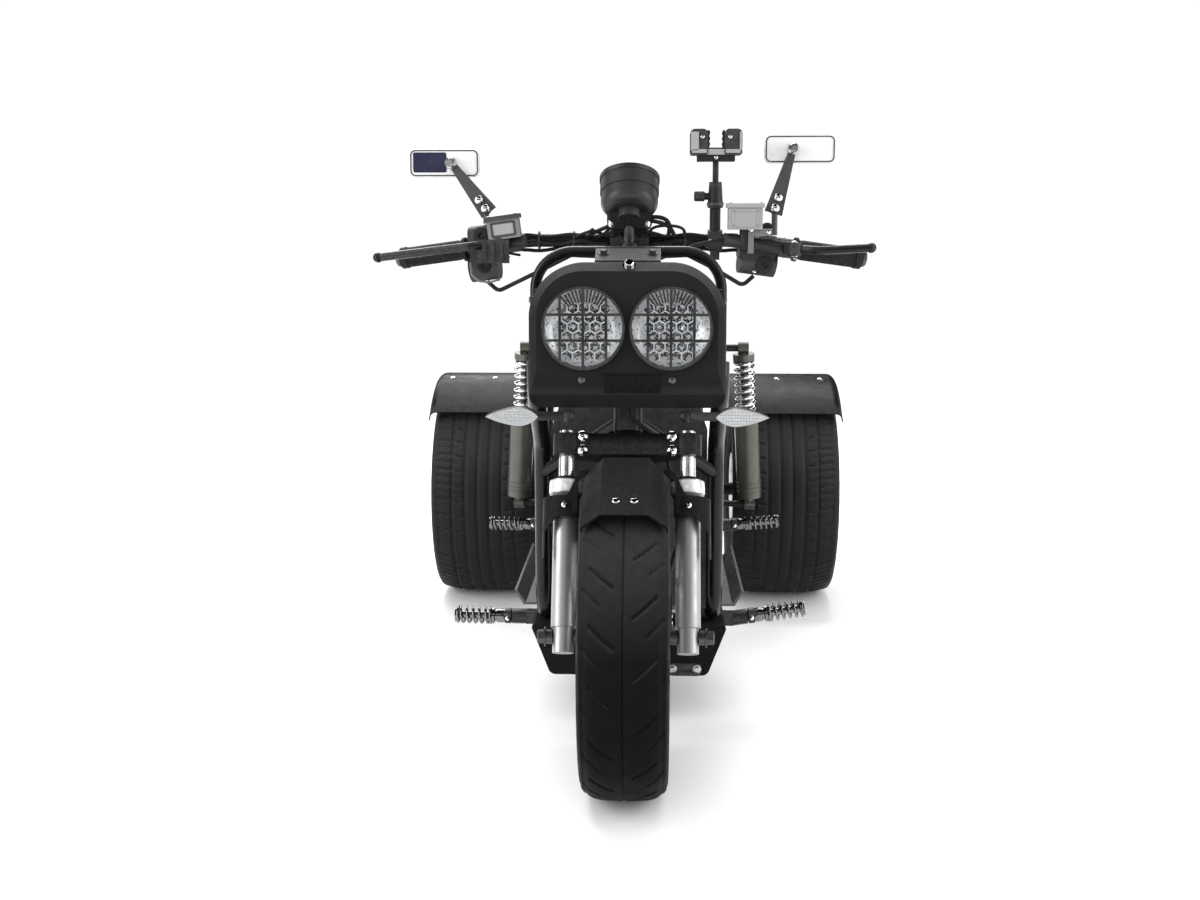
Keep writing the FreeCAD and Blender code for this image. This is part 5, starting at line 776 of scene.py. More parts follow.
# ---------------------------------------------------------------- studio
@dataclass(frozen=True)
class Studio:
    """Pale floor and backdrop, soft lights, and the camera at the viewing angle."""

    eye: Vector = Vector((0.038, -2.8075, 0.852))
    pitch: float = math.radians(8.5)
    yaw: float = math.radians(2.07)
    lens: float = 43.2
    sensor: float = 36.0
    target: Vector = Vector((0.0, 0.0, 0.45))
    floor_reach: float = 30.0
    screen_away: float = 5.0
    screen_low: float = 0.05
    # each light's name, place, width and height, and watts
    soft_boxes: tuple = (
        ("overhead", (-0.3, 1.7, 3.3), (3.2, 1.8), 110.0), ("behind", (-0.9, 3.2, 2.4), (3.0, 1.6), 50.0),
        ("left", (-3.0, -1.8, 1.6), (1.4, 2.6), 62.0), ("right", (3.0, -1.2, 1.4), (1.4, 2.6), 46.0),
        ("front", (-0.6, -4.6, 2.6), (2.4, 1.0), 10.0),
    )
    # the bearings where each screen starts and ends, in degrees from straight ahead, and its height
    screens_at: tuple = ((-78, -30, 7.0), (26, 74, 7.0), (104, 146, 2.6), (-148, -104, 2.6))

    def camera(self) -> None:
        """Places the camera."""
        data = bpy.data.cameras.new("camera")
        data.lens, data.sensor_width, data.clip_start = self.lens, self.sensor, 0.05
        camera = added("camera", data)
        camera.location = self.eye
        aim(camera, Vector((-math.sin(self.yaw) * math.cos(self.pitch), math.cos(self.yaw) * math.cos(self.pitch),
                            -math.sin(self.pitch))))
        bpy.context.scene.camera = camera

    def sheet(self, name: str, corners: list[Triple], faces: list[tuple], material: bpy.types.Material
              ) -> bpy.types.Object:
        """Adds a sheet of the set, which isn't part of the trike.

        Args:
            name: The sheet's name.
            corners: Its corners.
            faces: Its faces, as numbers of corners.
            material: Its material.

        Returns:
            The object.
        """
        mesh = bpy.data.meshes.new(name)
        mesh.from_pydata(corners, [], faces)
        mesh.materials.append(material)
        sheet = added(name, mesh)
        return sheet

    def pale(self, name: str, shades: Pair, size: float, roughness: float) -> Recipe:
        """A pale material that drifts between two greys.

        Args:
            name: The material's name.
            shades: The two greys.
            size: Width of the patches, in metres.
            roughness: How dull it is.

        Returns:
            The recipe that holds it.
        """
        recipe = Recipe(name)
        recipe.feed("Base Color", recipe.mix(recipe.noise(size), (shades[0],) * 3, (shades[1],) * 3))
        recipe.feed("Roughness", roughness)
        return recipe

    def floor(self) -> None:
        """Lays a pale floor that runs far out under the horizon."""
        recipe = self.pale("floor", (0.97, 0.98), 0.4, 0.7)
        recipe.feed("Specular IOR Level", 0.0)
        low, reach = CAD_BOUNDS[0][2], self.floor_reach
        corners = [(sx * reach, sy * reach, low) for sx, sy in ((-1, -1), (1, -1), (1, 1), (-1, 1))]
        self.sheet("floor", corners, [(0, 1, 2, 3)], recipe.material).visible_diffuse = False

    def lights(self) -> None:
        """Adds the soft boxes, which all face the trike."""
        for name, at, size, power in self.soft_boxes:
            data = bpy.data.lights.new(name, "AREA")
            data.shape, data.size, data.size_y, data.energy = "RECTANGLE", *size, power
            light = added(name, data)
            light.location = at
            aim(light, self.target - light.location)

    def surroundings(self) -> None:
        """Makes the world white, fading to grey below the horizon, and unseen in reflections."""
        world = bpy.data.worlds.new("studio")
        bpy.context.scene.world = world
        world.use_nodes = True
        tree = world.node_tree
        split, fade = tree.nodes.new("ShaderNodeSeparateXYZ"), tree.nodes.new("ShaderNodeMapRange")
        tree.links.new(tree.nodes.new("ShaderNodeTexCoord").outputs["Generated"], split.inputs["Vector"])
        tree.links.new(split.outputs["Z"], fade.inputs["Value"])
        for socket, value in (("From Min", -0.45), ("From Max", -0.08), ("To Min", 0.35), ("To Max", 1.05)):
            fade.inputs[socket].default_value = value
        tree.nodes["Background"].inputs["Color"].default_value = (1.0, 1.0, 1.0, 1.0)
        tree.links.new(fade.outputs["Result"], tree.nodes["Background"].inputs["Strength"])
        world.cycles_visibility.glossy = False

    def screens(self) -> None:
        """Stands pale screens round the set, seen only in reflections, so that bright metal shows light and dark."""
        material = self.pale("pale_screen", (0.84, 0.9), 0.8, 0.9).material
        steps = 8
        for number, (start, end, high) in enumerate(self.screens_at):
            bearings = [math.radians(start + (end - start) * k / steps) for k in range(steps + 1)]
            corners = [(self.screen_away * math.sin(a), -self.screen_away * math.cos(a), z)
                       for a in bearings for z in (self.screen_low, high)]
            faces = [(2 * k, 2 * k + 2, 2 * k + 3, 2 * k + 1) for k in range(steps)]
            screen = self.sheet(f"screen_{number}", corners, faces, material)
            screen.visible_camera = screen.visible_diffuse = screen.visible_shadow = False

    def build(self) -> None:
        """Builds the whole studio."""
        bpy.context.scene.view_settings.view_transform = "Standard"
        self.camera()
        self.floor()
        self.lights()
        self.surroundings()
        self.screens()


# ---------------------------------------------------------------- tyres
def window(value: float, start: float, end: float, fade: float) -> float:
    """1 between start and end, easing to 0 over a fade past each."""
    return smoothstep((value - start) / fade) * (1.0 - smoothstep((value - end) / fade))


def trench(away: float, width: float, flat: float, slope: float) -> float:
    """Depth share of a groove at a distance from its middle; its flat and its slope are shares of its width."""
    return 1.0 - smoothstep((away - width * flat) / (width * slope))


def off_grid(phase: float) -> float:
    """Distance from the nearest whole number."""
    return abs(phase - round(phase))


@dataclass(frozen=True)
class Tread:
    """How the grooves of one tyre run: sizes in metres, places in shares of half the tread's width."""

    blocks: int
    groove: float
    depth: float
    sweep: float
    start: float
    end: float
    rings: tuple[float, ...]
    ring_groove: float
    mean_radius: float = 0.24
    curl: float = 1.4
    short_start: float = 0.55
    short_depth: float = 0.7


@dataclass(frozen=True)
class TreadedTyre:
    """A moulded tyre that stands for its plain CAD node."""

    node: str
    body: Body
    bead_radius: float
    tread: Tread
    segments: int = 528
    tread_steps: int = 30
    wall_steps: int = 18
    tread_share: float = 0.86

    def outline(self, half: float, radius: float) -> list[Triple]:
        """Half of the tyre's section.

        Args:
            half: Half of the tyre's width.
            radius: The tyre's outer radius.

        Returns:
            Triples of distance from the middle, radius, and share of the tread's width, over 1 on the wall.
        """
        wall, edge = radius - self.bead_radius, self.tread_share * half
        points = []
        for k in range(self.tread_steps + 1):
            share = k / self.tread_steps
            crown = 0.035 * wall * share ** 2 + 0.085 * wall * share ** 7
            points.append((edge * share, radius - crown, share))
        shoulder = radius - 0.12 * wall
        for k in range(1, self.wall_steps + 1):
            share = k / self.wall_steps
            turn = math.pi * share
            drop = (shoulder - self.bead_radius) * (1 - math.cos(turn)) / 2
            bulge = edge + (half - edge) * math.sin(min(turn * 1.25, math.pi)) ** 0.8
            narrow = 0.05 * half * smoothstep((share - 0.55) / 0.45)
            points.append((bulge - narrow, shoulder - drop, 1.0 + share))
        return points

    def sunk(self, x: float, share: float, angle: float, half: float) -> float:
        """How deep the moulding lies under the tread's surface at one point.

        Args:
            x: Distance from the tyre's middle plane.
            share: Share of half the tread's width.
            angle: Angle round the wheel.
            half: Half of the tyre's width.

        Returns:
            The depth in metres.
        """
        if share > 1.0:
            return 0.0
        tread = self.tread
        phase = angle * tread.blocks / math.tau + (0.5 if x > 0 else 0.0) + tread.sweep * share ** tread.curl
        pitch = math.tau * tread.mean_radius / tread.blocks
        width = tread.groove * (0.65 + 0.6 * share)
        long = window(share, tread.start, tread.end, 0.05) * trench(off_grid(phase) * pitch, width, 0.35, 0.3)
        outside = smoothstep((share - tread.short_start) / 0.06)
        short = tread.short_depth * outside * trench(off_grid(phase + 0.5) * pitch, width, 0.2, 0.25)
        rings = [trench(abs(share - ring) * self.tread_share * half, tread.ring_groove, 0.35, 0.3)
                 for ring in tread.rings]
        return max(long, short, *rings) * tread.depth

    def raised(self, share: float, angle: float) -> float:
        """Mould ribs on the side wall.

        Args:
            share: The section's share, over 1 on the wall.
            angle: Angle round the wheel.

        Returns:
            The ribs' height in metres.
        """
        if share < 1.08:
            return 0.0
        down = share - 1.0
        ribs = sum(math.exp(-((down - at) / 0.012) ** 2) for at in (0.2, 0.28, 0.78, 0.9))
        fine = 0.5 + 0.5 * math.cos(angle * 180)
        return 0.0009 * ribs + 0.0006 * fine * window(down, 0.12, 0.19, 0.02)

    def build(self) -> Pieces:
        """Builds the tyre and lets it stand for the CAD node.

        Returns:
            The tyre.
        """
        box = NodeBox.of(self.node)
        centre, radius, half = box.centre, box.size.z / 2, box.size.x / 2
        side = self.outline(half, radius)
        section = [(-x, r, s) for x, r, s in reversed(side[1:])] + side
        inner, on_rim = self.bead_radius - 0.004, 9.0
        section = [(section[0][0] * 0.93, inner, on_rim)] + section + [(section[-1][0] * 0.93, inner, on_rim)]
        draft = Draft()
        rings = []
        for k in range(self.segments):
            angle = math.tau * k / self.segments
            up, back = math.cos(angle), math.sin(angle)
            ring = []
            for x, r, share in section:
                level = r - self.sunk(x, share, angle, half)
                out = x + math.copysign(self.raised(share, angle), x) if share < on_rim else x
                ring.append(draft.bm.verts.new(centre + Vector((out, level * back, level * up))))
            rings.append(ring)
        draft.skin(rings, closed=True)
        piece = draft.piece(self.node + "_tread", NODE_FINISHES[self.node], self.body, smooth=38.0)
        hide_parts(self.node)
        return [piece]


FRONT_TREAD = Tread(blocks=18, groove=0.0055, depth=0.0024, sweep=-0.58, start=0.2, end=0.82, rings=(0.0,),
                    ring_groove=0.0035)
REAR_TREAD = Tread(blocks=44, groove=0.005, depth=0.003, sweep=-0.5, start=0.42, end=0.97,
                   rings=(0.13, 0.4, 0.68), ring_groove=0.007)
# the tyre's inner wall, half its width, half the rim, the spokes' inset, and the hub's end past them
REAR_HUB_OUT = 0.221 + 0.24 / 2 + 0.096 - 0.022 + 0.01


@dataclass(frozen=True)
class WheelTrim:
    """Bolts and hub cap of one rear wheel."""

    rim: str
    body: Body
    side: int
    bolts: int = 5
    bolt_radius: float = 0.028

    def build(self) -> Pieces:
        """Builds the bolts and the cap on the hub's outer end.

        Returns:
            The pieces.
        """
        kit, out = Kit(self.body), ACROSS * self.side
        bolts, cap = kit.begin(self.rim + "_bolts", BRIGHT_STEEL), kit.begin(self.rim + "_cap", BLACK_PAINT)
        centre = NodeBox.of(self.rim).centre
        face = Vector((self.side * REAR_HUB_OUT, centre.y, centre.z))
        for k in range(self.bolts):
            bolts.bolt(face + around(-360.0 * (k + 0.5) / self.bolts) * self.bolt_radius, out, 0.013, 0.008)
        cap.lathe([(0.017, 0.0), (0.017, 0.006), (0.014, 0.011), (0.004, 0.0125)], face, out)
        return kit.pieces()


# ---------------------------------------------------------------- lamps
@dataclass(frozen=True)
class Headlamps:
    """Honeycomb reflectors, flutes, bowls and bulbs of the twin lamps."""

    cell: float = 0.0165
    band: float = 0.035
    dish: float = 0.006
    rib: float = 0.0012
    rib_deep: float = 0.003
    flute_start: float = 0.6
    flutes: int = 13
    bowl_deep: float = 0.026

    def lamp_centres(self) -> list[Vector]:
        """Middle of each lamp, at the plane behind its lens."""
        box = NodeBox.of("headlight_lenses")
        x = box.size.x / 2 - box.size.z / 2
        return [Vector((side * x, NodeBox.of("headlight_bowls").low.y, box.centre.z)) for side, _ in SIDES]

    @property
    def radius(self) -> float:
        """Radius of a lamp's reflector."""
        return NodeBox.of("headlight_bowls").size.z / 2 - 0.0008

    def depth_at(self, away: float) -> float:
        """How far the reflector lies behind the lens at a distance from the lamp's middle."""
        return self.bowl_deep * (1 - min(away / self.radius, 1.0) ** 2) + 0.002

    def cell_places(self) -> list[Pair]:
        """Across and up of each cell in the lamp's middle band, below the flutes."""
        row_step = self.cell * 0.866
        rows = int(self.radius / row_step) + 1
        places = []
        for row in range(-rows, rows + 1):
            for column in range(-6, 7):
                x, z = (column + (0.5 if row % 2 else 0.0)) * self.cell, row * row_step
                inside = math.hypot(x, z) < self.radius - self.cell * 0.42 and abs(x) < self.band
                if inside and z < self.flute_start * self.radius:
                    places.append((x, z))
        return places

    def honeycomb(self, centre: Vector, ribs: Draft, dishes: Draft) -> None:
        """Builds hexagonal cells: bright ribs round dished, faceted middles.

        Args:
            centre: The lamp's middle.
            ribs: The draft that takes the ribs.
            dishes: The draft that takes the dishes.
        """
        outer_r = self.cell * 0.577
        inner_r = outer_r - self.rib
        corner, flat = math.pi / 6, math.pi / 3
        for index, (x, z) in enumerate(self.cell_places()):
            middle = centre + Vector((x, self.depth_at(math.hypot(x, z)), z))
            ribs.skin([ribs.ring(middle + BACKWARD * deep, ACROSS, UPWARD, r, 6, corner)
                       for r, deep in ((outer_r, 0.0), (inner_r, 0.0002), (inner_r, self.rib_deep),
                                       (outer_r, self.rib_deep))], closed=True)
            lean = Vector((math.sin(index * 2.4), 0.0, math.cos(index * 3.7))) * inner_r * 0.3
            dishes.skin([dishes.ring(middle + BACKWARD * deep + lean * slide, ACROSS, UPWARD, r, 6, turn)
                         for r, deep, slide, turn in ((inner_r, self.dish + 0.003, 0.0, corner),
                                                      (inner_r, 0.0012, 0.0, corner),
                                                      (inner_r * 0.62, self.dish * 0.75, 0.6, flat),
                                                      (inner_r * 0.25, self.dish, 1.0, corner))])

    def top_flutes(self, centre: Vector, draft: Draft) -> None:
        """Fans flutes out over the top of the bowl."""
        for k in range(self.flutes):
            a = math.pi / 2 + (k - (self.flutes - 1) / 2) * 0.105
            way = Vector((math.cos(a), 0, math.sin(a)))
            reaches = [self.radius * share for share in (0.64, 0.76, 0.88, 0.97)]
            draft.sweep([centre + way * r + BACKWARD * (self.depth_at(r) + 0.004) for r in reaches], 0.0014, 6)

    def bowl(self, centre: Vector, draft: Draft) -> None:
        """Turns the bright bowl round the honeycomb, closed at the back but for a small hole."""
        steps, hole = 14, 0.001
        reaches = [self.radius * (1 - k / steps) for k in range(steps + 1)]
        inside = [(max(away, hole), self.depth_at(away) + 0.0055) for away in reaches]
        outside = [(hole, 0.046), (self.radius * 0.7, 0.038), (self.radius, 0.012)]
        draft.lathe(inside + outside, centre, BACKWARD, 64, closed=True)

    def build(self) -> Pieces:
        """Builds both lamps; their reflectors stand for the plain CAD bowls.

        Returns:
            The pieces.
        """
        kit = Kit(Body.CHASSIS)
        for number, centre in enumerate(self.lamp_centres(), 1):
            self.bowl(centre, kit.begin(f"lamp_{number}_bowl", LAMP_BOWL))
            self.honeycomb(centre, kit.begin(f"lamp_{number}_ribs", LAMP_RIB, smooth=12),
                           kit.begin(f"lamp_{number}_dishes", LAMP_DISH, smooth=12))
            self.top_flutes(centre, kit.begin(f"lamp_{number}_flutes", LAMP_SHADOW, smooth=20))
            bulb = [(0.006, 0.0), (0.0066, 0.004), (0.0066, 0.012), (0.0045, 0.016), (0.0045, 0.026)]
            kit.begin(f"lamp_{number}_bulb", CLEAR).lathe(bulb, centre + BACKWARD * 0.004, BACKWARD, 24)
        pieces = kit.pieces()
        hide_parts("headlight_bowls")
        return pieces


@dataclass(frozen=True)
class ShellTrim:
    """Screws and duct of the headlight shell, and the bolts of its bracket."""

    crease_z: float = 0.645
    chin_z: float = 0.61
    crease_behind: float = 0.05
    chin_deep: float = 0.012
    low_screw_x: float = 0.069
    low_screw_z: float = 0.633
    duct_x: float = 0.008
    duct_half: float = 0.043
    duct_top: float = 0.6425
    duct_low: float = 0.612

    def chin(self, x: float, z: float) -> Vector:
        """A point of the shell's sloping lower face."""
        share = min(max((self.crease_z - z) / (self.crease_z - self.chin_z), 0.0), 1.0)
        return place(x, self.crease_behind + self.chin_deep * share, z)

    def build(self) -> Pieces:
        """Builds the screws, the bolts, and the dark duct in the lower face with a lip over it.

        Returns:
            The pieces.
        """
        kit = Kit(Body.CHASSIS)
        sides = kit.begin("shell_screws", DARK_STEEL)
        box = NodeBox.of("headlight_shell")
        for side, _ in SIDES:
            for z in (0.672, 0.752):
                sides.dome(Vector((side * box.high.x, box.low.y + 0.062, z)), ACROSS * side, 0.0065, 0.0035)
            sides.dome(self.chin(side * self.low_screw_x, self.low_screw_z), FORWARD, 0.0058, 0.0028)
        kit.begin("shell_top_bolt", CHROME).bolt(place(0.003, 0.0545, 0.8065), around(45.0), 0.0125, 0.006)
        plate = kit.begin("shell_plate_bolts", DARK_STEEL)
        for x in (-0.038, 0.038):
            plate.bolt(place(x, 0.128, 0.8235), Vector((0.0, -0.35, 1.0)), 0.01, 0.005)
        duct = kit.begin("shell_duct", WING_PLASTIC, bevel=0.0006)
        middle, tall = (self.duct_low + self.duct_top) / 2, self.duct_top - self.duct_low
        lean = Matrix.Rotation(math.atan2(self.chin_deep, self.crease_z - self.chin_z), 3, "X")
        duct.block(self.chin(self.duct_x, middle) + BACKWARD * 0.0002, (2 * self.duct_half, 0.0022, tall), lean)
        duct.block(self.chin(self.duct_x, self.duct_top) + Vector((0.0, -0.0008, 0.0008)),
                   (2 * self.duct_half + 0.01, 0.004, 0.0018))
        return kit.pieces()


@dataclass(frozen=True)
class SignalLens:
    """Small prisms over a pair of turn signals' lenses."""

    node: str
    name: str
    finish: Finish
    step: float = 0.0045
    length: float = 0.081
    widest: float = 0.39

    def half_height(self, along: float, most: float) -> float:
        """Half of the leaf's height at a share of its length."""
        share = along / self.widest if along < self.widest else (1 - along) / (1 - self.widest)
        return most * max(0.0, share) ** 0.75 if 0 <= along <= 1 else 0.0

    def places(self, side: int) -> list[Pair]:
        """Across and up of each prism inside the outline of one lens.

        Args:
            side: 1 on the left, -1 on the right.

        Returns:
            Pairs of x and z.
        """
        box = NodeBox.of(self.node)
        inner = box.high.x - self.length if side > 0 else box.low.x
        found = []
        for row in range(int(box.size.z / self.step) + 1):
            for column in range(int(self.length / self.step) + 1):
                x, z = inner + (column + 0.5) * self.step, box.low.z + (row + 0.5) * self.step
                along = (x - inner) / self.length
                most = self.half_height(along if side > 0 else 1 - along, box.size.z / 2) - self.step * 0.5
                if abs(z - box.centre.z) <= most:
                    found.append((x, z))
        return found

    def build(self) -> Pieces:
        """Builds a field of four-sided studs on each lens's outer face.

        Returns:
            The pieces.
        """
        kit, box = Kit(Body.CHASSIS), NodeBox.of(self.node)
        facing, face_y = (FORWARD, box.low.y) if box.centre.y < 0 else (BACKWARD, box.high.y)
        for side, word in SIDES:
            draft = kit.begin(f"{self.name}_prisms_{word}", self.finish, smooth=5)
            for x, z in self.places(side):
                at = Vector((x, face_y, z))
                ring = draft.ring(at, ACROSS, UPWARD, self.step * 0.66, 4, math.pi / 4)
                tip = draft.bm.verts.new(at + facing * self.step * 0.3)
                for k in range(4):
                    draft.bm.faces.new((ring[k], ring[(k + 1) % 4], tip))
        return kit.pieces()


# ---------------------------------------------------------------- springs
@dataclass(frozen=True)
class PegStation:
    """One pair of foot pegs: distance behind the front axle, height, and each side's tilt in degrees."""

    behind: float
    z: float
    left_tilt: float
    right_tilt: float


@dataclass(frozen=True)
class SpringPegs:
    """Coil springs round the foot pegs, in place of the CAD's turned ones."""

    stations: tuple[PegStation, ...]
    lug_x: float = 0.186
    lug: float = 0.026
    sleeve: float = 0.036
    spring: float = 0.068
    radius: float = 0.0162
    wire: float = 0.0024
    turns: float = 7.0
    clamp_at: float = 0.007

    def rod_profile(self) -> list[Pair]:
        """Section of the sleeve, the rod inside the spring, and the end cap."""
        sleeve, end = self.sleeve, self.sleeve + self.spring
        return [(0.0085, 0.0), (0.012, 0.002), (0.012, 0.014), (0.0128, 0.016), (0.0128, sleeve - 0.01),
                (0.011, sleeve - 0.009), (0.011, sleeve - 0.006), (0.015, sleeve - 0.004), (0.015, sleeve),
                (0.007, sleeve + 0.0005), (0.007, end - 0.004), (0.013, end - 0.0035), (0.0135, end - 0.001),
                (0.0105, end)]

    def peg(self, kit: Kit, word: str, root: Vector, way: Vector) -> None:
        """Builds one peg.

        Args:
            kit: Takes the pieces.
            word: The start of its pieces' names.
            root: Where it leaves its lug.
            way: The way it points.
        """
        kit.begin(word + "_rod", DIMMED_CHROME).lathe(self.rod_profile(), root, way, 36)
        foot, tip = root + way * self.sleeve, root + way * (self.sleeve + self.spring - 0.003)
        coil = kit.begin(word + "_spring", DIMMED_CHROME, smooth=60)
        coil.helix(foot, tip, self.radius - self.wire, self.wire, self.turns)
        clamp = kit.begin(word + "_clamp", BLACK_PAINT, bevel=0.0007)
        clamp.lathe([(0.0128, 0.0), (0.014, 0.001), (0.014, 0.011), (0.0128, 0.012)], root + way * 0.001, way)
        ear = root + way * self.clamp_at
        clamp.block(ear + FORWARD * 0.0145, (0.011, 0.008, 0.012))
        kit.begin(word + "_pin", CHROME).dome(ear + FORWARD * 0.0184, FORWARD, 0.0044, 0.003)

    def build(self) -> Pieces:
        """Builds every peg.

        Returns:
            The pieces.
        """
        kit = Kit(Body.CHASSIS)
        for row, station in enumerate(self.stations, 1):
            for side, word in SIDES:
                a = math.radians(station.left_tilt if side > 0 else station.right_tilt)
                way = Vector((side * math.cos(a), 0.0, math.sin(a)))
                root = place(side * self.lug_x, station.behind, station.z) + way * self.lug
                self.peg(kit, f"peg_{row}_{word}", root, way)
        pieces = kit.pieces()
        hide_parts("foot_pegs")
        return pieces


@dataclass(frozen=True)
class ShockSprings:
    """Chromed coil springs of the rear shocks, in place of the CAD's turned ones."""

    top: Vector
    low: Vector
    share: float = 0.42
    radius: float = 0.023
    wire: float = 0.0042
    turns: float = 9.0
    eye: float = 0.026

    def build(self) -> Pieces:
        """Builds both springs, their seats, the damper rods inside them and the ribs at their feet.

        Returns:
            The pieces.
        """
        kit = Kit(Body.CHASSIS)
        collar = [(0.0245, 0.0), (0.0262, 0.0015), (0.0262, 0.007), (0.0235, 0.009), (0.0235, 0.012),
                  (0.0252, 0.013), (0.0252, 0.016), (0.012, 0.0165)]
        for side, word in SIDES:
            mirror = Matrix.Diagonal((side, 1.0, 1.0))
            top, low = mirror @ self.top, mirror @ self.low
            way, long = (top - low).normalized(), (top - low).length
            seat, roof = low + way * long * (1 - self.share), top - way * self.eye
            coil = kit.begin(f"shock_spring_{word}", CHROME, smooth=60)
            coil.helix(seat, roof, self.radius - self.wire, self.wire, self.turns)
            kit.begin(f"shock_collar_{word}", BRIGHT_STEEL).lathe(collar, seat - way * 0.016, way, 40)
            kit.begin(f"shock_rod_{word}", CHROME).rod(seat, roof, 0.0062)
            ribs = kit.begin(f"shock_foot_ribs_{word}", DAMPER_PAINT)
            for rise in (0.03, 0.04, 0.05):
                ribs.lathe([(0.0255, 0.0), (0.0268, 0.001), (0.0268, 0.003), (0.0255, 0.004)],
                           low + way * rise, way, 40)
        pieces = kit.pieces()
        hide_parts("shock_springs")
        return pieces


# ---------------------------------------------------------------- controls
@dataclass(frozen=True)
class Reservoir:
    """One brake-fluid reservoir: its place on the bar, its sides, its tilt in degrees and its finishes."""

    side: int
    clamp_x: float
    x: float
    width: float
    low: float
    high: float
    roll: float
    lid_finish: Finish
    body_finish: Finish
    deep: float = 0.04
    lid: float = 0.006
    step: float = 0.003
    ahead: float = 0.036
    skin: float = 0.0007

    @property
    def turn(self) -> Matrix:
        """Its tilt."""
        return Matrix.Rotation(math.radians(self.side * self.roll), 3, "Y")

    def at(self, x: float, y: float, z: float) -> Vector:
        """A point of the tilted reservoir, from the middle of its underside."""
        inner = BAR.at(min(self.clamp_x, self.x - self.width / 2) - 0.004)
        return Vector((self.side * self.x, inner.y - self.ahead, BAR.height + self.low)) + self.turn @ Vector((x, y, z))

    def coated(self, *sides: float) -> tuple:
        """Three sides, each grown by the skin that hides the CAD's own face."""
        return tuple(side + 2 * self.skin for side in sides)

    def build(self, kit: Kit, word: str) -> None:
        """Builds its moulded cover, lid, front frame and screws.

        Args:
            kit: Takes the pieces.
            word: The end of its pieces' names.
        """
        turn, tall, body_tall = self.turn, self.high - self.low, self.high - self.low - self.lid
        kit.begin(f"reservoir_body_{word}", self.body_finish, bevel=0.0016).block(
            self.at(0, 0, body_tall / 2),
            self.coated(self.width - 2 * self.step, self.deep - 2 * self.step, body_tall), turn)
        kit.begin(f"reservoir_lid_{word}", self.lid_finish, bevel=0.0016).block(
            self.at(0, 0, tall - self.lid / 2), self.coated(self.width, self.deep, self.lid), turn)
        border = kit.begin(f"reservoir_frame_{word}", self.lid_finish)
        wide, high, edge = self.width - 0.02, body_tall - 0.01, 0.0035
        front = self.step - self.deep / 2 - self.skin
        for sign in (1, -1):
            border.block(self.at(0, front - 0.0006, body_tall / 2 + sign * high / 2), (wide, 0.0014, edge), turn)
            border.block(self.at(sign * wide / 2, front - 0.0006, body_tall / 2), (edge, 0.0014, high), turn)
        kit.begin(f"reservoir_inset_{word}", POT_PLASTIC).block(
            self.at(0, front - 0.0002, body_tall / 2), (wide, 0.0006, high), turn)
        screws = kit.begin(f"reservoir_screws_{word}", BRIGHT_STEEL)
        for dx in (-1, 1):
            for dy in (-1, 1):
                corner = self.at(dx * (self.width / 2 - 0.006), dy * (self.deep / 2 - 0.006), tall + self.skin)
                screws.dome(corner, turn @ UPWARD, 0.0032, 0.0018)


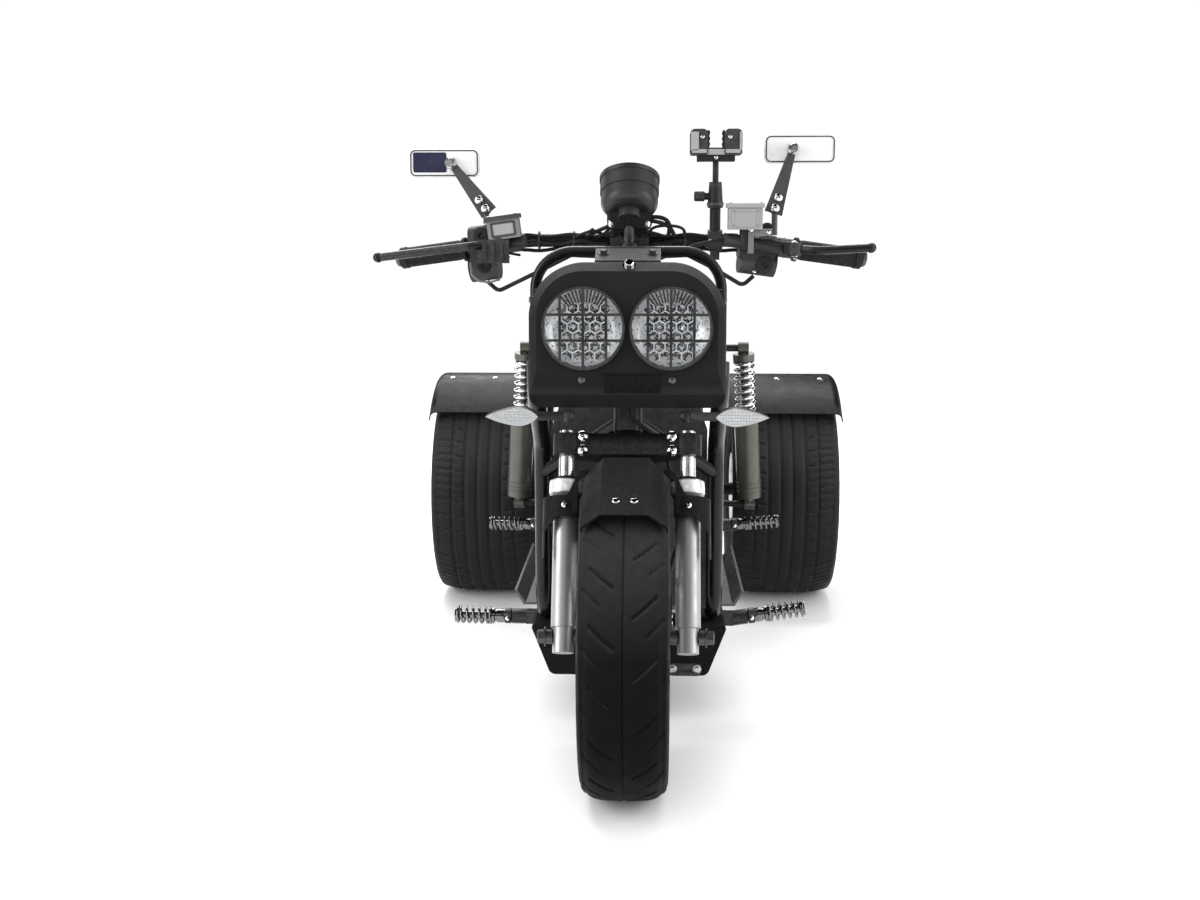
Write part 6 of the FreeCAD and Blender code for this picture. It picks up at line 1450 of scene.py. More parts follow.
@dataclass(frozen=True)
class Controls:
    """Grip ribs, bar ends, buttons, screws and reservoirs of both sides of the bar."""

    grip_start: float = 0.279
    grip_radius: float = 0.016
    ribs: int = 26
    rib_high: float = 0.0008
    key_deep: float = 0.0235
    # where each switch housing starts along the bar, and how wide it is, right side first
    housings: tuple[Pair, ...] = ((0.219, 0.048), (0.182, 0.06))
    # each key's place along and above the housing's middle, and its three sides
    keys: tuple = ((-0.014, -0.006, (0.014, 0.006, 0.01)), (0.012, -0.004, (0.01, 0.007, 0.014)),
                   (-0.002, -0.026, (0.018, 0.006, 0.008)))
    reservoirs: tuple[Reservoir, ...] = (
        Reservoir(-1, 0.181, 0.203, 0.057, 0.003, 0.04, 8.0, POT_LID, POT_INSET),
        Reservoir(1, 0.246, 0.188, 0.06, 0.018, 0.059, 0.0, POT_PLASTIC, POT_PLASTIC),
    )

    def grip(self, kit: Kit, side: int, word: str) -> None:
        """Builds the ribbed rubber of one grip and its weighted end.

        Args:
            kit: Takes the pieces.
            side: 1 on the left, -1 on the right.
            word: The side's name.
        """
        start, end = BAR.at(self.grip_start, side), BAR.at(BAR.end_x, side)
        way, long, r = (end - start).normalized(), (end - start).length, self.grip_radius
        profile, step = [(r * 0.985, 0.0)], long * 0.86 / self.ribs
        for k in range(self.ribs):
            at = long * 0.06 + step * k
            profile += [(r, at), (r + self.rib_high, at + step * 0.2), (r + self.rib_high, at + step * 0.55),
                        (r, at + step * 0.75)]
        profile += [(r + 0.001, long * 0.95), (r, long)]
        kit.begin(f"grip_rubber_{word}", RUBBER).lathe(profile, start, way, 40)
        kit.begin(f"bar_end_{word}", DARK_STEEL).lathe(
            [(0.0085, 0.0), (0.0125, 0.001), (0.0135, 0.004), (0.0135, 0.01), (0.012, 0.012)],
            end - way * 0.001, way)

    def switches(self, kit: Kit, side: int, word: str) -> None:
        """Builds the keys on the rider's side of one housing, and the screws on its front.

        Args:
            kit: Takes the pieces.
            side: 1 on the left, -1 on the right.
            word: The side's name.
        """
        start, width = self.housings[side > 0]
        way, middle = BAR.way(side), BAR.at(start + width / 2, side)
        keys = kit.begin(f"switch_keys_{word}", GREY_PLASTIC, bevel=0.0012)
        for along, rise, size in self.keys:
            keys.block(middle + way * along + BACKWARD * self.key_deep + UPWARD * rise, size)
        button = kit.begin(f"switch_button_{word}", RED_PLASTIC if side < 0 else AMBER_PLASTIC, bevel=0.0012)
        button.block(middle + way * 0.013 + BACKWARD * self.key_deep - UPWARD * 0.024, (0.01, 0.007, 0.009))
        screws = kit.begin(f"switch_screws_{word}", BRIGHT_STEEL)
        for along in (-0.016, 0.016):
            screws.dome(middle + way * along + Vector((0, -0.0205, 0.008)), FORWARD, 0.0032, 0.0018)

    def build(self) -> Pieces:
        """Builds everything on the bar's two sides.

        Returns:
            The pieces.
        """
        kit = Kit(Body.STEERING)
        for part in (self.grip, self.switches):
            for side, word in SIDES:
                part(kit, side, word)
        for (_, word), pot in zip(SIDES, self.reservoirs):
            pot.build(kit, word)
        return kit.pieces()


@dataclass(frozen=True)
class MirrorTrim:
    """Back, glass and frame of each mirror, and the hardware of its arm."""

    stem_x: float = 0.24
    knee_rise: float = 0.062
    back: float = 0.026
    # each mirror's distance from the centre plane and height above the bar, right side first
    heads: tuple[Pair, ...] = ((0.312, 0.128), (0.282, 0.15))

    def plate(self, draft: Draft, middle: Vector, sides: Triple, thick: float) -> None:
        """Adds a rounded plate, square to the trike's length."""
        draft.prism([middle + Vector((x, 0.0, z)) for x, z in rounded_outline(*sides)], BACKWARD * thick)

    def head(self, kit: Kit, head: Vector, word: str) -> None:
        """Builds the glass, the back and the rim of one mirror, with a panel on the right one's back.

        Args:
            kit: Takes the pieces.
            head: The mirror's middle.
            word: The side's name.
        """
        self.plate(kit.begin(f"mirror_glass_{word}", MIRROR_GLASS), head + BACKWARD * 0.0072,
                   (0.11, 0.039, 0.007), 0.0012)
        self.plate(kit.begin(f"mirror_shell_{word}", MIRROR_BACK, bevel=0.0022), head + FORWARD * 0.0076,
                   (0.1172, 0.0462, 0.0096), 0.014)
        line = [head + Vector((x, -0.0078, z)) for x, z in rounded_outline(0.112, 0.041, 0.0075)]
        kit.begin(f"mirror_rim_{word}", DARK_STEEL).sweep(line, 0.0011, 6, closed=True)
        if word == "right":
            self.plate(kit.begin(f"mirror_panel_{word}", SMOKED), head + Vector((-0.024, -0.0084, 0.001)),
                       (0.056, 0.033, 0.003), 0.001)

    def arm(self, kit: Kit, knee: Vector, joint: Vector, word: str) -> None:
        """Builds the bolts at the foot of one arm and the knuckle at its top.

        Args:
            kit: Takes the pieces.
            knee: The arm's foot.
            joint: The arm's top.
            word: The side's name.
        """
        along = (joint - knee).normalized()
        bolts = kit.begin(f"mirror_bolts_{word}", CHROME)
        for share, ahead in ((0.001, 0.0085), (0.019, 0.0042)):
            bolts.dome(knee + along * share + FORWARD * ahead, FORWARD, 0.0072, 0.004)
        knuckle = kit.begin(f"mirror_knuckle_{word}", BRIGHT_STEEL)
        knuckle.lathe([(0.007, -0.008), (0.0095, -0.005), (0.0105, 0.0), (0.0095, 0.005), (0.007, 0.008)],
                      joint + BACKWARD * 0.013, BACKWARD, 28)
        knuckle.rod(joint + FORWARD * 0.006, joint + BACKWARD * 0.018, 0.0042, 16)

    def build(self) -> Pieces:
        """Builds both mirrors' trim.

        Returns:
            The pieces.
        """
        kit, foot = Kit(Body.STEERING), BAR.at(self.stem_x)
        for (side, word), (head_x, head_rise) in zip(SIDES, self.heads):
            head = Vector((side * head_x, foot.y + self.back, BAR.height + head_rise))
            knee = Vector((side * foot.x, foot.y, foot.z + self.knee_rise))
            self.head(kit, head, word)
            self.arm(kit, knee, Vector((head.x - side * 0.012, knee.y, head.z)), word)
        return kit.pieces()


@dataclass(frozen=True)
class GaugeFace:
    """Dial, marks, needle and bezel of the instrument pod, facing the rider, and its cradle and bolts."""

    tilt: float = 28.0
    ahead: float = 0.034
    rise: float = 0.074
    drum: float = 0.03
    radius: float = 0.048
    dial_radius: float = 0.0425
    sweep: float = 135.0
    marks: int = 32
    marks_to_long: int = 4

    @property
    def way(self) -> Vector:
        """The way the dial faces."""
        return around(-self.tilt)

    def bearing(self, degrees: float) -> tuple[Vector, Matrix]:
        """The direction of a bearing on the dial, and the turn that lays a block along it.

        Args:
            degrees: The bearing from the dial's top.

        Returns:
            A unit vector and a rotation.
        """
        a = math.radians(degrees)
        radial = ACROSS * math.sin(a) + self.way.cross(ACROSS) * math.cos(a)
        return radial, Matrix((radial, self.way.cross(radial), self.way)).transposed()

    def dial(self, kit: Kit, face: Vector) -> None:
        """Builds the dial with its bezel, marks, needle and glass.

        Args:
            kit: Takes the pieces.
            face: The dial's middle.
        """
        way, r = self.way, self.radius
        kit.begin("gauge_bezel", DARK_STEEL).lathe(
            [(r - 0.0052, 0.0), (r - 0.0052, 0.0036), (r - 0.002, 0.005), (r + 0.0012, 0.0036),
             (r + 0.0012, -0.004)], face, way, 72, closed=True)
        kit.begin("gauge_dial", DIAL).lathe([(self.dial_radius, 0.0), (self.dial_radius, 0.0006)], face, way, 64)
        marks = kit.begin("gauge_marks", DIAL_MARK)
        for k in range(self.marks + 1):
            radial, turn = self.bearing(self.sweep * (2 * k / self.marks - 1))
            long, wide = (0.003, 0.001) if k % self.marks_to_long else (0.006, 0.0016)
            marks.block(face + way * 0.0009 + radial * (r - 0.009 - long / 2), (long, wide, 0.0004), turn)
        needle = kit.begin("gauge_needle", NEEDLE)
        radial, turn = self.bearing(-self.sweep)
        needle.block(face + way * 0.0022 + radial * 0.013, (0.034, 0.0014, 0.0006), turn)
        needle.lathe([(0.0045, 0.0), (0.0045, 0.002), (0.003, 0.0032)], face + way * 0.0006, way, 24)
        kit.begin("gauge_glass", CLEAR).lathe([(self.dial_radius, 0.0), (r * 0.5, 0.0009), (0.002, 0.0012)],
                                              face + way * 0.0034, way, 64)

    def build(self) -> Pieces:
        """Builds the dial, and the cradle and bolts under the pod.

        Returns:
            The pieces.
        """
        kit, base = Kit(Body.STEERING), Vector((0.0, BAR.y - self.ahead, BAR.height + self.rise))
        self.dial(kit, base + self.way * (self.drum - 0.003))
        bolts = kit.begin("gauge_bolts", CHROME)
        for side, _ in SIDES:
            bolts.dome(Vector((side * 0.029, base.y - 0.015, 0.87)), Vector((side * 0.3, -1, 0)), 0.0062, 0.0045)
        kit.begin("gauge_cradle", WING_PLASTIC).lathe(
            [(0.022, 0.0), (0.034, 0.003), (0.037, 0.01), (0.037, 0.03), (0.03, 0.034)],
            Vector((0.0, base.y + 0.006, 0.859)), UPWARD, 40)
        return kit.pieces()


# ---------------------------------------------------------------- fork and fender trim
@dataclass(frozen=True)
class ForkTrim:
    """Pinch bolts, dust seals, collars, axle nuts and fender screws."""

    spread: float = 0.095
    offset: float = 0.03
    pinch_x: float = 0.07
    pinch_heights: Pair = (0.2905, 0.3125)
    leg_top: float = 0.243
    guard_height: float = 0.199
    nut_x: float = 0.1217
    fender_radius: float = 0.2742
    fender_screws_x: Pair = (-0.012, 0.014)

    def build(self) -> Pieces:
        """Builds the bright hardware of the fork.

        Returns:
            The pieces.
        """
        kit = Kit(Body.STEERING)
        pinch, nuts = kit.begin("fork_bolts", CHROME), kit.begin("front_axle_nuts", DARK_STEEL)
        seals, collars = kit.begin("fork_dust_seals", RUBBER), kit.begin("fork_collars", COLLAR_ALLOY)
        screws = kit.begin("fender_screws", CHROME)
        for side, _ in SIDES:
            for height in self.pinch_heights:
                at = FORK.at(side * self.pinch_x, self.offset + 0.0155, height)
                pinch.dome(at, FORK.forward, 0.0096, 0.0085)
            top = FORK.at(side * self.spread, self.offset, self.leg_top)
            seals.lathe([(0.0185, 0.0), (0.0185, 0.002), (0.015, 0.006), (0.0132, 0.0075), (0.0127, 0.0075)],
                        top, FORK.up, 40)
            collars.lathe([(0.0262, -0.02), (0.0266, -0.019), (0.0266, -0.004), (0.0258, -0.0005),
                           (0.019, 0.0004)], top, FORK.up, 48)
            guard = FORK.at(side * self.spread, self.offset + 0.036, self.guard_height)
            screws.dome(guard, FORK.forward, 0.0055, 0.003)
            nuts.bolt(FRONT_AXLE + ACROSS * side * self.nut_x, ACROSS * side, 0.019, 0.011)
        out = around(30.0)
        for x in self.fender_screws_x:
            screws.dome(FRONT_AXLE + ACROSS * x + out * self.fender_radius, out, 0.0062, 0.0028)
        return kit.pieces()


@dataclass(frozen=True)
class RearFenderTrim:
    """Screws of the rear fenders."""

    crown_radius: float = 0.277
    # each screw's distance from the centre plane, and its angle ahead of the fender's top
    screws: tuple[Pair, ...] = ((0.43, 12.0), (0.33, 12.0), (0.43, -38.0), (0.25, -38.0), (0.25, 20.0))

    def build(self) -> Pieces:
        """Builds the screws on each crown.

        Returns:
            The pieces.
        """
        kit = Kit(Body.CHASSIS)
        draft = kit.begin("rear_fender_screws", BRIGHT_STEEL)
        for side, _ in SIDES:
            for x, ahead in self.screws:
                out = around(ahead)
                draft.dome(REAR_AXLE + ACROSS * side * x + out * self.crown_radius, out, 0.0075, 0.0035)
        return kit.pieces()


@dataclass(frozen=True)
class CaliperTrim:
    """Pad pins, mounting bolts and the hose bolt of the front brake caliper."""

    # shares of the caliper's length and height
    bolts_at: tuple[Pair, ...] = ((0.3, 0.3), (0.7, 0.72))
    pins_at: tuple[Pair, ...] = ((0.5, 0.42), (0.5, 0.58))

    def build(self) -> Pieces:
        """Builds the caliper's hardware.

        Returns:
            The pieces.
        """
        kit, box = Kit(Body.STEERING), NodeBox.of("caliper")
        bolts, pins = kit.begin("caliper_bolts", BRIGHT_STEEL), kit.begin("caliper_pins", CHROME)

        def face(y: float, z: float) -> Vector:
            """A point of the outer face at shares of its length and height."""
            return Vector((box.high.x - 0.0005, box.low.y + box.size.y * y, box.low.z + box.size.z * z))
        for y, z in self.bolts_at:
            bolts.bolt(face(y, z), ACROSS, 0.011, 0.005)
        for y, z in self.pins_at:
            pins.dome(face(y, z), ACROSS, 0.0035, 0.002)
        bolts.bolt(Vector((box.centre.x, box.centre.y, box.high.z - 0.001)), UPWARD, 0.01, 0.006)
        return kit.pieces()


@dataclass(frozen=True)
class BarCables:
    """Cables taped along the bar and looped round the foot of the instrument pod."""

    start_x: float = 0.178
    long: float = 0.14
    steps: int = 14
    loop_steps: int = 16
    ties: Pair = (0.15, 0.092)
    # each cable's place ahead of and above the bar, its radius, and where its sway starts
    runs: tuple = ((0.0145, -0.004, 0.003, 0.0), (0.013, 0.008, 0.0026, 1.4), (0.002, -0.015, 0.003, 2.6))
    # each loop's two ends across the bar, its rise and its radius
    loops: tuple = (
        (-0.07, 0.03, 0.022, 0.0034), (0.074, -0.026, 0.026, 0.0034), (-0.052, 0.058, 0.014, 0.0028),
        (0.064, 0.02, 0.032, 0.0036), (-0.046, -0.012, 0.024, 0.0026), (-0.03, 0.044, 0.02, 0.003),
        (0.09, 0.034, 0.018, 0.0026), (-0.088, -0.034, 0.012, 0.0026),
    )

    def on_bar(self, x: float, ahead: float, rise: float) -> Vector:
        """A point beside the bar at a signed distance from the centre plane.

        Args:
            x: The distance, positive to the rider's left.
            ahead: Distance ahead of the bar.
            rise: Height above the bar.

        Returns:
            The point.
        """
        side = 1 if x >= 0 else -1
        base = BAR.at(abs(x), side) if abs(x) > BAR.knee_x else Vector((x, BAR.y, BAR.height))
        return base + Vector((0.0, -ahead, rise))

    def taped(self, draft: Draft, side: int) -> None:
        """Runs three cables of one side from the switch housing to the clamp."""
        for ahead, rise, radius, phase in self.runs:
            points = []
            for k in range(self.steps + 1):
                x, sway = self.start_x - self.long * k / self.steps, math.sin(k * 0.8 + phase)
                points.append(self.on_bar(side * x, ahead + 0.0012 * sway, rise + 0.0022 * sway))
            draft.sweep(points, radius)

    def looped(self, draft: Draft) -> None:
        """Runs slack cable loops round the pod's stem."""
        for start, end, rise, radius in self.loops:
            points = []
            for k in range(self.loop_steps + 1):
                share = k / self.loop_steps
                swell = math.sin(math.pi * share)
                x = start + (end - start) * share + 0.01 * math.sin(math.tau * share)
                points.append(self.on_bar(x, 0.02 + 0.008 * swell, 0.006 + rise * swell ** 0.8))
            draft.sweep(points, radius)

    def build(self) -> Pieces:
        """Builds the loops, the taped cables and their ties.

        Returns:
            The pieces.
        """
        kit = Kit(Body.STEERING)
        self.looped(kit.begin("pod_loops", RUBBER, smooth=60))
        for side, word in SIDES:
            self.taped(kit.begin(f"bar_cables_{word}", RUBBER, smooth=60), side)
            ties = kit.begin(f"bar_ties_{word}", SATIN_PLASTIC)
            for x in self.ties:
                ties.lathe([(0.0142, -0.0015), (0.0152, -0.0015), (0.0152, 0.0015), (0.0142, 0.0015)],
                           self.on_bar(side * x, 0.0035, 0.0), ACROSS, 28, closed=True)
        return kit.pieces()


@dataclass(frozen=True)
class HousingFronts:
    """Connector box, wire loop, brackets, bosses and perch screws on the fronts of the switch housings."""

    # points of the wire loop, and where the connector's ribs stand across the bar
    wire: tuple[Triple, ...] = ((-0.264, 0.016, 0.806), (-0.261, 0.022, 0.786), (-0.249, 0.024, 0.776),
                                (-0.232, 0.024, 0.774), (-0.214, 0.022, 0.779))
    ribs: Triple = (-0.236, -0.222, -0.208)
    # each boss: its side, distance from the centre plane, height and radius
    bosses: tuple = ((-1, 0.246, 0.85, 0.015), (-1, 0.242, 0.802, 0.013), (1, 0.222, 0.802, 0.015),
                     (1, 0.226, 0.86, 0.012))
    # where each lever perch starts along the bar, and its width, right side first
    perches: tuple[Pair, ...] = ((0.181, 0.033), (0.246, 0.024))
    pivot_ahead: float = 0.052
    pivot_rise: float = 0.0108

    def at(self, x: float, ahead: float, z: float) -> Vector:
        """A point at a distance ahead of the bar."""
        return Vector((x, BAR.y - ahead, z))

    def perch(self, draft: Draft, side: int, start: float, width: float) -> None:
        """Adds the screws of one lever perch.

        Args:
            draft: The draft that takes them.
            side: 1 on the left, -1 on the right.
            start: Where the perch starts along the bar.
            width: The perch's width.
        """
        pivot = BAR.at(start, side) + BAR.way(side) * width + FORWARD * self.pivot_ahead
        draft.dome(pivot + UPWARD * self.pivot_rise, UPWARD, 0.0058, 0.003)
        draft.bolt(pivot - UPWARD * self.pivot_rise, -UPWARD, 0.0085, 0.0045)
        clamp = BAR.at(start, side) + BAR.way(side) * (width / 2)
        for rise in (-0.0135, 0.0135):
            draft.dome(clamp + Vector((0.0, 0.0105, rise)), BACKWARD, 0.0034, 0.0024)

    def build(self) -> Pieces:
        """Builds the details of both sides.

        Returns:
            The pieces.
        """
        kit = Kit(Body.STEERING)
        dark = kit.begin("housing_bosses", MATTE_PLASTIC, bevel=0.0004)
        pale = kit.begin("housing_brackets", GREY_PLASTIC, bevel=0.0005)
        bright = kit.begin("housing_screws", CHROME)
        dark.block(self.at(-0.222, 0.05, 0.825), (0.052, 0.012, 0.038))
        for x in self.ribs:
            dark.block(self.at(x, 0.057, 0.825), (0.006, 0.003, 0.03))
        bright.rod(self.at(-0.196, 0.048, 0.82), self.at(-0.178, 0.046, 0.817), 0.0042, 16)
        pale.sweep([self.at(*point) for point in self.wire], 0.0018)
        for side, x, z, radius in self.bosses:
            y = BAR.at(x).y
            dark.lathe([(radius, 0.0), (radius, 0.0035), (radius * 0.8, 0.005), (radius * 0.35, 0.005),
                        (radius * 0.3, 0.003), (0.0006, 0.003)], Vector((side * x, y - 0.0205, z)), FORWARD, 28)
            bright.dome(Vector((side * (x - 0.016), y - 0.0208, z - 0.01)), FORWARD, 0.003, 0.0018)
        pale.block(self.at(0.1975, 0.043, 0.844), (0.009, 0.01, 0.044))
        pale.block(self.at(0.215, 0.044, 0.856), (0.034, 0.01, 0.012))
        bright.dome(self.at(0.1975, 0.048, 0.86), FORWARD, 0.004, 0.0026)
        bright.dome(self.at(0.226, 0.049, 0.856), FORWARD, 0.0036, 0.0024)
        for (side, _), (start, width) in zip(SIDES, self.perches):
            self.perch(bright, side, start, width)
        return kit.pieces()


@dataclass(frozen=True)
class HolderTrim:
    """Plates, pads, screws, knob and collar of the phone holder."""

    x: float = 0.141
    span: float = 0.085
    jaw: float = 0.029
    jaw_low: float = 0.138
    jaw_high: float = 0.18
    pad_ribs: int = 4

    def build(self) -> Pieces:
        """Builds the holder's trim.

        Returns:
            The pieces.
        """
        kit = Kit(Body.STEERING)
        plates = kit.begin("holder_plates", POT_PLASTIC, bevel=0.0004)
        pads, screws = kit.begin("holder_pads", RUBBER), kit.begin("holder_screws", BRIGHT_STEEL)
        front, tall = NodeBox.of("phone_holder").low.y, self.jaw_high - self.jaw_low
        middle = BAR.height + (self.jaw_low + self.jaw_high) / 2
        for side, _ in SIDES:
            outer = self.x + side * self.span / 2
            inner, wide = outer - side * (self.jaw + 0.001), 0.013 if side < 0 else 0.0035
            plates.block(Vector((outer - side * (0.001 + wide / 2), front - 0.0006, middle + 0.001)),
                         (wide, 0.0016, tall - 0.012))
            plates.block(Vector((outer - side * 0.015, front - 0.0006, middle - 0.015)), (0.024, 0.0016, 0.006))
            pads.block(Vector((inner, BAR.y, middle + 0.002)), (0.003, 0.028, tall - 0.008))
            for k in range(self.pad_ribs):
                pads.block(Vector((inner - side * 0.0015, BAR.y, middle - 0.012 + 0.009 * k)),
                           (0.0022, 0.026, 0.003))
            screws.dome(Vector((outer - side * 0.02, front, middle + 0.008)), FORWARD, 0.0036, 0.002)
            screws.dome(Vector((self.x + side * 0.008, BAR.y - 0.0178, BAR.height)), FORWARD, 0.0034, 0.002)
        plates.block(Vector((self.x, front + 0.0035, BAR.height + 0.143)), (0.03, 0.003, 0.009))
        screws.dome(Vector((self.x, front + 0.0025, BAR.height + 0.134)), FORWARD, 0.0036, 0.0025)
        kit.begin("holder_knob", SATIN_PLASTIC, smooth=20).lathe(
            [(0.0062, -0.018), (0.0085, -0.016), (0.0085, -0.002), (0.007, 0.0)],
            Vector((self.x - 0.035, BAR.y, BAR.height + 0.072)), -ACROSS, 12)
        kit.begin("holder_collar", DARK_STEEL).lathe(
            [(0.0133, 0.0), (0.0141, 0.001), (0.0141, 0.005), (0.0133, 0.006)],
            Vector((self.x, BAR.y, BAR.height + 0.056)), UPWARD)
        return kit.pieces()


# ---------------------------------------------------------------- chassis trim
@dataclass(frozen=True)
class BellyBracket:
    """The small stand bracket bolted to the front of the belly box."""

    x: float = 0.098
    z: float = 0.103

    def build(self) -> Pieces:
        """Builds the bracket and its two bolts.

        Returns:
            The pieces.
        """
        kit, face = Kit(Body.CHASSIS), NodeBox.of("belly_box").low.y
        bracket = kit.begin("belly_bracket", BLACK_PAINT, bevel=0.001)
        bracket.block(Vector((self.x, face - 0.005, self.z)), (0.056, 0.011, 0.018))
        bracket.block(Vector((self.x, face - 0.012, self.z - 0.006)), (0.046, 0.008, 0.006))
        bolts = kit.begin("belly_bracket_bolts", BRIGHT_STEEL)
        for side, _ in SIDES:
            bolts.bolt(Vector((self.x + side * 0.021, face - 0.0103, self.z + 0.002)), FORWARD, 0.0095, 0.005)
        return kit.pieces()


@dataclass(frozen=True)
class PowerTrim:
    """Bolts, ribs and cap of the drive case, spark plug, silencer shield and bands."""

    # each end of the drive case: how far back it is, its height and its radius
    front: Triple = (0.1625, 0.3075, 0.084)
    rear: Triple = (0.4525, 0.29, 0.066)
    front_angles: tuple[int, ...] = (75, 115, 155, 195, 235, 275)
    rear_angles: tuple[int, ...] = (-75, -35, 5, 45, 80)
    rib_lifts: tuple[float, ...] = (-0.03, -0.01, 0.01, 0.03)
    plug_x: float = 0.018
    plug_z: float = 0.322
    head_z: float = 0.318
    silencer: Pair = (-0.112, 0.372)
    silencer_r: float = 0.044
    shield_y: float = 0.6
    shield_long: float = 0.215
    shield_degrees: range = range(110, 247, 8)
    bands_y: Pair = (0.57, 0.845)
    screws_y: Pair = (0.615, 0.8)

    def case(self, kit: Kit) -> None:
        """Builds bolts round the drive case's rim, ribs on its cover and the two round caps.

        Args:
            kit: Takes the pieces.
        """
        face = NodeBox.of("drive_case").high.x
        bolts = kit.begin("case_bolts", BRIGHT_STEEL)
        cover = kit.begin("case_cover", CAST_ALLOY, bevel=0.0004)
        for (y, z, radius), angles in ((self.front, self.front_angles), (self.rear, self.rear_angles)):
            reach = radius - 0.004
            for a in map(math.radians, angles):
                at = Vector((face - 0.0052, y + reach * math.cos(a), z + reach * math.sin(a)))
                bolts.bolt(at, ACROSS, 0.007, 0.004, washer=False)
            cover.lathe([(radius * 0.62, 0.0), (radius * 0.6, 0.003), (radius * 0.44, 0.003),
                         (radius * 0.42, 0.0018), (radius * 0.18, 0.0018), (radius * 0.16, 0.0045),
                         (0.0006, 0.0045)], Vector((face - 0.001, y, z)), ACROSS, 48)
        for lift in self.rib_lifts:
            start = Vector((face, self.front[0] + 0.066, self.front[1] + lift))
            end = Vector((face, self.rear[0] - 0.05, self.rear[1] + lift * 0.8))
            cover.sweep([start, start.lerp(end, 0.5), end], 0.0022)

    def plug(self, kit: Kit) -> None:
        """Builds the spark plug with its cap, and the bolts of the cylinder head.

        Args:
            kit: Takes the pieces.
        """
        front = NodeBox.of("engine").low.y
        head = Vector((self.plug_x, front + 0.001, self.plug_z))
        kit.begin("spark_plug", BRIGHT_STEEL, smooth=20).lathe(
            [(0.0095, 0.0), (0.0105, 0.001), (0.0105, 0.008), (0.007, 0.009), (0.0065, 0.016)], head, FORWARD, 6)
        kit.begin("spark_plug_cap", RUBBER).lathe(
            [(0.0085, 0.0), (0.0105, 0.002), (0.0105, 0.016), (0.0075, 0.019)], head + FORWARD * 0.014, FORWARD, 28)
        bolts = kit.begin("head_bolts", DARK_STEEL)
        for x in (-0.038, 0.038):
            for rise in (-0.034, 0.034):
                bolts.bolt(Vector((x, front + 0.0005, self.head_z + rise)), FORWARD, 0.009, 0.006)

    def shield(self, kit: Kit) -> None:
        """Builds the curved heat shield, its screws and the bands round the silencer.

        Args:
            kit: Takes the pieces.
        """
        (x, z), r = self.silencer, self.silencer_r

        def out(degrees: float) -> Vector:
            """The way out of the silencer at an angle."""
            return Vector((math.cos(math.radians(degrees)), 0.0, math.sin(math.radians(degrees))))
        axis = Vector((x, self.shield_y, z))
        outline = [axis + out(a) * (r + 0.0055) for a in self.shield_degrees]
        outline += [axis + out(a) * (r + 0.004) for a in reversed(self.shield_degrees)]
        kit.begin("heat_shield", CHROME, smooth=40).prism(outline, BACKWARD * self.shield_long)
        bands = kit.begin("silencer_bands", BRIGHT_STEEL)
        for y in self.bands_y:
            bands.lathe([(r - 0.0005, -0.007), (r + 0.0015, -0.007), (r + 0.0015, 0.007), (r - 0.0005, 0.007)],
                        Vector((x, y, z)), BACKWARD, 56, closed=True)
        screws = kit.begin("heat_shield_screws", DARK_STEEL)
        for y in self.screws_y:
            for way in (out(130), out(220)):
                screws.dome(Vector((x, y, z)) + way * (r + 0.0052), way, 0.0042, 0.0022)

    def build(self) -> Pieces:
        """Builds the trim of the engine, the drive case and the silencer.

        Returns:
            The pieces.
        """
        kit = Kit(Body.CHASSIS)
        for part in (self.case, self.plug, self.shield):
            part(kit)
        return kit.pieces()


@dataclass(frozen=True)
class TailTrim:
    """Tail-lamp ribs, plate border, plate bolts and the leg panel's rivets."""

    ribs: int = 9
    plate_wide: float = 0.19
    plate_high: float = 0.11
    plate_top: float = 0.545
    plate_bolts: Pair = (0.073, 0.035)
    # each pair of rivets: its distance from the centre plane, and its share of the panel's height
    rivets: tuple[Pair, ...] = ((0.1, 0.1), (0.112, 0.5), (0.112, 0.9))

    def build(self) -> Pieces:
        """Builds the trim of the rear end and of the leg panel.

        Returns:
            The pieces.
        """
        kit = Kit(Body.CHASSIS)
        lamp, panel = NodeBox.of("tail_lamp"), NodeBox.of("leg_panel")
        ribs = kit.begin("tail_lamp_ribs", RED)
        for k in range(self.ribs):
            z = lamp.low.z + lamp.size.z * (0.14 + 0.72 * k / (self.ribs - 1))
            ribs.block(Vector((0.0, lamp.high.y + 0.0004, z)), (lamp.size.x - 0.016, 0.002, 0.0022))
        middle = Vector((0.0, NodeBox.of("plate_bracket").high.y, self.plate_top - self.plate_high / 2))
        corners = rounded_outline(self.plate_wide - 0.01, self.plate_high - 0.01, 0.006)
        line = [middle + Vector((x, 0.0002, z)) for x, z in corners]
        kit.begin("plate_border", SATIN_PLASTIC).sweep(line, 0.0011, 6, closed=True)
        bolts, rivets = kit.begin("plate_bolts", BRIGHT_STEEL), kit.begin("panel_rivets", BRIGHT_STEEL)
        for side, _ in SIDES:
            for up in (-1, 1):
                corner = Vector((side * self.plate_bolts[0], -0.0004, up * self.plate_bolts[1]))
                bolts.dome(middle + corner, BACKWARD, 0.0062, 0.003)
            for x, share in self.rivets:
                at = Vector((side * x, panel.high.y - 0.0002, panel.low.z + panel.size.z * share))
                rivets.dome(at, BACKWARD, 0.0048, 0.002)
        return kit.pieces()


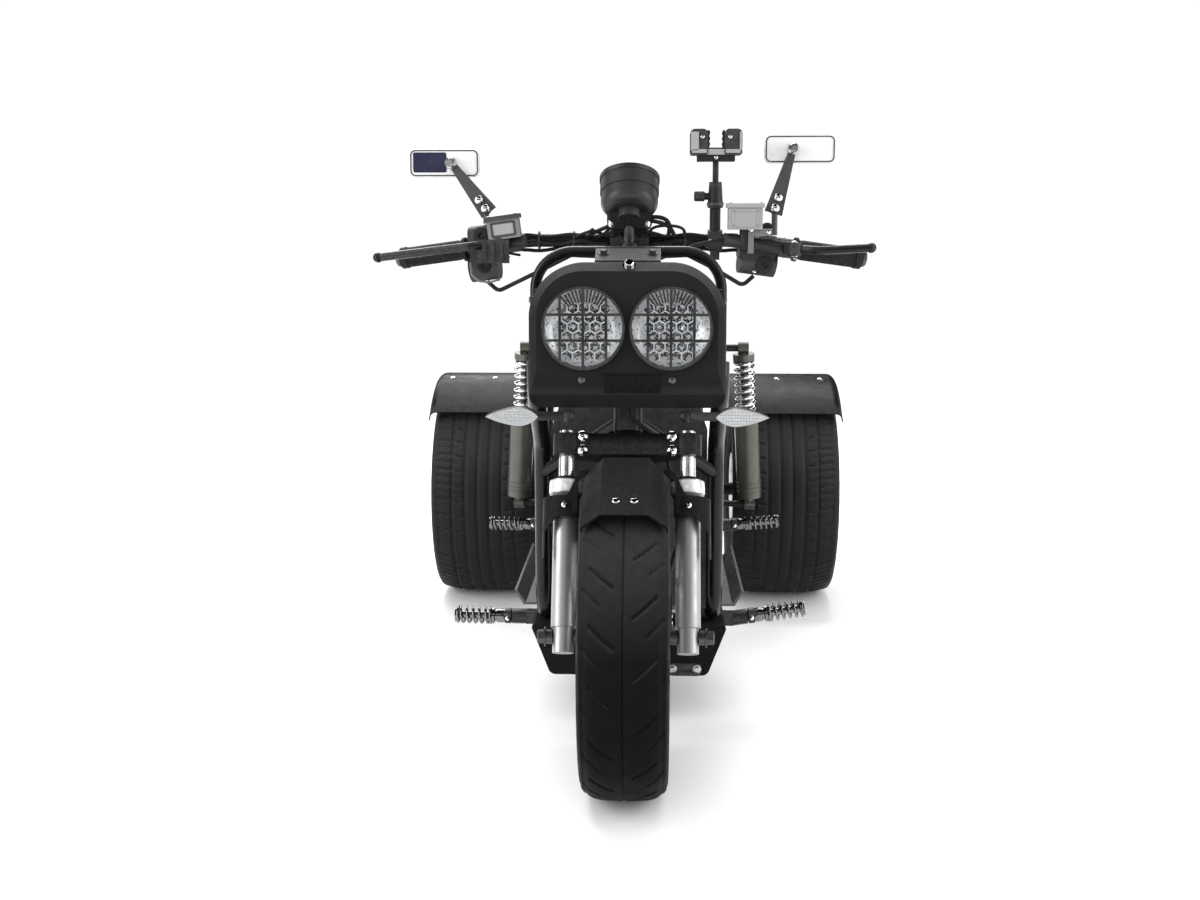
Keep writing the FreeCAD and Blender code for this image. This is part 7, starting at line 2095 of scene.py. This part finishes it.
# ---------------------------------------------------------------- seat
@dataclass(frozen=True)
class SeatCushion:
    """Padded cover over the CAD seat, swollen by a short cloth run and sewn along channels."""

    voxel: float = 0.006
    cap: float = 0.01
    inset: float = 0.005
    held: float = 0.012
    frames: int = 20
    pressure: float = 4.0
    fill: float = 0.8
    channel_deep: float = 0.0045
    # each block of sewn rows: its first and last row as shares of the seat's length
    blocks: tuple[Pair, ...] = ((0.14, 0.44), (0.62, 0.92))
    rows: int = 5

    def blank(self, box: NodeBox) -> bpy.types.Object:
        """A remeshed copy of the CAD seat, a little smaller than the finished cushion.

        Args:
            box: The seat's box.

        Returns:
            The copy.
        """
        blank = added("seat_cushion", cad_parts["seat"].data.copy())
        shrink = [1 - 2 * self.inset / side for side in box.size]
        for vertex in blank.data.vertices:
            away = vertex.co - box.centre
            vertex.co = Vector((box.centre.x + away.x * shrink[0], box.centre.y + away.y * shrink[1],
                                box.low.z + (vertex.co.z - box.low.z) * shrink[2]))
        remesh = blank.modifiers.new("remesh", "REMESH")
        remesh.mode, remesh.voxel_size, remesh.use_smooth_shade = "VOXEL", self.voxel, True
        self.settle(blank)
        return blank

    def settle(self, thing: bpy.types.Object) -> None:
        """Applies an object's modifiers to its mesh.

        Args:
            thing: The object.
        """
        graph = bpy.context.evaluated_depsgraph_get()
        mesh = bpy.data.meshes.new_from_object(thing.evaluated_get(graph))
        thing.modifiers.clear()
        thing.data = mesh

    def swell(self, pad: bpy.types.Object, low: float) -> None:
        """Inflates the pad with cloth pressure, its underside held.

        Args:
            pad: The pad.
            low: The height of the seat's underside.
        """
        group = pad.vertex_groups.new(name="held")
        group.add([v.index for v in pad.data.vertices if v.co.z < low + self.held], 1.0, "REPLACE")
        start = [v.co.copy() for v in pad.data.vertices]
        cloth = pad.modifiers.new("cloth", "CLOTH")
        settings = cloth.settings
        settings.vertex_group_mass, settings.use_pressure = "held", True
        settings.uniform_pressure_force, settings.effector_weights.gravity = self.pressure, 0.0
        settings.quality = 4
        cloth.point_cache.frame_start, cloth.point_cache.frame_end = 1, self.frames
        for step in range(1, self.frames + 1):
            bpy.context.scene.frame_set(step)
        self.settle(pad)
        for vertex, origin in zip(pad.data.vertices, start):
            moved = vertex.co - origin
            if moved.length > self.cap:
                vertex.co = origin + moved.normalized() * self.cap
        bpy.context.scene.frame_set(1)

    def channel(self, point: Vector, box: NodeBox) -> float:
        """Depth of the sewn channels at a point of the top.

        Args:
            point: The point.
            box: The seat's box.

        Returns:
            0 on a plain stretch, 1 at the bottom of a channel.
        """
        along = (point.y - box.low.y) / box.size.y
        across = abs(point.x) / (box.size.x / 2)
        rows = 0.0
        for start, end in self.blocks:
            for k in range(self.rows):
                at = start + (end - start) * k / (self.rows - 1)
                rows = max(rows, 1 - smoothstep(abs(along - at) * box.size.y / 0.008))
        inside = 1 - smoothstep((across - 0.6) / 0.06)
        rim = 1 - smoothstep(abs(across - 0.66) * box.size.x / 2 / 0.006)
        spread = smoothstep((along - 0.06) / 0.05) * (1 - smoothstep((along - 0.95) / 0.03))
        return max(rows * inside, rim) * spread

    def sew(self, pad: bpy.types.Object, box: NodeBox) -> None:
        """Presses the sewn channels into the top.

        Args:
            pad: The pad.
            box: The seat's box.
        """
        facing_up = [smoothstep((vertex.normal.z - 0.55) / 0.3) for vertex in pad.data.vertices]
        for vertex, top in zip(pad.data.vertices, facing_up):
            if top > 0.0:
                vertex.co.z -= self.channel_deep * top * self.channel(vertex.co, box)

    def build(self) -> Pieces:
        """Builds the cushion.

        Returns:
            The pieces.
        """
        box = NodeBox.of("seat")
        pad = self.blank(box)
        self.swell(pad, box.low.z)
        finer = pad.modifiers.new("finer", "SUBSURF")
        finer.levels = finer.render_levels = 1
        self.settle(pad)
        self.sew(pad, box)
        pad.data.materials.clear()
        pad.data.materials.append(SEAT_VINYL.material())
        faces = len(pad.data.polygons)
        pad.data.polygons.foreach_set("use_smooth", [True] * faces)
        pad.data.polygons.foreach_set("material_index", [0] * faces)
        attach(pad, Body.CHASSIS.value)
        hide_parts("seat")
        return [pad]


# ---------------------------------------------------------------- scene
def main() -> None:
    """Builds the studio and every sub-assembly, in order, and logs each piece."""
    logging.basicConfig(level=logging.INFO, format="%(name)s: %(message)s")
    Studio().build()
    log.info("dressed %d nodes", dress_nodes())
    assemblies = (
        TreadedTyre("front_tyre", Body.FRONT_WHEEL, 0.152, FRONT_TREAD),
        TreadedTyre("rear_tyre_left", Body.REAR_LEFT, 0.178, REAR_TREAD),
        TreadedTyre("rear_tyre_right", Body.REAR_RIGHT, 0.178, REAR_TREAD),
        WheelTrim("rear_rim_left", Body.REAR_LEFT, 1),
        WheelTrim("rear_rim_right", Body.REAR_RIGHT, -1),
        Headlamps(),
        ShellTrim(),
        SignalLens("front_signal_lenses", "front_signal", PRISM_SILVER),
        SpringPegs((PegStation(0.395, 0.17, 9.0, 1.0), PegStation(0.956, 0.226, 5.0, 1.0))),
        ShockSprings(place(0.232, 0.94, 0.614), place(0.254, 0.99, 0.268)),
        Controls(),
        MirrorTrim(),
        GaugeFace(),
        ForkTrim(),
        RearFenderTrim(),
        CaliperTrim(),
        BarCables(),
        HousingFronts(),
        HolderTrim(),
        BellyBracket(),
        PowerTrim(),
        TailTrim(),
        SignalLens("rear_signals", "rear_signal", AMBER),
        SeatCushion(),
    )
    for assembly in assemblies:
        for piece in assembly.build():
            log.info("%s: %s", type(assembly).__name__, piece.name)


if __name__ == "__main__":
    main()
